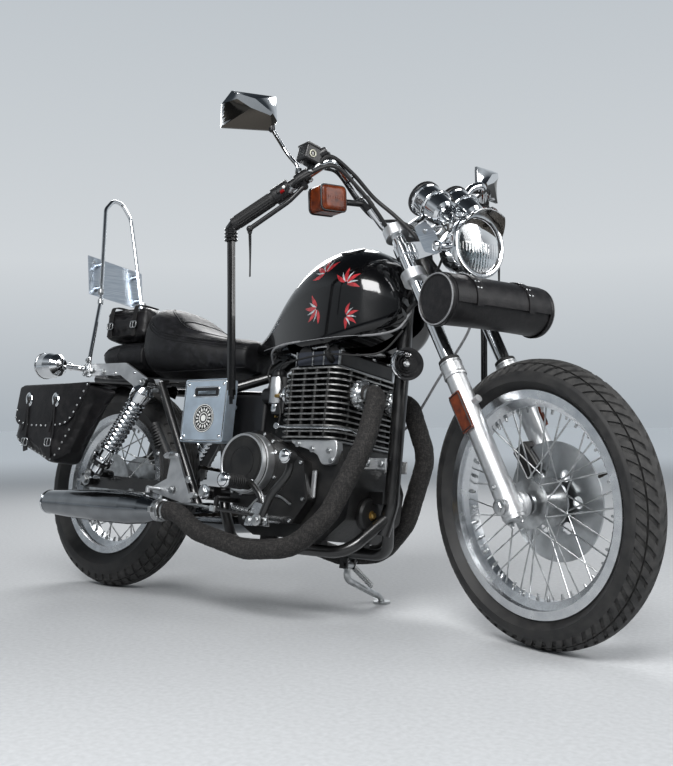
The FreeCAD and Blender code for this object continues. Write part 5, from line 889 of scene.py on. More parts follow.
def make_saddle():
    """The rider's seat with its tall bolster, and the pillion pad behind it."""
    for name, stations, rear, length, base, height, half in (
            ("saddle", SEAT_STATIONS, 132, 424, 640, 230, 156),
            ("pillion_pad", PILLION_STATIONS, -92, 236, 654, 118, 117)):
        form = Form()
        form.rings(swept_stations(between(stations), rear, length, base, height, half))
        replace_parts(swell(form, name, "frame", "seat", inset=4, cap=6), "seat")


def make_pack():
    """The flat-topped leather pack behind the rider."""
    form = Form().block((-72, -100, 770), (126, 100, 872), 10)
    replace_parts(swell(form, "pillion_pack_body", "frame", "bag", inset=3, cap=7), "pillion_pack")


BAG_OUTLINE = ((-164, 414), (40, 341), (184, 584), (-148, 576))
BAG_MIDDLE, BAG_DEPTH = 261, 112


def make_saddlebag(side):
    """A slanted throw-over bag, puffed a little."""
    name = "right" if side < 0 else "left"
    form = Form()
    rings = slab(rounded(BAG_OUTLINE, (30, 34, 24, 20)), BAG_DEPTH, 14)
    form.rings([[p + SIDE * side * BAG_MIDDLE for p in ring] for ring in rings])
    form.faces = [tuple(reversed(face)) for face in form.faces]
    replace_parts(swell(form, "saddlebag_body_" + name, "frame", "bag", inset=2, cap=6), "saddlebag_" + name)


# The roll under the headlight, in the upright fork
ROLL_MIDDLE = Vector((1311.5, 0, 789))
ROLL_DROOP = math.radians(3.5)
ROLL_HALF = 166
ROLL_RADIUS = 61
ROLL = Matrix.Translation(ROLL_MIDDLE) @ facing((0, math.cos(ROLL_DROOP), -math.sin(ROLL_DROOP)), UP)


def make_roll():
    """A leather roll, a little slack between its stiff ends."""
    half, slack, steps = ROLL_HALF - 6, 3.0, 12
    profile = [(ROLL_RADIUS - slack * math.sin(math.pi * share), -half + 2 * half * share)
               for share in (i / steps for i in range(steps + 1))]
    form = Form().lathe([(0.5, -half)] + profile + [(0.5, half)], ROLL, 48)
    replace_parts(swell(form, "roll_body", "steering", "bag", inset=2, cap=5, place=FORK), "roll_bag")


class CRUISER_OT_soft(bpy.types.Operator):
    """Shapes and puffs the saddle, the pack, the bags and the roll"""
    bl_idname = "cruiser.soft"
    bl_label = "Padded pieces"

    def execute(self, context):
        make_saddle()
        make_pack()
        make_saddlebag(-1)
        make_saddlebag(1)
        make_roll()
        puff()
        return {"FINISHED"}


# Leather trim: seams, piping, flaps, studs, straps and laces

def piece(name):
    return bpy.data.objects[name]


def bead(form, tree, path, direction, radius=1.6, slot=0, lift=0.3):
    """A piping cord laid on a surface along a path cast from one direction."""
    spots = drape(tree, curve_through(path, 5), direction, lift)
    if len(spots) > 2:
        form.sweep(spots, radius, slot=slot)


STITCH_PITCH = 7.0  # mm


def stitch_row(form, tree, path, direction):
    """Short raised stitches along a cast path."""
    spots = drape(tree, curve_through(path, 6), direction, 0.5)
    travelled = 0.0
    for a, b in zip(spots, spots[1:]):
        step = (b - a).length
        travelled += step
        if travelled >= STITCH_PITCH and step > 0.01:
            travelled = 0.0
            way = (b - a).normalized()
            form.sweep([b - way * 2.2, b, b + way * 2.2], 0.7)


def trim_saddle():
    """Piping round the saddle's top panel, its quilted seams and its skirt line."""
    tree = surface_of(piece("saddle"))
    form = Form()
    for side in (-1, 1):
        across = SIDE * -side
        for drop, radius in ((0, 2.4), (9, 1.5), (17, 1.5)):
            path = [(176, 0, 826 - drop), (205, 0, 795 - drop), (262, 0, 768 - drop), (340, 0, 752 - drop),
                    (430, 0, 742 - drop), (520, 0, 734 - drop), (548, 0, 730 - drop)]
            bead(form, tree, path, across, radius)
        skirt = [(150, 0, 668), (240, 0, 656), (340, 0, 654), (440, 0, 656), (540, 0, 664)]
        bead(form, tree, skirt, across, 1.8)
        inset = [(190, side * 40, 900), (240, side * 86, 900), (300, side * 104, 900), (350, side * 96, 900),
                 (392, side * 72, 900), (430, side * 52, 900), (476, side * 30, 900), (500, side * 2, 900)]
        bead(form, tree, inset, -UP, 1.7)
        stitch_row(form, tree, [(x, y * 0.93, z) for x, y, z in inset], -UP)
    bead(form, tree, [(188, -42, 900), (181, 0, 900), (188, 42, 900)], -UP, 1.7)
    seam = [(300, -102, 900), (306, -50, 900), (309, 0, 900), (306, 50, 900), (300, 102, 900)]
    bead(form, tree, seam, -UP, 1.4)
    form.make("saddle_piping", "frame", "seat", leather=True)
    tree = surface_of(piece("pillion_pad"))
    form = Form()
    for side in (-1, 1):
        bead(form, tree, [(-70, 0, 722), (-20, 0, 738), (40, 0, 744), (120, 0, 744)], SIDE * -side, 1.8)
        bead(form, tree, [(-74, 0, 690), (0, 0, 682), (120, 0, 674)], SIDE * -side, 1.6)
        bead(form, tree, [(28, 0, 744), (27, 0, 720), (26, 0, 700)], SIDE * -side, 1.4)
    form.make("pillion_piping", "frame", "seat", leather=True)


# The pack's straps in (y, z), from the lower edge over the lid
PACK_STRAP = ((104, 776), (106, 800), (106, 840), (104, 866), (96, 876), (70, 880), (20, 881))


def trim_pack():
    """The pack's lid line, its carrying straps and their buckles."""
    tree = surface_of(piece("pillion_pack_body"))
    form = Form()
    for side in (-1, 1):
        bead(form, tree, [(-60, 0, 852), (30, 0, 852), (114, 0, 852)], SIDE * -side, 1.8)
        bead(form, tree, [(-60, 0, 784), (30, 0, 784), (114, 0, 784)], SIDE * -side, 1.6)
        for x in (-30, 82):
            path = [(x, side * y, z) for y, z in PACK_STRAP]
            strap_form(form, curve_through(path, 4), 18, 3, AHEAD)
            buckle(form, at((x, side * 108, 812), SIDE * side, AHEAD), 26, 20, 1)
    form.make("pack_straps", "frame", ("lace", "zinc"), leather=True)


# Saddlebag trim lies on the bag's outer face, in (x, z)
FLAP_OUTLINE = ((-160, 470), (-96, 452), (20, 448), (118, 470), (188, 586), (-150, 580))
FLAP_LOW = ((-152, 500), (-150, 474), (-96, 456), (-30, 452), (30, 452), (92, 460), (124, 486), (150, 530),
            (176, 574))
BAG_EDGE = ((-156, 440), (-146, 414), (-60, 376), (20, 352), (44, 356), (72, 402), (96, 440))
CONCHOS = ((-96, 540), (36, 536))


def trim_saddlebag(side):
    """The flap with its studs, two conchos with laces, two straps with buckles, and studs along the bag."""
    name = "right" if side < 0 else "left"
    tree = surface_of(piece("saddlebag_body_" + name))
    outer = BAG_MIDDLE + BAG_DEPTH / 2
    out = SIDE * side
    form = Form()
    flap = slab(rounded(FLAP_OUTLINE, (40, 60, 60, 40, 10, 10), 6), 4, 1.6)
    form.rings([[p + out * (outer + 2.5) for p in ring] for ring in flap])
    lid = [(12, side * (outer + y), z) for y, z in ((3, 566), (-4, 582), (-24, 588), (-70, 589), (-106, 588))]
    strap_form(form, curve_through(lid, 4), 318, 3.5, AHEAD)
    for x in (-96, 20):
        path = [(x, 470), (x + 2, 452), (x + 5, 430), (x + 9, 404), (x + 14, 384 - (x + 96) * 0.16)]
        strap_form(form, curve_through(flat(path, side * (outer + 4)), 4), 20, 3.5, AHEAD)
        buckle(form, at((x + 8, side * (outer + 6), 410), out, AHEAD), 28, 22, 1)
    for p in evenly(curve_through(flat(FLAP_LOW), 6), 23):
        form.dome(at(p + out * (outer + 4.3) + UP * 8, out), 3.6, 3.0, 1, 10)
    for p in evenly(curve_through(flat(BAG_EDGE), 6), 22):
        for stud in drape(tree, [p + UP * 12], -out, 0.0):
            form.dome(at(stud, out), 3.4, 2.8, 1, 10)
    for x, z in CONCHOS:
        base = at((x, side * (outer + 4), z), out, AHEAD + UP * 0.3)
        form.rings([[p + UP * h for p in squircle(r, r * 1.45, 24, 2.2)]
                    for r, h in ((15, 0), (15.5, 1.5), (14, 3.2), (11, 3.6), (9, 2.4))], base, 2)
        for turn in (-1, 1):
            form.sweep([(turn * 3.5, -7, 3), (turn * 4, 0, 5), (turn * 3.5, 7, 3)], 1.6, base)
        for k, drift in enumerate((-9, 5)):
            low = 96 + 22 * k
            lace = [(x + drift * 0.2, side * (outer + 6), z),
                    (x + drift * 0.6, side * (outer + 8), z - low * 0.35),
                    (x + drift + 3, side * (outer + 7), z - low * 0.7),
                    (x + drift * 1.6, side * (outer + 7), z - low)]
            strap_form(form, curve_through(lace, 5), 6, 1.8, AHEAD)
    form.make("saddlebag_trim_" + name, "frame", ("bag", "zinc", "chrome"), leather=True)


def evenly(path, pitch):
    """Points a pitch apart along a line of points."""
    made = [path[0]]
    carried = 0.0
    for a, b in zip(path, path[1:]):
        step = (b - a).length
        while carried + step >= pitch:
            a = a + (b - a) * ((pitch - carried) / step)
            step = (b - a).length
            carried = 0.0
            made.append(a)
        carried += step
    return made


# degrees round the roll where its flap starts, and how far it runs
FLAP_TURN, FLAP_SWEEP = 100, 128


def trim_roll():
    """The roll's stiff end discs with grey piping, its flap with studs, and two buckled straps."""
    form = Form()
    full = ROLL_RADIUS
    for side in (-1, 1):
        turn = ROLL @ Matrix.Translation((0, 0, side * (ROLL_HALF - 8)))
        if side < 0:
            turn = turn @ Matrix.Rotation(math.pi, 4, "X")
        form.lathe([(full + 0.2, -6), (full + 1.6, -3), (full + 1.6, 4), (full - 1, 7), (full - 5, 8),
                    (full - 8, 5.5), (full - 24, 6.6), (0.01, 7.4)], turn, 56)
        outward_z = turn.to_3x3() @ UP
        for ring, height, thick, slot in ((full - 1.6, 7.0, 2.0, 1), (full + 1.2, -5.5, 1.5, 0)):
            form.sweep([turn @ p + outward_z * height for p in circle(ring, 56)], thick, slot=slot, loop=True)
    radius = full + 0.6

    def outward(degrees):
        a = math.radians(degrees)
        return Vector((math.cos(a), math.sin(a), 0))

    # the flap: rows of points round the roll, under and over, skinned, with its two ends closed
    steps = 14
    under = [outward(FLAP_TURN - FLAP_SWEEP * i / steps) for i in range(steps + 1)]
    across = (-ROLL_HALF + 16, -90, 0, 90, ROLL_HALF - 16)
    rows = [[ROLL @ (out * reach + UP * z) for z in across]
            for reach, outs in ((radius, under), (radius + 2.6, under[::-1])) for out in outs]
    count, total = len(across), len(rows)
    faces = [(b + j, b + j + 1, a + j + 1, a + j)
             for a, b in ((i * count, (i + 1) % total * count) for i in range(total)) for j in range(count - 1)]
    for i in range(steps):
        a, b = i * count, (total - 1 - i) * count
        faces += [(b, b - count, a + count, a), (b - 1, b + count - 1, a + count - 1, a + 2 * count - 1)]
    form.add([p for row in rows for p in row], faces)
    out = outward(FLAP_TURN - FLAP_SWEEP + math.degrees(0.09))
    for z in range(-138, 139, 23):
        form.dome(ROLL @ at(out * (radius + 2.4) + UP * z, out, UP), 3.4, 2.8, 2, 10)
    for z in (-84, 84):
        strap = [ROLL @ (outward(d) * (radius + 4) + UP * z) for d in range(104, -75, -8)]
        strap_form(form, strap, 20, 3.4, ROLL.to_3x3() @ UP)
        for d in (-14, -4, 22, 50, 66):
            out = outward(d)
            for shift in (-5, 5):
                form.dome(ROLL @ at(out * (radius + 5.5) + UP * (z + shift), out, UP), 2.6, 2.2, 2, 8)
        out = outward(-34)
        buckle(form, ROLL @ at(out * (radius + 6) + UP * z, out, UP), 28, 22, 2)
    form.make("roll_trim", "steering", ("bag", "piping", "zinc"), FORK, leather=True)


# Tassels hang from the grip ends and the lever tips, straight down in the leaning machine
TASSEL_TOP = Vector((846.5, 437.5, 1031))
LEVER_TIP = Vector((923.9, 427.5, 1004))
TASSEL_STRIPS, TASSEL_LENGTH, TASSEL_UNEVEN = 9, 452, 46


def trim_tassels():
    """Bundles of flat leather strips with braided heads, and thin laces from the levers."""
    down = (FORK.inverted().to_3x3() @ Vector((0, 0, -1))).normalized()
    for side in (-1, 1):
        form = Form()
        top = Vector((TASSEL_TOP.x, side * TASSEL_TOP.y, TASSEL_TOP.z))
        inward = Vector((0.63, -side * 0.58, 0.5)).normalized()
        form.sweep([top + inward * 30, top + inward * 12, top + down * 6, top + down * 24], 15)
        for k in range(4):
            form.sweep([top + down * (8 + 9 * k) + p for p in circle(14.6, 14)], 2.8, loop=True)
        rng = random.Random(7 + side)
        for i, spread in enumerate(circle(8.5, TASSEL_STRIPS)):
            length = TASSEL_LENGTH - rng.random() * TASSEL_UNEVEN
            path = []
            for j in range(9):
                t = j / 8
                sway = Vector((math.sin(t * 3.1 + i) * 2.2, math.cos(t * 2.3 + i * 2) * 2.2, 0)) * t
                path.append(top + spread * (1 - 0.12 * t) + down * (20 + (length - 20) * t) + sway)
            strap_form(form, curve_through(path, 3), 9.5, 2.0, Vector((-spread.y, spread.x, 0)) / 8.5)
        tip = Vector((LEVER_TIP.x, side * LEVER_TIP.y, LEVER_TIP.z))
        for k in (-1, 1):
            path = [tip + AHEAD * k * 2 + down * d + SIDE * math.sin(d / 30 + k) * 1.2
                    for d in range(0, 119, 14)]
            strap_form(form, curve_through(path, 2), 4.5, 2.4, AHEAD)
        form.dome(at(tip + UP, down), 6, 8)
        made = form.make("tassel_right" if side < 0 else "tassel_left", "steering", "vinyl", FORK, leather=True)
        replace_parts(made, "tassels")


class CRUISER_OT_leather_trim(bpy.types.Operator):
    """Adds seams, piping, flaps, studs, straps, conchos, laces and tassels"""
    bl_idname = "cruiser.leather_trim"
    bl_label = "Leather trim"

    def execute(self, context):
        trim_saddle()
        trim_pack()
        trim_saddlebag(-1)
        trim_saddlebag(1)
        trim_roll()
        trim_tassels()
        return {"FINISHED"}



# Engine, exhaust and tank fittings

BARREL_X, BARREL_LENGTH, BARREL_HALF = 856, 196, 150
FIN_BASE, FIN_PITCH, FIN_COUNT, FIN_CORNER = 446.3, 15, 13, 44
COVER_BASE = 641.6
PORTS, PORT_Z = (-75, 75), 572
CLUTCH, DYNAMO, FILTER = (692, -118.3, 380), (846, 118.3, 325), (989, -40, 270)
BOWL_X, BOWL_Y, BOWL_Z = 694, 82, 552


def bent(points, bend, step=8.0):
    """A line of straight runs joined by arcs, as the pipes are bent, in short steps."""
    spots = [Vector(p) for p in points]
    made = [spots[0]]
    for before, corner, after in zip(spots, spots[1:], spots[2:]):
        back, on = before - corner, after - corner
        turn = math.pi - back.angle(on)
        reach = min(bend * math.tan(turn / 2), 0.45 * min(back.length, on.length))
        radius = reach / math.tan(turn / 2)
        back.normalize()
        on.normalize()
        inward = (back + on).normalized()
        centre = corner + inward * (radius / math.cos(turn / 2))
        first, last = corner + back * reach - centre, corner + on * reach - centre
        count = max(3, int(radius * turn / step))
        for i in range(count + 1):
            made.append(centre + first.slerp(last, i / count) * radius)
    made.append(spots[-1])
    finer = [made[0]]
    for start, spot in zip(made, made[1:]):
        parts = max(1, round((spot - start).length / step))
        finer += [start.lerp(spot, i / parts) for i in range(1, parts + 1)]
    return finer


def round_corners(half_x, half_y, corner):
    """A flat outline with quarter-round corners, counterclockwise."""
    made = []
    for sx, sy, start in ((1, 1, 0), (-1, 1, 90), (-1, -1, 180), (1, -1, 270)):
        for turn in range(0, 91, 15):
            a = math.radians(start + turn)
            made.append(Vector((sx * (half_x - corner) + corner * math.cos(a),
                                sy * (half_y - corner) + corner * math.sin(a), 0)))
    return made


HEADER_SPOTS = (
    (973.3, 75, 572), (1021.3, 75, 572), (1043.3, 141, 438), (975.3, 172, 262), (889.3, 190, 174),
    (739.3, 200, 158), (559.3, 208, 194), (496.3, 220, 240), (430.3, 220, 240),
)
PIPE_RADIUS, PIPE_BEND = 25, 130
TAPE_PITCH, TAPE_THICK = 44, 1.5


def make_headers():
    """Both header pipes in their lapped tape, with the steel ties at the tape's ends."""
    form = Form()
    for side in (-1, 1):
        line = bent([(x, side * y, z) for x, y, z in HEADER_SPOTS], PIPE_BEND, 3.2)
        length = 0.0
        around = 30
        up = UP
        rings = []
        for i, spot in enumerate(line):
            before = line[max(0, i - 1)]
            length += (spot - before).length
            turn = facing(line[min(len(line) - 1, i + 1)] - before, up)
            up = turn.col[0].xyz
            # each turn of tape thickens toward the edge that laps over the next
            laps = [(length / TAPE_PITCH - j / around) % 1.0 for j in range(around)]
            rises = [TAPE_THICK * min(1.0, (1 - lap) * 9) * (0.35 + 0.65 * lap) for lap in laps]
            rings.append([spot + turn @ (p * (PIPE_RADIUS - 0.6 + rise))
                          for p, rise in zip(circle(1, around), rises)])
        form.rings(rings)
        for share in (0.012, 0.03, 0.972, 0.988):
            i = int(share * len(line))
            place = at(line[i], line[i + 1] - line[i])
            form.lathe([(25.2, -3), (26.6, -3), (26.6, 3), (25.2, 3)], place, 32, 1)
            form.block((25, -3.5, -4), (30, 3.5, 4), 0.8, place, 1)
    made = form.make("wrapped_headers", "frame", ("wrap", "zinc"), angle=50)
    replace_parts(made, "exhaust_headers")


FIN_EDGE = ((-2.2, -3, 0), (-2.2, 0.2, 0), (-1.4, 0.8, 0), (1.4, 0.8, 0), (2.2, 0.2, 0), (2.2, -3, 0))


def trim_fins():
    """Machined fin edges, the posts cast between them, and the finned clamps at the ports."""
    form = Form()
    for i in range(FIN_COUNT):
        inset = 6 if i == FIN_COUNT - 1 else 0
        z = FIN_BASE + (i + 0.5) * FIN_PITCH
        outline = round_corners(BARREL_LENGTH / 2 - inset, BARREL_HALF - inset, FIN_CORNER - inset)
        form.sweep([Vector((BARREL_X, 0, z)) + p for p in outline], FIN_EDGE, loop=True, slot=1)
    top = FIN_BASE + FIN_COUNT * FIN_PITCH
    for side in (-1, 1):
        for x in (796, 838, 876, 916):
            form.block((x - 3.5, side * 136 - 14, FIN_BASE + 6), (x + 3.5, side * 136 + 11, top - 10), 1.2)
    for y in (-96, -32, 32, 96):
        for x in (938, 761):
            form.block((x, y - 3.5, FIN_BASE + 6), (x + 13, y + 3.5, top - 10), 1.2)
    form.make("fin_edges", "frame", ("fins", "fin_edges"))
    form = Form()
    for y in PORTS:
        for k in range(14):
            turn = Matrix.Translation((973, y, PORT_Z)) @ Matrix.Rotation(2 * math.pi * k / 14, 4, "X")
            form.block((-11, -4.6, 27), (7, 4.6, 39), 1.8, turn)
        form.lathe([(27, -12), (35.5, -12), (36, -10), (36, 6), (34.5, 8), (27, 8)],
                   at((973, y, PORT_Z), AHEAD), 36)
        for a in (40, 220):
            spot = Vector((980, y + 30 * math.cos(math.radians(a)), PORT_Z + 30 * math.sin(math.radians(a))))
            form.hexagon(at(spot, AHEAD), 6, 7, 1)
            form.lathe([(3, 0), (3, 16), (0.01, 17)], at(spot, AHEAD), 10, 1)
    form.make("port_clamps", "frame", ("polished", "zinc"))


def trim_castings():
    """The bright barrel foot, cover screws, panels and cap nuts that stand on the black castings."""
    form = Form()
    for side in (-1, 1):
        foot = [(797, 449), (952, 449), (957, 420), (946, 388), (912, 384), (896, 408), (862, 424), (812, 436)]
        form.rings([[p + SIDE * side * 124 for p in ring] for ring in slab(rounded(foot, 9, 3), 26, 3)], slot=2)
        form.block((878, side * 128 - 5, 300), (892, side * 128 + 5, 372), 3, slot=2)
        for x, z in ((826, 437), (876, 424), (930, 420), (940, 396)):
            form.hexagon(at((x, side * 137, z), SIDE * side), 6, 5, 1)
        for x in (784, 839, 876, 926):
            form.block((x - 1.6, side * 121 - 4, COVER_BASE + 2), (x + 1.6, side * 121 + 4, COVER_BASE + 41), 0.7,
                       slot=1)
        for rear, front in ((788, 837), (841, 874), (878, 924)):
            form.block((rear, side * 122 - 1.5, COVER_BASE + 3), (front, side * 122 + 1.5, COVER_BASE + 40),
                       slot=3)
        for x in (794, 918):
            for y in (104, 36):
                form.hexagon(at((x, side * y, COVER_BASE + 42), UP), 6.5, 6, 1)
    for y in (-52, 0, 52):
        form.hexagon(at((856, y, 699.5), UP), 6.5, 5, 1)
    form.block((781, -119.5, COVER_BASE - 1), (931, 119.5, COVER_BASE + 1.2), 0.6, slot=1)
    form.block((764, -122, FIN_BASE - 3), (948, 122, FIN_BASE + 4), 2, slot=2)
    # right side: clutch cover, its screws and the two bright caps
    clutch = at(CLUTCH, -SIDE)
    form.lathe([(79, 34), (80.5, 36), (80.5, 64), (79, 66)], clutch, 72, 2)
    form.lathe([(69.5, 77.4), (71, 79), (75, 79), (78.4, 70), (77, 69)], clutch, 72, 2)
    for radius in (62, 40):
        form.lathe([(radius - 1.2, 77.6), (radius - 1, 78.8), (radius + 1, 78.8), (radius + 1.2, 77.6)],
                   clutch, 64)
    for spot in circle(85.5, 8, math.radians(22.5)):
        form.socket(clutch @ Matrix.Translation(spot + UP * 33), 4.6, 5, 1)
    for x, z in ((610, 404), (628, 306), (680, 239), (760, 234), (836, 240), (872, 296), (856, 388), (756, 441)):
        form.socket(at((x, -151, z), -SIDE), 5, 5, 1)
    pipe = [(690, -152, 262), (730, -155, 292), (792, -156, 300), (838, -154, 280)]
    form.sweep(curve_through(pipe, 6), 3.2, slot=1)
    # left side: dynamo cover, sprocket guard
    dynamo = at(DYNAMO, SIDE)
    form.lathe([(79.2, 12), (80.6, 14), (80.6, 36), (79.2, 38)], dynamo, 72, 2)
    for radius in (58, 34):
        form.lathe([(radius - 1.4, 61), (radius - 1, 65), (radius + 1, 65), (radius + 1.4, 61)], dynamo, 64)
    for spot in circle(64, 6, math.radians(30)):
        form.socket(dynamo @ Matrix.Translation(spot + UP * 59), 4.6, 5, 1)
    for x, z in ((690, 440), (756, 441), (872, 400), (880, 300), (838, 236), (740, 232)):
        form.socket(at((x, 151, z), SIDE), 5, 5, 1)
    # front: filter cover, drain plug and the engine's mounting plates
    form.lathe([(42, 0), (43, 2), (43, 12), (38, 18), (12, 20), (0.01, 20)], at(FILTER, AHEAD), 40)
    form.hexagon(at(Vector(FILTER) + AHEAD * 19, AHEAD), 9, 8, 5)
    for side in (-1, 1):
        form.block((975, side * 47 - 3, 384), (1046, side * 47 + 3, 416), 2, slot=2)
        for x in (988, 1032):
            form.hexagon(at((x, side * 50, 400), SIDE * side), 7, 6, 1)
    form.make("casting_trim", "frame", ("engine", "zinc", "cast", "panel", "chrome", "brass"))


def trim_carburettors():
    """Carburettor tops, bowls, hoses and the oil pipe, behind the barrels."""
    form = Form()
    for side in (-1, 1):
        y = side * BOWL_Y
        bowl = Vector((BOWL_X, y, BOWL_Z))
        for profile, height, way, count, slot in (
                ([(19, 0), (20, 2), (20, 12), (17, 20), (10, 25), (0.01, 26)], 70, UP, 32, 0),
                ([(21, -4), (22, -3), (22, 0), (21, 1)], 70, UP, 32, 1),
                ([(16, 0), (17.5, 3), (17.5, 20), (12, 28), (8, 30), (0.01, 30.5)], 0, -UP, 32, 1),
                ([(5, 0), (5, 8), (0.01, 8.5)], -29, -UP, 6, 3),
                ([(23, 0), (24, 2), (24, 70), (23, 72)], 0, UP, 32, 2)):
            form.lathe(profile, at(bowl + UP * height, way), count, slot)
        for hose, thick in (([(664, -4, 600), (650, 0, 640), (668, -8, 690)], 3),
                            ([(712, 14, 552), (726, 20, 520), (716, 18, 470)], 2.6)):
            form.sweep(curve_through([(x, y + side * out, z) for x, out, z in hose], 6), thick, slot=4)
        form.block((700, y + side * 20 - 4, 566), (730, y + side * 20 + 4, 576), 2, slot=3)
        form.dome(at((728, y + side * 24, 571), SIDE * side), 6, 6, 1)
        for x in (750, 736):
            form.lathe([(29.2, 0), (30.4, 0), (30.4, 8), (29.2, 8)], at((x, side * 75, 576), -AHEAD), 32, 1)
    # plug leads from the coils under the tank down to the caps at the head's sides
    for side in (-1, 1):
        form.lathe([(8, 0), (9, 3), (9, 26), (6, 34), (4, 38)],
                   at((905, side * 122, 655), SIDE * side + UP * 0.6), 20, 4)
        lead = [(905, 150, 673), (900, 140, 690), (866, 120, 706), (846, 70, 716)]
        form.sweep(curve_through([(x, side * y, z) for x, y, z in lead], 8), 3.6, slot=4)
    # oil pipe along the barrel's foot, and the long cable under the tank's lower edge
    rod = [(760, -152, 482), (800, -155, 478), (960, -153, 476), (992, -128, 472), (1000, -96, 462)]
    form.sweep(bent(rod, 14), 3.2, slot=1)
    for spot in ((760, -149, 482), (1000, -94, 462)):
        form.lathe([(8, -5), (9, -4), (9, 4), (8, 5)], at(spot, -SIDE), 20, 1)
    for cable, thick, slot in (
            ([(668, -86, 664), (690, -118, 690), (740, -132, 704), (860, -134, 712), (960, -126, 716),
              (1024, -100, 722), (1060, -62, 744), (1078, -40, 790)], 3.1, 5),
            ([(724, -104, 600), (740, -134, 640), (790, -140, 656), (900, -142, 668), (990, -128, 664),
              (1040, -92, 680), (1066, -50, 740)], 2.8, 4)):
        form.sweep(curve_through(cable, 8), thick, slot=slot)
    form.make("carburettor_fittings", "frame", ("plastic", "polished", "cast", "brass", "grip", "piping"))


PETAL_STEPS = 7


def petal(form, tree, root, along, length, width, slot, side):
    """A lance-shaped leaf of paint laid on the tank's side, root and along in (x, z)."""
    along = Vector(along).normalized()
    across = Vector((-along.y, along.x))
    rows = []
    for i in range(PETAL_STEPS + 1):
        t = i / PETAL_STEPS
        half = width / 2 * math.sin(math.pi * min(1.0, 0.04 + 0.94 * t) ** 0.8)
        middle = Vector(root) + along * length * t + across * math.sin(t * 2.6) * length * 0.08
        spots = [middle + across * half * k for k in (-1, -0.5, 0, 0.5, 1)]
        rows.append(drape(tree, flat(spots), SIDE * -side, 0.5))
    if all(len(row) == 5 for row in rows):
        form.rings(rows, slot=slot, closed=False, ends=False)


# Sprays of painted leaves: root x and z, turn in degrees, size
SPRAYS = ((872, 886, 118, 46), (946, 850, 60, 40), (858, 792, 200, 44), (952, 764, -8, 34))


def paint_tank():
    """Sprays of red lance leaves with grey ones between them, a thin cord for the seam's lip near the base
    coloured pale grey as a painted highlight, and the cap's ring.
    """
    tree = surface_of(frame["nodes"]["fuel_tank"])
    form = Form()
    scale = sizes().leaf_length / 0.046
    for side in (-1, 1):
        for x, z, turn, wide in SPRAYS:
            size = wide * scale
            for k in range(7):
                a = math.radians(turn - 78 + 26 * k)
                red = k % 2 == 0
                length = size * (1.0 if red else 0.78) * (1.0 - 0.1 * abs(k - 3) / 3)
                root = Vector((x, z)) + Vector((math.cos(a), math.sin(a))) * 5
                petal(form, tree, root, (math.cos(a), math.sin(a)), length, size * (0.27 if red else 0.13),
                      0 if red else 1, side)
        # a thin cord on the tank's seam lip near its base, pale grey as a painted highlight along the lip
        line = [(612, 0, 707), (700, 0, 708), (830, 0, 708), (940, 0, 712), (1010, 0, 722), (1050, 0, 742)]
        bead(form, tree, line, SIDE * -side, 1.0, 2, 0.0)
    form.make("tank_paint", "frame", ("red_paint", "grey_paint", "piping"))
    form = Form()
    cap = drape(tree, [(905, 0, 900)], -UP, 0.0)[0]
    place = Matrix.Translation(cap)
    form.lathe([(33, -6), (38, -5), (39, -3), (38, 0.5), (35, 1.5), (33.5, 0.5)], place, 48)
    form.lathe([(25, -1), (26, 1.6), (24, 3), (14, 3.4), (0.01, 3.5)], place, 40, 1)
    form.block((-12, -3.2, 2.4), (12, 3.2, 5.6), 1, place @ Matrix.Rotation(0.5, 4, "Z"))
    form.hexagon(at(cap, UP), 5, 3.2)
    # fuel tap under the tank's left rear
    form.lathe([(11, 0), (11, 16), (9, 20), (9, 30), (0.01, 31)], at((668, 62, 690), -UP), 24, 2)
    form.block((660, 68, 664), (676, 92, 672), 2.5)
    form.make("tank_cap_ring", "frame", ("chrome", "tank", "zinc"))


class CRUISER_OT_engine_trim(bpy.types.Operator):
    """Adds fin edges, screws, clamps, carburettor fittings, wrapped headers and the tank's paint"""
    bl_idname = "cruiser.engine_trim"
    bl_label = "Engine and tank fittings"

    def execute(self, context):
        make_headers()
        trim_fins()
        trim_castings()
        trim_carburettors()
        paint_tank()
        return {"FINISHED"}

# Lamps, dials, controls, cables and fasteners on the steering

LAMP_FACE = Vector((1289.5, 0, 940))
LAMP_RADIUS, LENS_RADIUS, LENS_BULGE = 80, 69, 12
GLASS_RINGS, GLASS_COUNT, GLASS_THICK, FLUTES_TOP = 24, 240, 2.2, 4
GAUGE_FOOT = Vector((1230, 0, 1022))
GAUGE_FACING = Vector((-math.cos(math.radians(36)), 0, math.sin(math.radians(36))))
BAR_LINE = ((1032.4, 0, 1017.7), (1032.4, -82, 1017.7), (1032.4, -225, 1167.7), (1042.4, -259, 1177.7),
            (854.4, -430, 1037.7))
GRIP_END = Vector(BAR_LINE[-1])
GRIP_INWARD = (Vector(BAR_LINE[3]) - GRIP_END).normalized()
PERCH = GRIP_END + GRIP_INWARD * 204
GRIP_RADIUS, GRIP_RIBS = 17, 18
MIRROR_WIDE, MIRROR_HIGH = 144, 98
RISER_X = BAR_LINE[0][0]


def flip(point):
    """The same point on the other side."""
    return Vector((point[0], -point[1], point[2]))


def sided(point, side):
    """A right-hand point, or its mirror for the left."""
    return Vector(point) if side < 0 else flip(point)


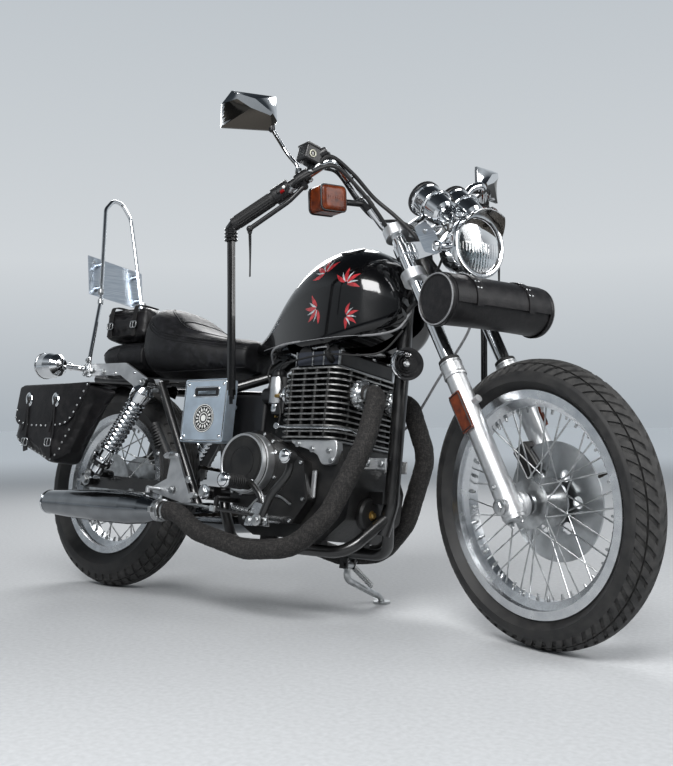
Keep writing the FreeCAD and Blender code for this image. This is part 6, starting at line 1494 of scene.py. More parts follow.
def make_headlight():
    """A fluted glass over a bright dish and its bulb shield, held by a rolled rim."""
    place = at(LAMP_FACE, AHEAD, UP)
    form = Form()
    outer, inner = [], []
    for i in range(GLASS_RINGS + 1):
        share = i / GLASS_RINGS
        front = LENS_BULGE * (1 - share ** 2.2)
        fade = min(1.0, (1 - share) * 6)
        outer.append([])
        inner.append([])
        for p in circle(LENS_RADIUS * share, GLASS_COUNT):
            # narrow upright flutes over the lower part, front and back, and broad ones behind the upper part
            low = p.x < FLUTES_TOP
            depth, pitch = (2.0, 9) if low else (0.3, 24)
            flute = depth * abs(math.sin(math.pi * p.y / pitch)) * fade
            outer[-1].append(Vector((p.x, p.y, front + (0.5 * flute if low else 0))))
            inner[-1].append(Vector((p.x, p.y, front - GLASS_THICK - flute)))
    form.rings(inner[::-1] + outer, place)
    glass = form.make("headlight_glass", "steering", "glass", FORK, angle=60)
    form = Form()
    bowl = [(LENS_RADIUS * s, -11.4 + 8.4 * s ** 2) for s in (0.1, 0.25, 0.4, 0.55, 0.7, 0.85, 0.97)]
    form.lathe([(0.2, -11.6)] + bowl + [(LENS_RADIUS - 0.2, -3.2), (LENS_RADIUS - 0.2, -11.8), (0.2, -11.8)],
               place, 72, ends=False)
    form.lathe([(9, -11), (9, -5), (6, -2.6), (0.01, -2)], place, 28, 1)
    dish = form.make("headlight_dish", "steering", ("dish", "chrome"), FORK)
    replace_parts(glass, "headlight_lens")
    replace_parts(dish, "headlight_lens")
    form = Form()
    lens, lamp_edge = LENS_RADIUS, LAMP_RADIUS
    form.lathe([(lens - 1, 0.6), (lens + 1, 4.5), (lens + 5, 6), (lamp_edge - 1, 5.2), (lamp_edge + 1.2, 2),
                (lamp_edge + 1.4, -4), (lamp_edge + 1.4, -12), (lamp_edge + 0.2, -15), (lamp_edge - 2, -15)],
               place, 96, ends=False)
    form.lathe([(lens - 2.6, 0.4), (lens - 0.4, 2.6), (lens + 1, 1)], place, 96, 1, ends=False)
    plate = rounded([(1150, 1004), (1192, 1012), (1228, 978), (1246, 938), (1229, 922), (1187, 936)], 6, 3)
    for side in (-1, 1):
        out = SIDE * side
        form.rings([flat(plate, side * y) for y in (83.6, 86.2)], slot=2)
        form.lathe([(11.5, 0), (12.5, 2), (12.5, 10), (8, 14), (0.01, 14.5)],
                   at((1243.5, side * 90, 940), out), 28)
        form.hexagon(at((1192, side * 86, 986), out), 5, 4, 3)
    form.make("headlight_rim", "steering", ("chrome", "grip", "sheet", "zinc"), FORK)


DIAL_SWEEP = 270  # degrees


def dial_marks(form, place, slot, radius, count):
    """Long and short ticks round a dial, with no figures."""
    for i in range(count + 1):
        turn = place @ Matrix.Rotation(math.radians(DIAL_SWEEP * (i / count - 0.5)), 4, "Z")
        length, half = (5, 0.5) if i % 5 else (9, 0.9)
        form.block((radius - length, -half, 0), (radius, half, 0.5), 0.1, turn, slot)


def make_dials():
    """Black bezels, plain ticked faces, needles and flat glasses, with the lamps' pod between them."""
    form, panes = Form(), Form()
    for side, ticks in ((-1, 30), (1, 40)):
        place = at(GAUGE_FOOT + SIDE * side * 48, GAUGE_FACING, UP)
        form.lathe([(42, 93), (45, 93.6), (46, 95), (46, 102), (45, 105), (40, 106), (38, 104), (37.5, 100)],
                   place, 64, ends=False)
        form.lathe([(0.2, 99), (37.4, 99), (37.4, 99.6), (0.2, 99.6)], place, 56, 1, ends=False)
        marks = place @ Matrix.Translation((0, 0, 99.6))
        dial_marks(form, marks, 2, 35, ticks)
        needle = marks @ Matrix.Rotation(math.radians(-128), 4, "Z")
        form.block((-6, -0.9, 1.2), (28, 0.9, 2.0), 0.3, needle, 3)
        form.lathe([(4, 0.4), (4, 2.6), (0.01, 3)], marks, 20)
        panes.lathe([(0.2, 103), (38.4, 103), (38.4, 104.2), (0.2, 104.2)], place, 56, ends=False)
        form.lathe([(41, 44), (44.8, 46), (45.6, 48), (44.8, 50), (42, 52)], place, 56, 4, ends=False)
        form.lathe([(20, -1.4), (21, 0.5), (24, 0.5), (25, -1.4)], place, 48, 4, ends=False)
        form.lathe([(9, -16), (9.5, -14), (9.5, 0)], place @ Matrix.Translation((-14, 0, 0)), 24, 4)
        for spot in circle(16, 3, math.radians(60)):
            under = place @ Matrix.Translation(spot - UP * 0.4)
            form.dome(under @ Matrix.Rotation(math.pi, 4, "X"), 2.6, 2.2, 5)
    pod = at((1176, 0, 1062), GAUGE_FACING, UP)
    form.block((-34, -9, -6), (30, 9, 16), 4, pod)
    for x, slot in ((-22, 6), (-4, 7), (14, 8)):
        form.dome(pod @ Matrix.Translation((x, 0, 15.5)), 6, 4, slot, 20)
    keys = ("plastic", "dial", "dial_mark", "needle", "chrome", "zinc", "green_lens", "amber", "red")
    form.make("dials", "steering", keys, FORK)
    panes.make("dial_glasses", "steering", "glass", FORK)


def make_mirrors():
    """Silvered glass on each head's rear face in a thin black rim, and the ball under it."""
    form = Form()
    outline = [(-0.29, 0.49), (0.49, 0.38), (0.50, -0.26), (0.40, -0.51), (-0.50, -0.48), (-0.47, 0.14)]
    soft = rounded([(a * MIRROR_WIDE, b * MIRROR_HIGH) for a, b in outline], 12, 5)
    yaw = math.radians(22)
    for side, drop in ((-1, 0), (1, 88)):
        centre = sided((900, -408, 1320 - drop), side)
        facing_out = sided((math.cos(yaw), -math.sin(yaw), 0), side)
        across = sided((math.sin(yaw), math.cos(yaw), 0), side)
        for scale, off, thick, slot in ((0.985, -1.2, 1.6, 1), (0.93, -1.8, 1.2, 0)):
            rings = [[centre + across * a * scale + UP * b * scale + facing_out * lift for a, b in soft]
                     for lift in (off, off + thick)]
            form.rings(rings, slot=slot)
        hold = centre + across * MIRROR_WIDE * 0.40 - UP * MIRROR_HIGH * 0.46 + facing_out * 6
        form.lathe([(5, -9), (8, -6), (9, 0), (8, 6), (5, 9)], at(hold, UP), 24, 1)
    form.make("mirror_glasses", "steering", ("mirror", "plastic"), FORK)


def rod_ring(form, spot, along, radius, half, slot, count=28, edge=1.0):
    """A collar round a bar: a short lathe with bevelled edges."""
    form.lathe([(radius - edge, -half), (radius, -half + edge), (radius, half - edge), (radius - edge, half)],
               at(spot, along), count, slot)


def make_controls():
    """Ribbed grips, switch buttons, clamp screws, the fluid box's cap and sight glass, and the bar's clamps."""
    form = Form()
    for side in (-1, 1):
        end, inward = sided(GRIP_END, side), sided(GRIP_INWARD, side)
        perch = sided(PERCH, side)
        line = at(end, inward)
        for spot in circle(GRIP_RADIUS - 0.4, GRIP_RIBS):
            form.sweep([line @ (spot + UP * 8), line @ (spot + UP * 112)], 1.5)
        form.lathe([(8, -6), (14, -5), (17.6, -2), (17.6, 3), (16, 4)], line, 36, 1)
        for far in (124, 146, 168):
            rod_ring(form, end + inward * far, inward, 22.6, 1.6, 2, 36)
        pod = at(end + inward * 149, inward, UP)
        form.block((-6, 15, -14), (6, 26, 14), 2, pod, 2)
        form.block((-10, 17, -6), (-2, 27, 6), 1.5, pod, 3 if side < 0 else 4)
        form.dome(pod @ Matrix.Translation((0, 25, 9)) @ Matrix.Rotation(-math.pi / 2, 4, "X"), 4.5, 4, 5)
        for far in (-9, 9):
            form.socket(at(perch + inward * far - UP * 17, -UP), 3.4, 4, 6)
        rod_ring(form, perch, inward, 18.8, 13.5, 2, 32, 2)
        form.hexagon(at(perch + AHEAD * 40 + UP * 8, UP), 6, 5, 6)
        form.dome(at(perch + AHEAD * 40 - UP * 12, -UP), 5, 5, 6)
        # clamps on the risers, each with four screws
        rod_ring(form, (RISER_X, side * 45, 1017.7), SIDE, 18.5, 13.4, 7, 40, 2)
        for x in (-14, 14):
            for y in (-7, 7):
                form.socket(at((RISER_X + x, side * 45 + y, 1028.6), UP), 4, 5, 6)
        for y, z in ((150, 1089), (196, 1137)):
            rod_ring(form, (RISER_X, side * y, z), (0, side * -143, -150), 13.2, 2, 1, edge=0.6)
    box = PERCH + GRIP_INWARD * 30 + Vector((6, 0, 37))
    turn = Matrix.Translation(box) @ Matrix.Rotation(math.radians(-18), 4, "X")
    form.block((-25, -35, 16), (25, 35, 24), 2.5, turn, 2)
    for x in (-19, 19):
        for y in (-29, 29):
            form.dome(turn @ Matrix.Translation((x, y, 23.5)), 3, 1.8, 6)
    face = turn @ Matrix.Translation((23, -14, -2)) @ facing(AHEAD, UP)
    form.lathe([(5.6, -1), (9.5, 0), (9.8, 2), (7.6, 3), (6.4, 1.6)], face, 32, 8, ends=False)
    form.dome(face, 6.6, 1.6, 9, 24)
    knob = PERCH + GRIP_INWARD * 66 + Vector((4, 0, 30))
    form.lathe([(10, -14), (12, -12), (12, 6), (10, 9), (0.01, 9.5)], at(knob, GRIP_INWARD), 28, 2)
    form.hexagon(at(on_axis(1145.5), STEER_LINE), 15, 9, 7)
    for side in (-92, 92):
        form.lathe([(15, 0), (16, 1), (16, 5), (12, 9), (0.01, 9.5)],
                   at(on_axis(1131.5, 37, side), STEER_LINE), slot=7)
        form.hexagon(at(on_axis(1140, 37, side), STEER_LINE), 9, 4, 6, False)
        for along in (978, 1118):
            spot = on_axis(along, 7, side)
            form.socket(at(spot, -STEER_AHEAD), 5, 6, 6)
    keys = ("grip", "plastic", "plastic", "red", "dial_mark", "dial_mark", "zinc", "chrome", "pale_ring",
            "dark_glass")
    form.make("bar_fittings", "steering", keys, FORK)


def make_fork_fittings():
    """Dust seals, clips, drain screws, axle nuts, pinch nuts, caliper bolts and the brake hose's unions."""
    form = Form()
    axle = Vector((WHEELBASE, 0, FRONT_RADIUS))
    for side in (-1, 1):
        leg = axle + SIDE * side * 92
        top = leg + STEER_LINE * 373
        for slot, profile in enumerate(([(18.4, -1), (25.5, -1), (26.5, 1), (26, 9), (20, 13), (18.4, 13)],
                                        [(25.6, -7), (27.8, -6), (27.8, -3), (25.6, -2)],
                                        [(27, -40), (28, -38), (28, -33), (27, -31)])):
            form.lathe(profile, at(top, STEER_LINE), 40, slot, ends=False)
        form.hexagon(at(leg + STEER_LINE * 46 + SIDE * side * 26, SIDE * side), 5.5, 5, 1)
        form.lathe([(17, 0), (18, 2), (18, 5), (15, 7)], at(leg + SIDE * side * 29, SIDE * side), 32, 1)
        form.hexagon(at(leg + SIDE * side * 30, SIDE * side), 12, 10, 1, False)
        for ahead in (-17, 17):
            spot = leg - STEER_LINE * 33 + STEER_AHEAD * ahead
            form.lathe([(4, 0), (4, 14), (0.01, 15)], at(spot, -STEER_LINE), 14, 1)
            form.hexagon(at(spot - STEER_LINE * 2, -STEER_LINE), 6, 6, 1)
    # the speedometer drive beside the hub, and the caliper's bolts and lines
    form.lathe([(24, -4), (30, -3), (31, 0), (31, 9), (26, 12), (20, 12)], at(axle - SIDE * 58, -SIDE), 40, 2)
    turn = math.radians(128)
    spot = axle + Vector((122 * math.cos(turn), 54, 122 * math.sin(turn)))
    for along in (118, 158):
        root = axle + SIDE * 92 + STEER_LINE * along
        form.hexagon(at((spot.x + 6, spot.y + 27, root.z - 4), SIDE), 7, 6, 1)
    body = Matrix.Translation(spot) @ Matrix.Rotation(math.radians(-38), 4, "Y")
    form.lathe([(17, 0), (18, 2), (18, 6), (14, 9), (0.01, 9.5)], at(body @ Vector((0, 26, 8)), SIDE), 32, 3)
    form.block((-20, 25, -34), (20, 29, -14), 2, body, 3)
    for x in (-15, 15):
        form.socket(at(body @ Vector((x, 29, -24)), SIDE), 4, 4, 1)
    form.make("fork_fittings", "steering", ("grip", "zinc", "cast", "engine"), FORK)


def reflector_frame():
    """Thin black frames round the side reflectors."""
    form = Form()
    for side in (-1, 1):
        middle = Vector((1335.5, side * 124.4, 537))
        corners = rounded([(-17, -44), (17, -44), (17, 44), (-17, 44)], 6, 4)
        outline = [middle + STEER_AHEAD * a + STEER_LINE * b for a, b in corners]
        form.sweep(outline, 1.5, loop=True)
    form.make("reflector_frames", "steering", "plastic", FORK)


def make_signals():
    """Ribbed amber lenses with dark rims on the front lamps, and the collars of their stalks."""
    form = Form()
    for side in (-1, 1):
        centre = Vector((1028.4, side * 262, 1078.7))
        for front in (-1, 1):
            face = at(centre + AHEAD * front * 27, AHEAD * front, UP)
            rim = [Vector((x, y, 0)) for x, y in rounded([(-32, -37), (32, -37), (32, 37), (-32, 37)], 13, 5)]
            form.sweep([face @ p for p in rim], 2.4, slot=1, loop=True)
            form.rings([[p * scale + UP * lift for p in rim]
                        for lift, scale in ((-1.5, 0.97), (4, 0.95), (7.5, 0.84), (8.5, 0.66))], face)
            for y in range(-28, 29, 7):
                reach = 25 - abs(y) * 0.12
                form.sweep([face @ Vector((x, y, 7.6 - abs(x) * 0.05)) for x in (-reach, 0, reach)], 1.3)
        rod_ring(form, (RISER_X, side * 150, 1089), (0, side * -143, 150), 17.4, 9, 2, 32, 1.5)
    form.make("signal_lenses", "steering", ("amber", "plastic", "chrome"), FORK)


# The runs of the cables from their upper fittings down, in upright fork millimetres
BRAKE_RUN = ((1046, -262, 1186), (1052, -200, 1150), (1060, -140, 1092), (1100, -104, 1040), (1140, -70, 980),
             (1180, -44, 900), (1200, 10, 850), (1230, 60, 800), (1262, 82, 720), (1300, 88, 620), (1340, 92, 520),
             (1372, 92, 470))
SPEEDOMETER_RUN = ((1228, -48, 1014), (1236, -50, 984), (1226, -56, 930), (1196, -66, 860), (1212, -74, 780),
                   (1268, -70, 660), (1330, -66, 540), (1392, -62, 430), (1436, -66, 354))
SECOND_DIAL_RUN = ((1228, 48, 1014), (1238, 50, 986), (1222, 56, 940), (1180, 60, 900), (1150, 62, 880))
THROTTLE_RUN = ((1010, -330, 1128), (1054, -262, 1160), (1066, -196, 1112), (1072, -140, 1052), (1078, -104, 1000),
                (1082, -64, 950), (1078, -40, 900))
WIRING_RUN = ((1026, -270, 1160), (1022, -222, 1152), (1018, -160, 1088), (1024, -108, 1046), (1076, -74, 1034),
              (1124, -50, 1000), (1150, -38, 950), (1152, -34, 900))
CLUTCH_RUN = ((1058, 262, 1160), (1064, 190, 1110), (1072, 130, 1052), (1106, 104, 1000), (1140, 92, 940))


def cable(name, points, radius, key, body="steering", tips=()):
    """A sheathed cable, with ferrules at its tips."""
    form = Form()
    line = curve_through(points, 8)
    form.sweep(line, circle(radius, 8))
    for i in tips:
        a, b = line[i], line[i + 1] if i >= 0 else line[i - 1]
        form.lathe([(radius + 1.2, -2), (radius + 1.8, 0), (radius + 1.8, 14), (radius + 0.6, 17)],
                   at(a, b - a), 16, 1)
    return form.make(name, body, (key, "zinc") if body else key, FORK)


def to_fork(point):
    """A point of the frame, given in the upright bike, as upright fork millimetres at the rest angle."""
    return FORK.inverted() @ (BIKE @ Vector(point))


def make_cables():
    """Brake hose, dial cables, and the clutch, throttle and wiring runs down to the frame."""
    thick = sizes().hose_radius / MM
    lever = PERCH + GRIP_INWARD * 30
    throttle = GRIP_END + GRIP_INWARD * 158 + Vector((16, 0, -8))
    for name, points, radius, key, tips in (
            ("brake_hose", [lever + Vector((18, 0, 6)), *BRAKE_RUN], thick, "grip", (0, -1)),
            ("speedometer_cable", SPEEDOMETER_RUN, 3.4, "plastic", (0, -1)),
            ("second_dial_cable", SECOND_DIAL_RUN, 3.2, "plastic", (0,)),
            ("throttle_cable", [throttle, *THROTTLE_RUN], thick, "grip", (0,)),
            ("switch_wiring", WIRING_RUN, 4.2, "plastic", ()),
            ("clutch_cable", [flip(lever + Vector((26, 0, -4))), *CLUTCH_RUN], 3.6, "grip", (0,)),
            ("switch_wiring_left", [flip(p) for p in WIRING_RUN], 4.2, "plastic", ())):
        cable(name, points, radius, key, tips=tips)
    # the runs from the steering across to the frame, built once at the steering's rest angle and left on neither
    # body
    for name, points, radius, key in (
            ("throttle_cable_lower", [(1078, -40, 900), (1082, -52, 850), to_fork((1040, -78, 770)),
                                      to_fork((980, -100, 722))], 3.6, "grip"),
            ("clutch_cable_lower", [(1140, 92, 940), (1160, 88, 860), (1150, 90, 760), to_fork((1096, 88, 640)),
                                    to_fork((1010, 96, 520)), to_fork((900, 120, 470))], 3.6, "piping"),
            ("harness", [(1152, -34, 900), (1142, -36, 850), to_fork((1082, -46, 800)),
                         to_fork((1030, -50, 740))], 6, "grip")):
        made = cable(name, points, radius, key, None)
        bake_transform(made)


class CRUISER_OT_front_trim(bpy.types.Operator):
    """Adds the lamp's glass, dials, mirrors, grips, switches, fork fittings, signals and cables"""
    bl_idname = "cruiser.front_trim"
    bl_label = "Steering fittings"

    def execute(self, context):
        make_headlight()
        make_dials()
        make_mirrors()
        make_controls()
        make_fork_fittings()
        reflector_frame()
        make_signals()
        make_cables()
        return {"FINISHED"}

# Fasteners, lenses, pegs and plates behind the engine

SHOCK_TOP, SHOCK_FOOT = Vector((256, 0, 606)), Vector((62, 0, 336))
PEG_ROOT, PEG_TIP = Vector((392, 0, 396)), Vector((349, 0, 480))
PEG_RIBS = 8
RIDER_PEG = (738, 325)  # x and z
MUFFLER = (220, 240)  # y and z
LAMP_END = Vector((-322, 0, 546))
STAND_PIVOT, STAND_FOOT = Vector((836, 108, 148)), Vector((866, 190, 84))
HORN, HORN_WAY = Vector((1098, -66, 650)), Vector((0.86, -0.5, 0))


def refinish(node, key, test, place=None):
    """Gives another finish to the faces of a node whose middle, in a place's millimetres, passes the test."""
    mesh = frame["nodes"][node].data
    inverse = (place or BIKE).inverted()
    mesh.materials.append(finish(key))
    slot = len(mesh.materials) - 1
    for face in mesh.polygons:
        if test(inverse @ face.center, inverse.to_3x3() @ face.normal):
            face.material_index = slot


def refinish_nodes():
    """Rubber, bright plates, dark stalks, and a painted dark reflection on the downward faces of the mirrors and
    the lamp's visor, on the nodes themselves.
    """
    refinish("front_signals", "plastic", lambda p, n: abs(p.y) < 226, FORK)
    # the downward faces of the mirror heads and of the lamp's visor take the painted dark reflection of the ground
    refinish("mirrors", "chrome_painted_dark_below", lambda p, n: n.z < -0.12 and abs(p.y) > 320, FORK)
    refinish("headlight_shell", "chrome_painted_dark_below", lambda p, n: n.z < -0.55 and p.x > 1289, FORK)
    refinish("rider_pegs", "polished", lambda p, n: abs(p.y) < 223)
    refinish("rider_pegs", "grip", lambda p, n: abs(p.y) > 232)
    refinish("passenger_pegs", "grip", lambda p, n: p.z > 412 and abs(p.y) > 188)
    refinish("foot_controls", "grip", lambda p, n: p.y > 236 and p.x > 900)
    refinish("foot_controls", "grip", lambda p, n: p.y < -224 and p.z > 372)
    refinish("rear_signals", "amber", lambda p, n: p.x < -210)


def make_shock_fittings():
    """Eye bolts, rubber bushes, spring seats and the notched preload rings."""
    form = Form()
    along = (SHOCK_TOP - SHOCK_FOOT).normalized()
    for side in (-1, 1):
        out = SIDE * side
        for end in (SHOCK_TOP, SHOCK_FOOT):
            eye = end + out * 188
            form.lathe([(8, 0), (12, 0), (12.5, 2), (9, 3)], at(eye, out), 28)
            form.hexagon(at(eye + out * 2, out), 8, 8, 1)
            form.dome(at(eye + out * 11, out), 6, 4, 1)
        foot = SHOCK_FOOT + out * 168
        form.lathe([(29, 0), (32, 1), (32, 7), (29, 9)], at(foot + along * 54, along), 40, 2)
        form.lathe([(20, 0), (30, 1), (30, 14), (24, 16)], at(foot + along * 36, along), 40, 3)
        turn = at(foot + along * 38, along)
        for k in range(8):
            form.block((29, -3, 0), (31.5, 3, 9), 0.8, turn @ Matrix.Rotation(math.pi / 4 * k, 4, "Z"), 1)
        form.lathe([(29.4, 0), (32.5, 1), (32.5, 16), (30, 18), (26, 20)], at(foot + along * 288, along), 40, 2)
    form.make("shock_fittings", "frame", ("grip", "zinc", "chrome", "plastic"))


def make_body_bolts():
    """Bolts of the fender struts, bag stays, seat tube, swing arm and hangers."""
    form = Form()
    bolt = sizes().bolt_radius / MM
    for side in (-1, 1):
        out = SIDE * side
        for x, z in ((-90, 668), (-52, 664), (0, 656), (232, 606)):
            form.hexagon(at((x, side * 136, z), out), bolt)
        for x in (-96, 60, 150):
            form.dome(at((x, side * 136, 652 - abs(x) * 0.02), out), 4.5, 3.5, 1)
        form.lathe([(20, 0), (21, 2), (21, 5), (17, 7)], at((520, side * 148, 300), out), 36, 1)
        form.hexagon(at((520, side * 153, 300), out), 13, 9, washer=False)
        form.lathe([(17, 0), (18, 2), (18, 4)], at((0, side * 147, 318), out))
        form.hexagon(at((0, side * 150, 318), out), 13, 10, washer=False)
        # chain adjuster: an end plate, its stud and two nuts
        form.block((-34, side * 126 - 20, 299), (-27, side * 126 + 20, 337), 1.5)
        form.lathe([(3.6, 0), (3.6, 46), (0.01, 47)], at((-24, side * 126, 318), -AHEAD), 14)
        for x in (-34, -43):
            form.hexagon(at((x, side * 126, 318), -AHEAD), 7, 6, washer=False)
        # passenger hanger: two bolts, the peg's pin, its ribs and its end
        for x, z in ((416, 300), (480, 330)):
            form.hexagon(at((x, side * 176, z), out), bolt, 6)
        form.dome(at((PEG_ROOT.x, side * 218, PEG_ROOT.z), out), 6)
        peg = (PEG_TIP - PEG_ROOT).normalized()
        for k in range(PEG_RIBS):
            middle = PEG_ROOT + out * 206 + peg * (22 + 9 * k)
            form.lathe([(12.6, -2.4), (14.6, -1.4), (14.6, 1.4), (12.6, 2.4)], at(middle, peg), 28, 2)
        # rider's peg: ribs, a bright end knob, its pin and the bracket's two bolts
        x, z = RIDER_PEG
        for k in range(PEG_RIBS):
            form.lathe([(16.8, -2.2), (18.6, -1.2), (18.6, 1.2), (16.8, 2.2)],
                       at((x, side * (240 + 7.4 * k), z), out), 32, 2)
        knob = [(16, 0), (19, 1), (19.5, 4), (18, 9), (13, 13), (6, 15), (0.01, 15.4)]
        form.lathe(knob, at((x, side * 297, z), out), 36, 1)
        outline = rounded([(754, 218), (836, 222), (822, 270), (786, 280)], 8, 3)
        form.rings([flat(outline, side * y) for y in (228, 232.4)], slot=3)
        for x, z in ((771, 231), (822, 234)):
            form.hexagon(at((x, side * 232.4, z), out), bolt, 5.5)
        form.lathe([(10, -11), (11, -10), (11, 10), (10, 11)], at((RIDER_PEG[0], side * 224, RIDER_PEG[1])), 24)
        # muffler: clamp band, its bolt, the hanger's bolt and a rolled lip at the outlet
        y, z = side * MUFFLER[0], MUFFLER[1]
        clamp = Vector((430, y, z))
        form.lathe([(28.6, -9), (31, -8), (31, 8), (28.6, 9)], at(clamp, AHEAD), 44)
        form.block((-8, 28, -6), (8, 42, 6), 1.5, at(clamp, AHEAD, UP))
        form.hexagon(at(clamp + out * 6 + UP * 35, out), 5.5, 6)
        form.lathe([(34.5, -3), (36.4, -1.5), (36.4, 1.5), (34.5, 3)], at((-68, y, z), AHEAD), 48, 1)
        form.hexagon(at((300, y, 287)), 7)
    form.make("body_bolts", "frame", ("zinc", "chrome", "grip", "polished"))


def make_brake_linkage():
    """The pedal's domed pad end, its return spring, the long bright rod to the rear drum and its fork ends."""
    form = Form()
    right = -SIDE
    form.dome(at((894, -262, 392), right), 16, 9, count=32)
    form.lathe([(17, -1), (18, 0), (18, 3), (16, 4)], at((894, -258, 392), right))
    form.lathe([(14, 0), (15, 1), (15, 5), (11, 7)], at((810, -244, 234), right), slot=1)
    form.hexagon(at((810, -250, 234), right), 8, 6, 1, False)
    rod = [Vector(p) for p in ((650, -232, 254), (560, -212, 262), (300, -186, 262), (120, -150, 250),
                               (28, -128, 240))]
    form.sweep(bent(rod, 60), 3.6, slot=1)
    for end, way in ((rod[0], rod[1] - rod[0]), (rod[-1], rod[-2] - rod[-1])):
        place = at(end, way, UP)
        form.block((-8, -7, -6), (8, -3, 18), 1, place, 1)
        form.block((-8, 3, -6), (8, 7, 18), 1, place, 1)
        form.lathe([(6, -9), (6.5, -8), (6.5, 8), (6, 9)], place @ Matrix.Rotation(math.pi / 2, 4, "X"), 18, 1)
    form.sweep([Vector((716 + t * 58, math.cos(t * 44) * 5 - 240, math.sin(t * 44) * 5 - t * 6 + 262))
                for t in (i / 110 for i in range(111))], circle(1.3, 6), slot=1)
    form.make("brake_linkage", "frame", ("chrome", "zinc"))


def make_side_panels():
    """Rolled edges, corner screws, the slot's lip and a plain turned rosette of rings and rays."""
    form = Form()
    for side in (-1, 1):
        out = SIDE * side
        face = Matrix.Translation((0, side * 165, 0))
        for corners, corner, thick in (([(419, 440), (578, 440), (578, 608), (419, 608)], 10, 2.2),
                                       ([(455, 562), (551, 562), (551, 590), (455, 590)], 7, 1.6)):
            form.sweep([face @ p for p in flat(rounded(corners, corner, 4))], thick, loop=True)
        for x in (430, 567):
            for z in (452, 597):
                form.dome(at((x, side * 165, z), out), 5, 3.4, 0, 20)
        rosette = at((500, side * 165, 502), out, UP)
        form.lathe([(40, 0.1), (40, 0.5), (0.01, 0.5)], rosette, 64, 2)
        for radius, wide in ((37, 2.0), (32.4, 1.2), (14, 2.2)):
            form.lathe([(radius, 0), (radius, 0.9), (radius + wide, 0.9), (radius + wide, 0)], rosette, 64, 1)
        for k in range(16):
            ray = rosette @ Matrix.Rotation(math.pi / 8 * k, 4, "Z")
            half = 3.4 if k % 2 else 2.2
            lance = [(17.6, 0), (24, half), (31, 0), (24, -half)]
            form.rings([[ray @ Vector((x, y, z)) for x, y in lance] for z in (0.1, 0.9)], slot=1)
        form.lathe([(9, 0.1), (9, 0.9), (0.01, 0.9)], rosette, 32, 1)
        form.block((457, -0.4, 564), (549, 0.7, 588), 0.3, face, 2)
        form.block((468, -0.4, 569), (538, 1.6, 579), 0.5, face, 3)
    form.make("side_panel_fittings", "frame", ("chrome", "dial_mark", "plastic", "cover_sheet"))


def make_rear_lamps():
    """Bullet rims and lenses, the tail lamp's rim and screws, the plate's bolts, the hoop's clips."""
    form = Form()
    for side in (-1, 1):
        out = SIDE * side
        form.lathe([(36, -5), (42.5, -4), (43, 0), (41, 3), (37, 4)], at((-216, side * 200, 672), -AHEAD), 48)
        lens = at((-213, side * 200, 672), -AHEAD)
        form.lathe([(36, 2), (34, 6), (27, 10), (14, 12.4), (0.01, 13)], lens, 48, 1)
        for radius in (12, 20, 28):
            form.lathe([(radius, 10.5), (radius + 1, 12.6 - radius * 0.09), (radius + 2, 10.5)], lens, 48, 1)
        form.lathe([(10, 0), (11, 2), (11, 8), (9, 10)], at((-128, side * 162, 672), out), 28)
        form.dome(at((-160, side * 150, 690), out))
        for z in (655, 694):
            form.hexagon(at((-66, side * 150, z), out), 7, 5, 3)
        for x, z in ((-119, 905), (-124, 940)):
            form.lathe([(8.4, -8), (9.4, -7), (9.4, 7), (8.4, 8)],
                       at((x, side * 92, z), (-97, side * -36, 391)), 24, 3)
    # the tail lamp: a chrome rim, its ribs and two screws
    form.lathe([(40, -6), (45.5, -5), (46, 0), (44, 4), (40, 5)], at(LAMP_END, -AHEAD), 56)
    for y in range(-26, 27, 13):
        reach = math.sqrt(39 ** 2 - y * y)
        rib = [LAMP_END + Vector((x, y, z)) for x, z in ((-9.5, -reach), (-10.5, 0), (-9.5, reach))]
        form.sweep(rib, 1.2, slot=2)
    for y in (-33, 33):
        form.dome(at((-330, y, 560), -AHEAD), 4, 3, 3)
    # the number plate stays blank, with its four bolts
    for z in (948, 1048):
        for y in (-92, 92):
            form.dome(at((-148 - 36 * (z - 930) / 136, y, z), (-0.97, 0, -0.25)), 5.5, 3, 3, 20)
    form.make("rear_lamp_fittings", "frame", ("chrome", "amber", "red", "zinc"))


def make_stand_spring_and_horn():
    """The side stand's spring and pivot bolt, and the horn's rolled rim, grille rings and middle bolt."""
    form = Form()
    way = STAND_FOOT - STAND_PIVOT
    turn = at(STAND_PIVOT, way)
    coils = 170
    form.sweep([turn @ Vector((7 * math.cos(0.62 * i), 7 * math.sin(0.62 * i), way.length * i / coils))
                for i in range(coils)], circle(1.5, 6))
    form.hexagon(at((836, 133, 148), SIDE), 9, 8)
    # the rings lie on the horn's own face, which a ray finds
    hit = surface_of(frame["nodes"]["horn"]).ray_cast(
        BIKE @ (HORN + HORN_WAY * 300), (BIKE.to_3x3() @ -HORN_WAY).normalized())[0]
    face = at(BIKE.inverted() @ hit if hit else HORN, HORN_WAY, UP)
    for radius, slot in ((40, 1), (31, 2), (23, 2), (15, 2)):
        form.lathe([(radius - 1.6, -1), (radius, 1.6), (radius + 1.6, -1)], face, 56, slot)
    form.hexagon(face)
    form.make("stand_spring_and_horn", "frame", ("zinc", "chrome", "plastic"))


class CRUISER_OT_rear_trim(bpy.types.Operator):
    """Adds the bolts, peg rubbers, brake rod, side-panel edges, rear lenses and horn rings"""
    bl_idname = "cruiser.rear_trim"
    bl_label = "Body and rear fittings"

    def execute(self, context):
        refinish_nodes()
        make_shock_fittings()
        make_body_bolts()
        make_brake_linkage()
        make_side_panels()
        make_rear_lamps()
        make_stand_spring_and_horn()
        return {"FINISHED"}
# Stage

class CRUISER_OT_stage(bpy.types.Operator):
    """Sets the floor, the soft light and the camera"""
    bl_idname = "cruiser.stage"
    bl_label = "Stage"

    def execute(self, context):
        make_floor()
        make_world()
        make_lamps()
        make_camera()
        return {"FINISHED"}


HORIZON = "#B4BCC3"
WORLD_STRENGTH = 0.9
DARK_WALL = "#3A4046"
FLOOR_REACH = 40


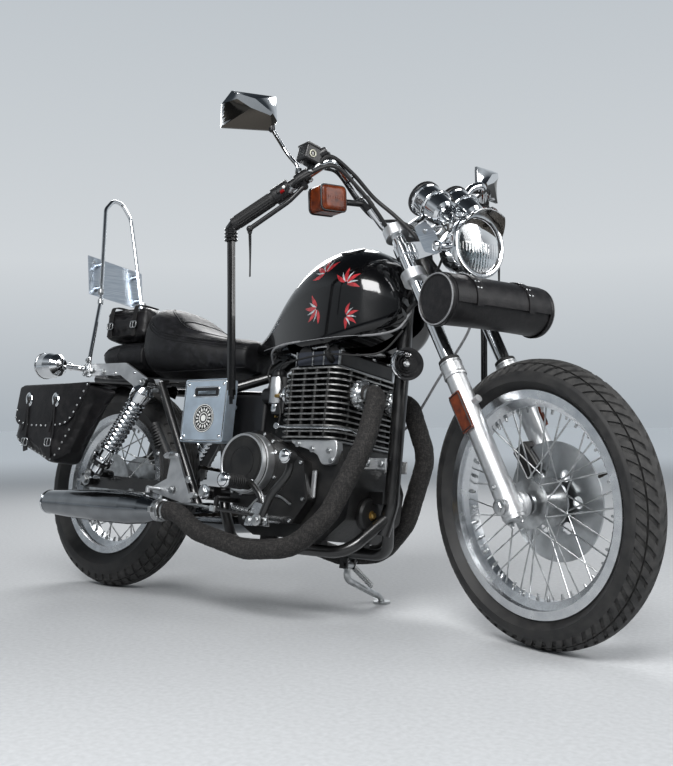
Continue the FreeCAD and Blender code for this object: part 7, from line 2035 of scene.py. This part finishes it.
def make_floor():
    """A wide pale floor that keeps the machine's shadow and glows into the backdrop far away, as a cove does."""
    mesh = bpy.data.meshes.new("floor")
    corners = ((-1, -1), (1, -1), (1, 1), (-1, 1))
    mesh.from_pydata([(x * FLOOR_REACH, y * FLOOR_REACH, 0) for x, y in corners], [], [(0, 1, 2, 3)])
    made = bpy.data.objects.new("floor", mesh)
    link(made)
    material, tree, shader, where = surface("pale studio floor", "floor", 0.0, 0.85, tint=((12, 4), 0.93, 1.07))
    far = add(tree, "VectorMath", {"operation": "LENGTH"}, {0: where}).outputs["Value"]
    glow = add(tree, "MapRange", {"From Min": 2.2, "From Max": 11.0, "To Max": 0.7,
                                  "interpolation_type": "SMOOTHSTEP"}, {"Value": far}).outputs["Result"]
    shader.inputs["Emission Color"].default_value = linear(HORIZON)
    tree.links.new(shader.inputs["Emission Strength"], glow)
    mesh.materials.append(material)


def make_world():
    """A pale room with a dark ceiling and a low dark wall behind the camera, so that bright metal has an edge."""
    world = bpy.data.worlds.new("studio")
    bpy.context.scene.world = world
    world.use_nodes = True
    tree = world.node_tree
    back = tree.nodes["Background"]
    where = add(tree, "TexCoord").outputs["Generated"]
    height = add(tree, "SeparateXYZ", None, {"Vector": where}).outputs["Z"]
    sky = add(tree, "ValToRGB", None, {"Fac": height})
    stops = ((0.0, HORIZON), (0.16, "#DADFE3"), (0.44, "#C6CDD3"), (0.72, DARK_WALL), (1.0, "#262A2F"))
    while len(sky.color_ramp.elements) < len(stops):
        sky.color_ramp.elements.new(0.5)
    for stop, (position, colour) in zip(sky.color_ramp.elements, stops):
        stop.position = position
        stop.color = linear(colour)
    near = (math.cos(CAMERA_YAW + math.pi), math.sin(CAMERA_YAW + math.pi), 0)
    toward = add(tree, "VectorMath", {"operation": "DOT_PRODUCT", 1: near}, {0: where}).outputs["Value"]
    dark = add(tree, "MapRange", {"From Min": -0.35, "From Max": 0.45, "To Min": 0.0, "To Max": 0.94,
                                  "interpolation_type": "SMOOTHSTEP"}, {"Value": toward}).outputs["Result"]
    low = add(tree, "MapRange", {"From Min": 0.22, "From Max": 0.5, "To Min": 1.0, "To Max": 0.0,
                                 "interpolation_type": "SMOOTHSTEP"}, {"Value": height}).outputs["Result"]
    share = add(tree, "Math", {"operation": "MULTIPLY"}, {0: dark, 1: low}).outputs[0]
    mixed = add(tree, "Mix", {"data_type": "RGBA"}, {"Factor": share})
    tree.links.new(mixed.inputs[6], sky.outputs["Color"])
    mixed.inputs[7].default_value = linear(DARK_WALL)
    tree.links.new(back.inputs["Color"], mixed.outputs[2])
    back.inputs["Strength"].default_value = WORLD_STRENGTH


def lamp(name, place, target, size, power):
    data = bpy.data.lights.new(name, "AREA")
    data.shape = "RECTANGLE"
    data.size, data.size_y = size
    data.energy = power
    made = bpy.data.objects.new(name, data)
    made.location = place
    made.rotation_euler = (Vector(target) - Vector(place)).to_track_quat("-Z", "Y").to_euler()
    link(made)


def make_lamps():
    lamp("key_panel", (1.6, -3.2, 3.4), (0.1, 0, 0.5), (2.4, 1.6), sizes().key_power)
    lamp("fill_panel", (3.4, 0.4, 2.2), (0.2, 0, 0.5), (1.6, 2.2), 60)
    lamp("rear_panel", (-2.6, 2.4, 3.0), (0, 0, 0.6), (2.4, 1.4), 100)


# The camera stands where the photograph was taken: fitted from the wheels, tubes and lamps
CAMERA_PLACE = (1.68738, -2.13474, 0.5202)
CAMERA_YAW = math.radians(127.76)
CAMERA_PITCH = math.radians(2.13)
CAMERA_ROLL = math.radians(-0.40)
FOCAL_PIXELS = 947.4
IMAGE_HEIGHT = 766
SENSOR = 36


def make_camera():
    data = bpy.data.cameras.new("photo_camera")
    data.sensor_width = SENSOR
    data.lens = FOCAL_PIXELS / IMAGE_HEIGHT * SENSOR
    made = bpy.data.objects.new("photo_camera", data)
    link(made)
    forward = Vector((
        math.cos(CAMERA_YAW) * math.cos(CAMERA_PITCH),
        math.sin(CAMERA_YAW) * math.cos(CAMERA_PITCH),
        math.sin(CAMERA_PITCH),
    ))
    level = forward.cross(Vector((0, 0, 1))).normalized()
    head = level.cross(forward)
    right = level * math.cos(CAMERA_ROLL) + head * math.sin(CAMERA_ROLL)
    up = head * math.cos(CAMERA_ROLL) - level * math.sin(CAMERA_ROLL)
    turn = Matrix((right, up, -forward)).transposed().to_4x4()
    made.matrix_world = Matrix.Translation(CAMERA_PLACE) @ turn
    data.clip_start = 0.05
    data.clip_end = 200
    bpy.context.scene.camera = made
    bpy.context.scene.view_settings.view_transform = "Standard"


class CRUISER_PT_panel(bpy.types.Panel):
    bl_label = "Cruiser"
    bl_idname = "CRUISER_PT_panel"
    bl_space_type = "VIEW_3D"
    bl_region_type = "UI"
    bl_category = "Cruiser"

    def draw(self, context):
        for group in (context.scene.cruiser_sizes, context.scene.cruiser_colours):
            for key in group.__annotations__:
                self.layout.prop(group, key)
        for operator in OPERATORS:
            self.layout.operator(operator.bl_idname)


OPERATORS = (
    CRUISER_OT_finishes,
    CRUISER_OT_wheels,
    CRUISER_OT_soft,
    CRUISER_OT_leather_trim,
    CRUISER_OT_engine_trim,
    CRUISER_OT_front_trim,
    CRUISER_OT_rear_trim,
    CRUISER_OT_stage,
)
CLASSES = (CruiserSizes, CruiserColours) + OPERATORS + (CRUISER_PT_panel,)


def register():
    for made in CLASSES:
        bpy.utils.register_class(made)
    bpy.types.Scene.cruiser_sizes = bpy.props.PointerProperty(type=CruiserSizes)
    bpy.types.Scene.cruiser_colours = bpy.props.PointerProperty(type=CruiserColours)


def unregister():
    del bpy.types.Scene.cruiser_colours
    del bpy.types.Scene.cruiser_sizes
    for made in reversed(CLASSES):
        bpy.utils.unregister_class(made)


def main():
    register()
    for operator in OPERATORS:
        group, name = operator.bl_idname.split(".")
        getattr(getattr(bpy.ops, group), name)()


if __name__ == "__main__":
    main()
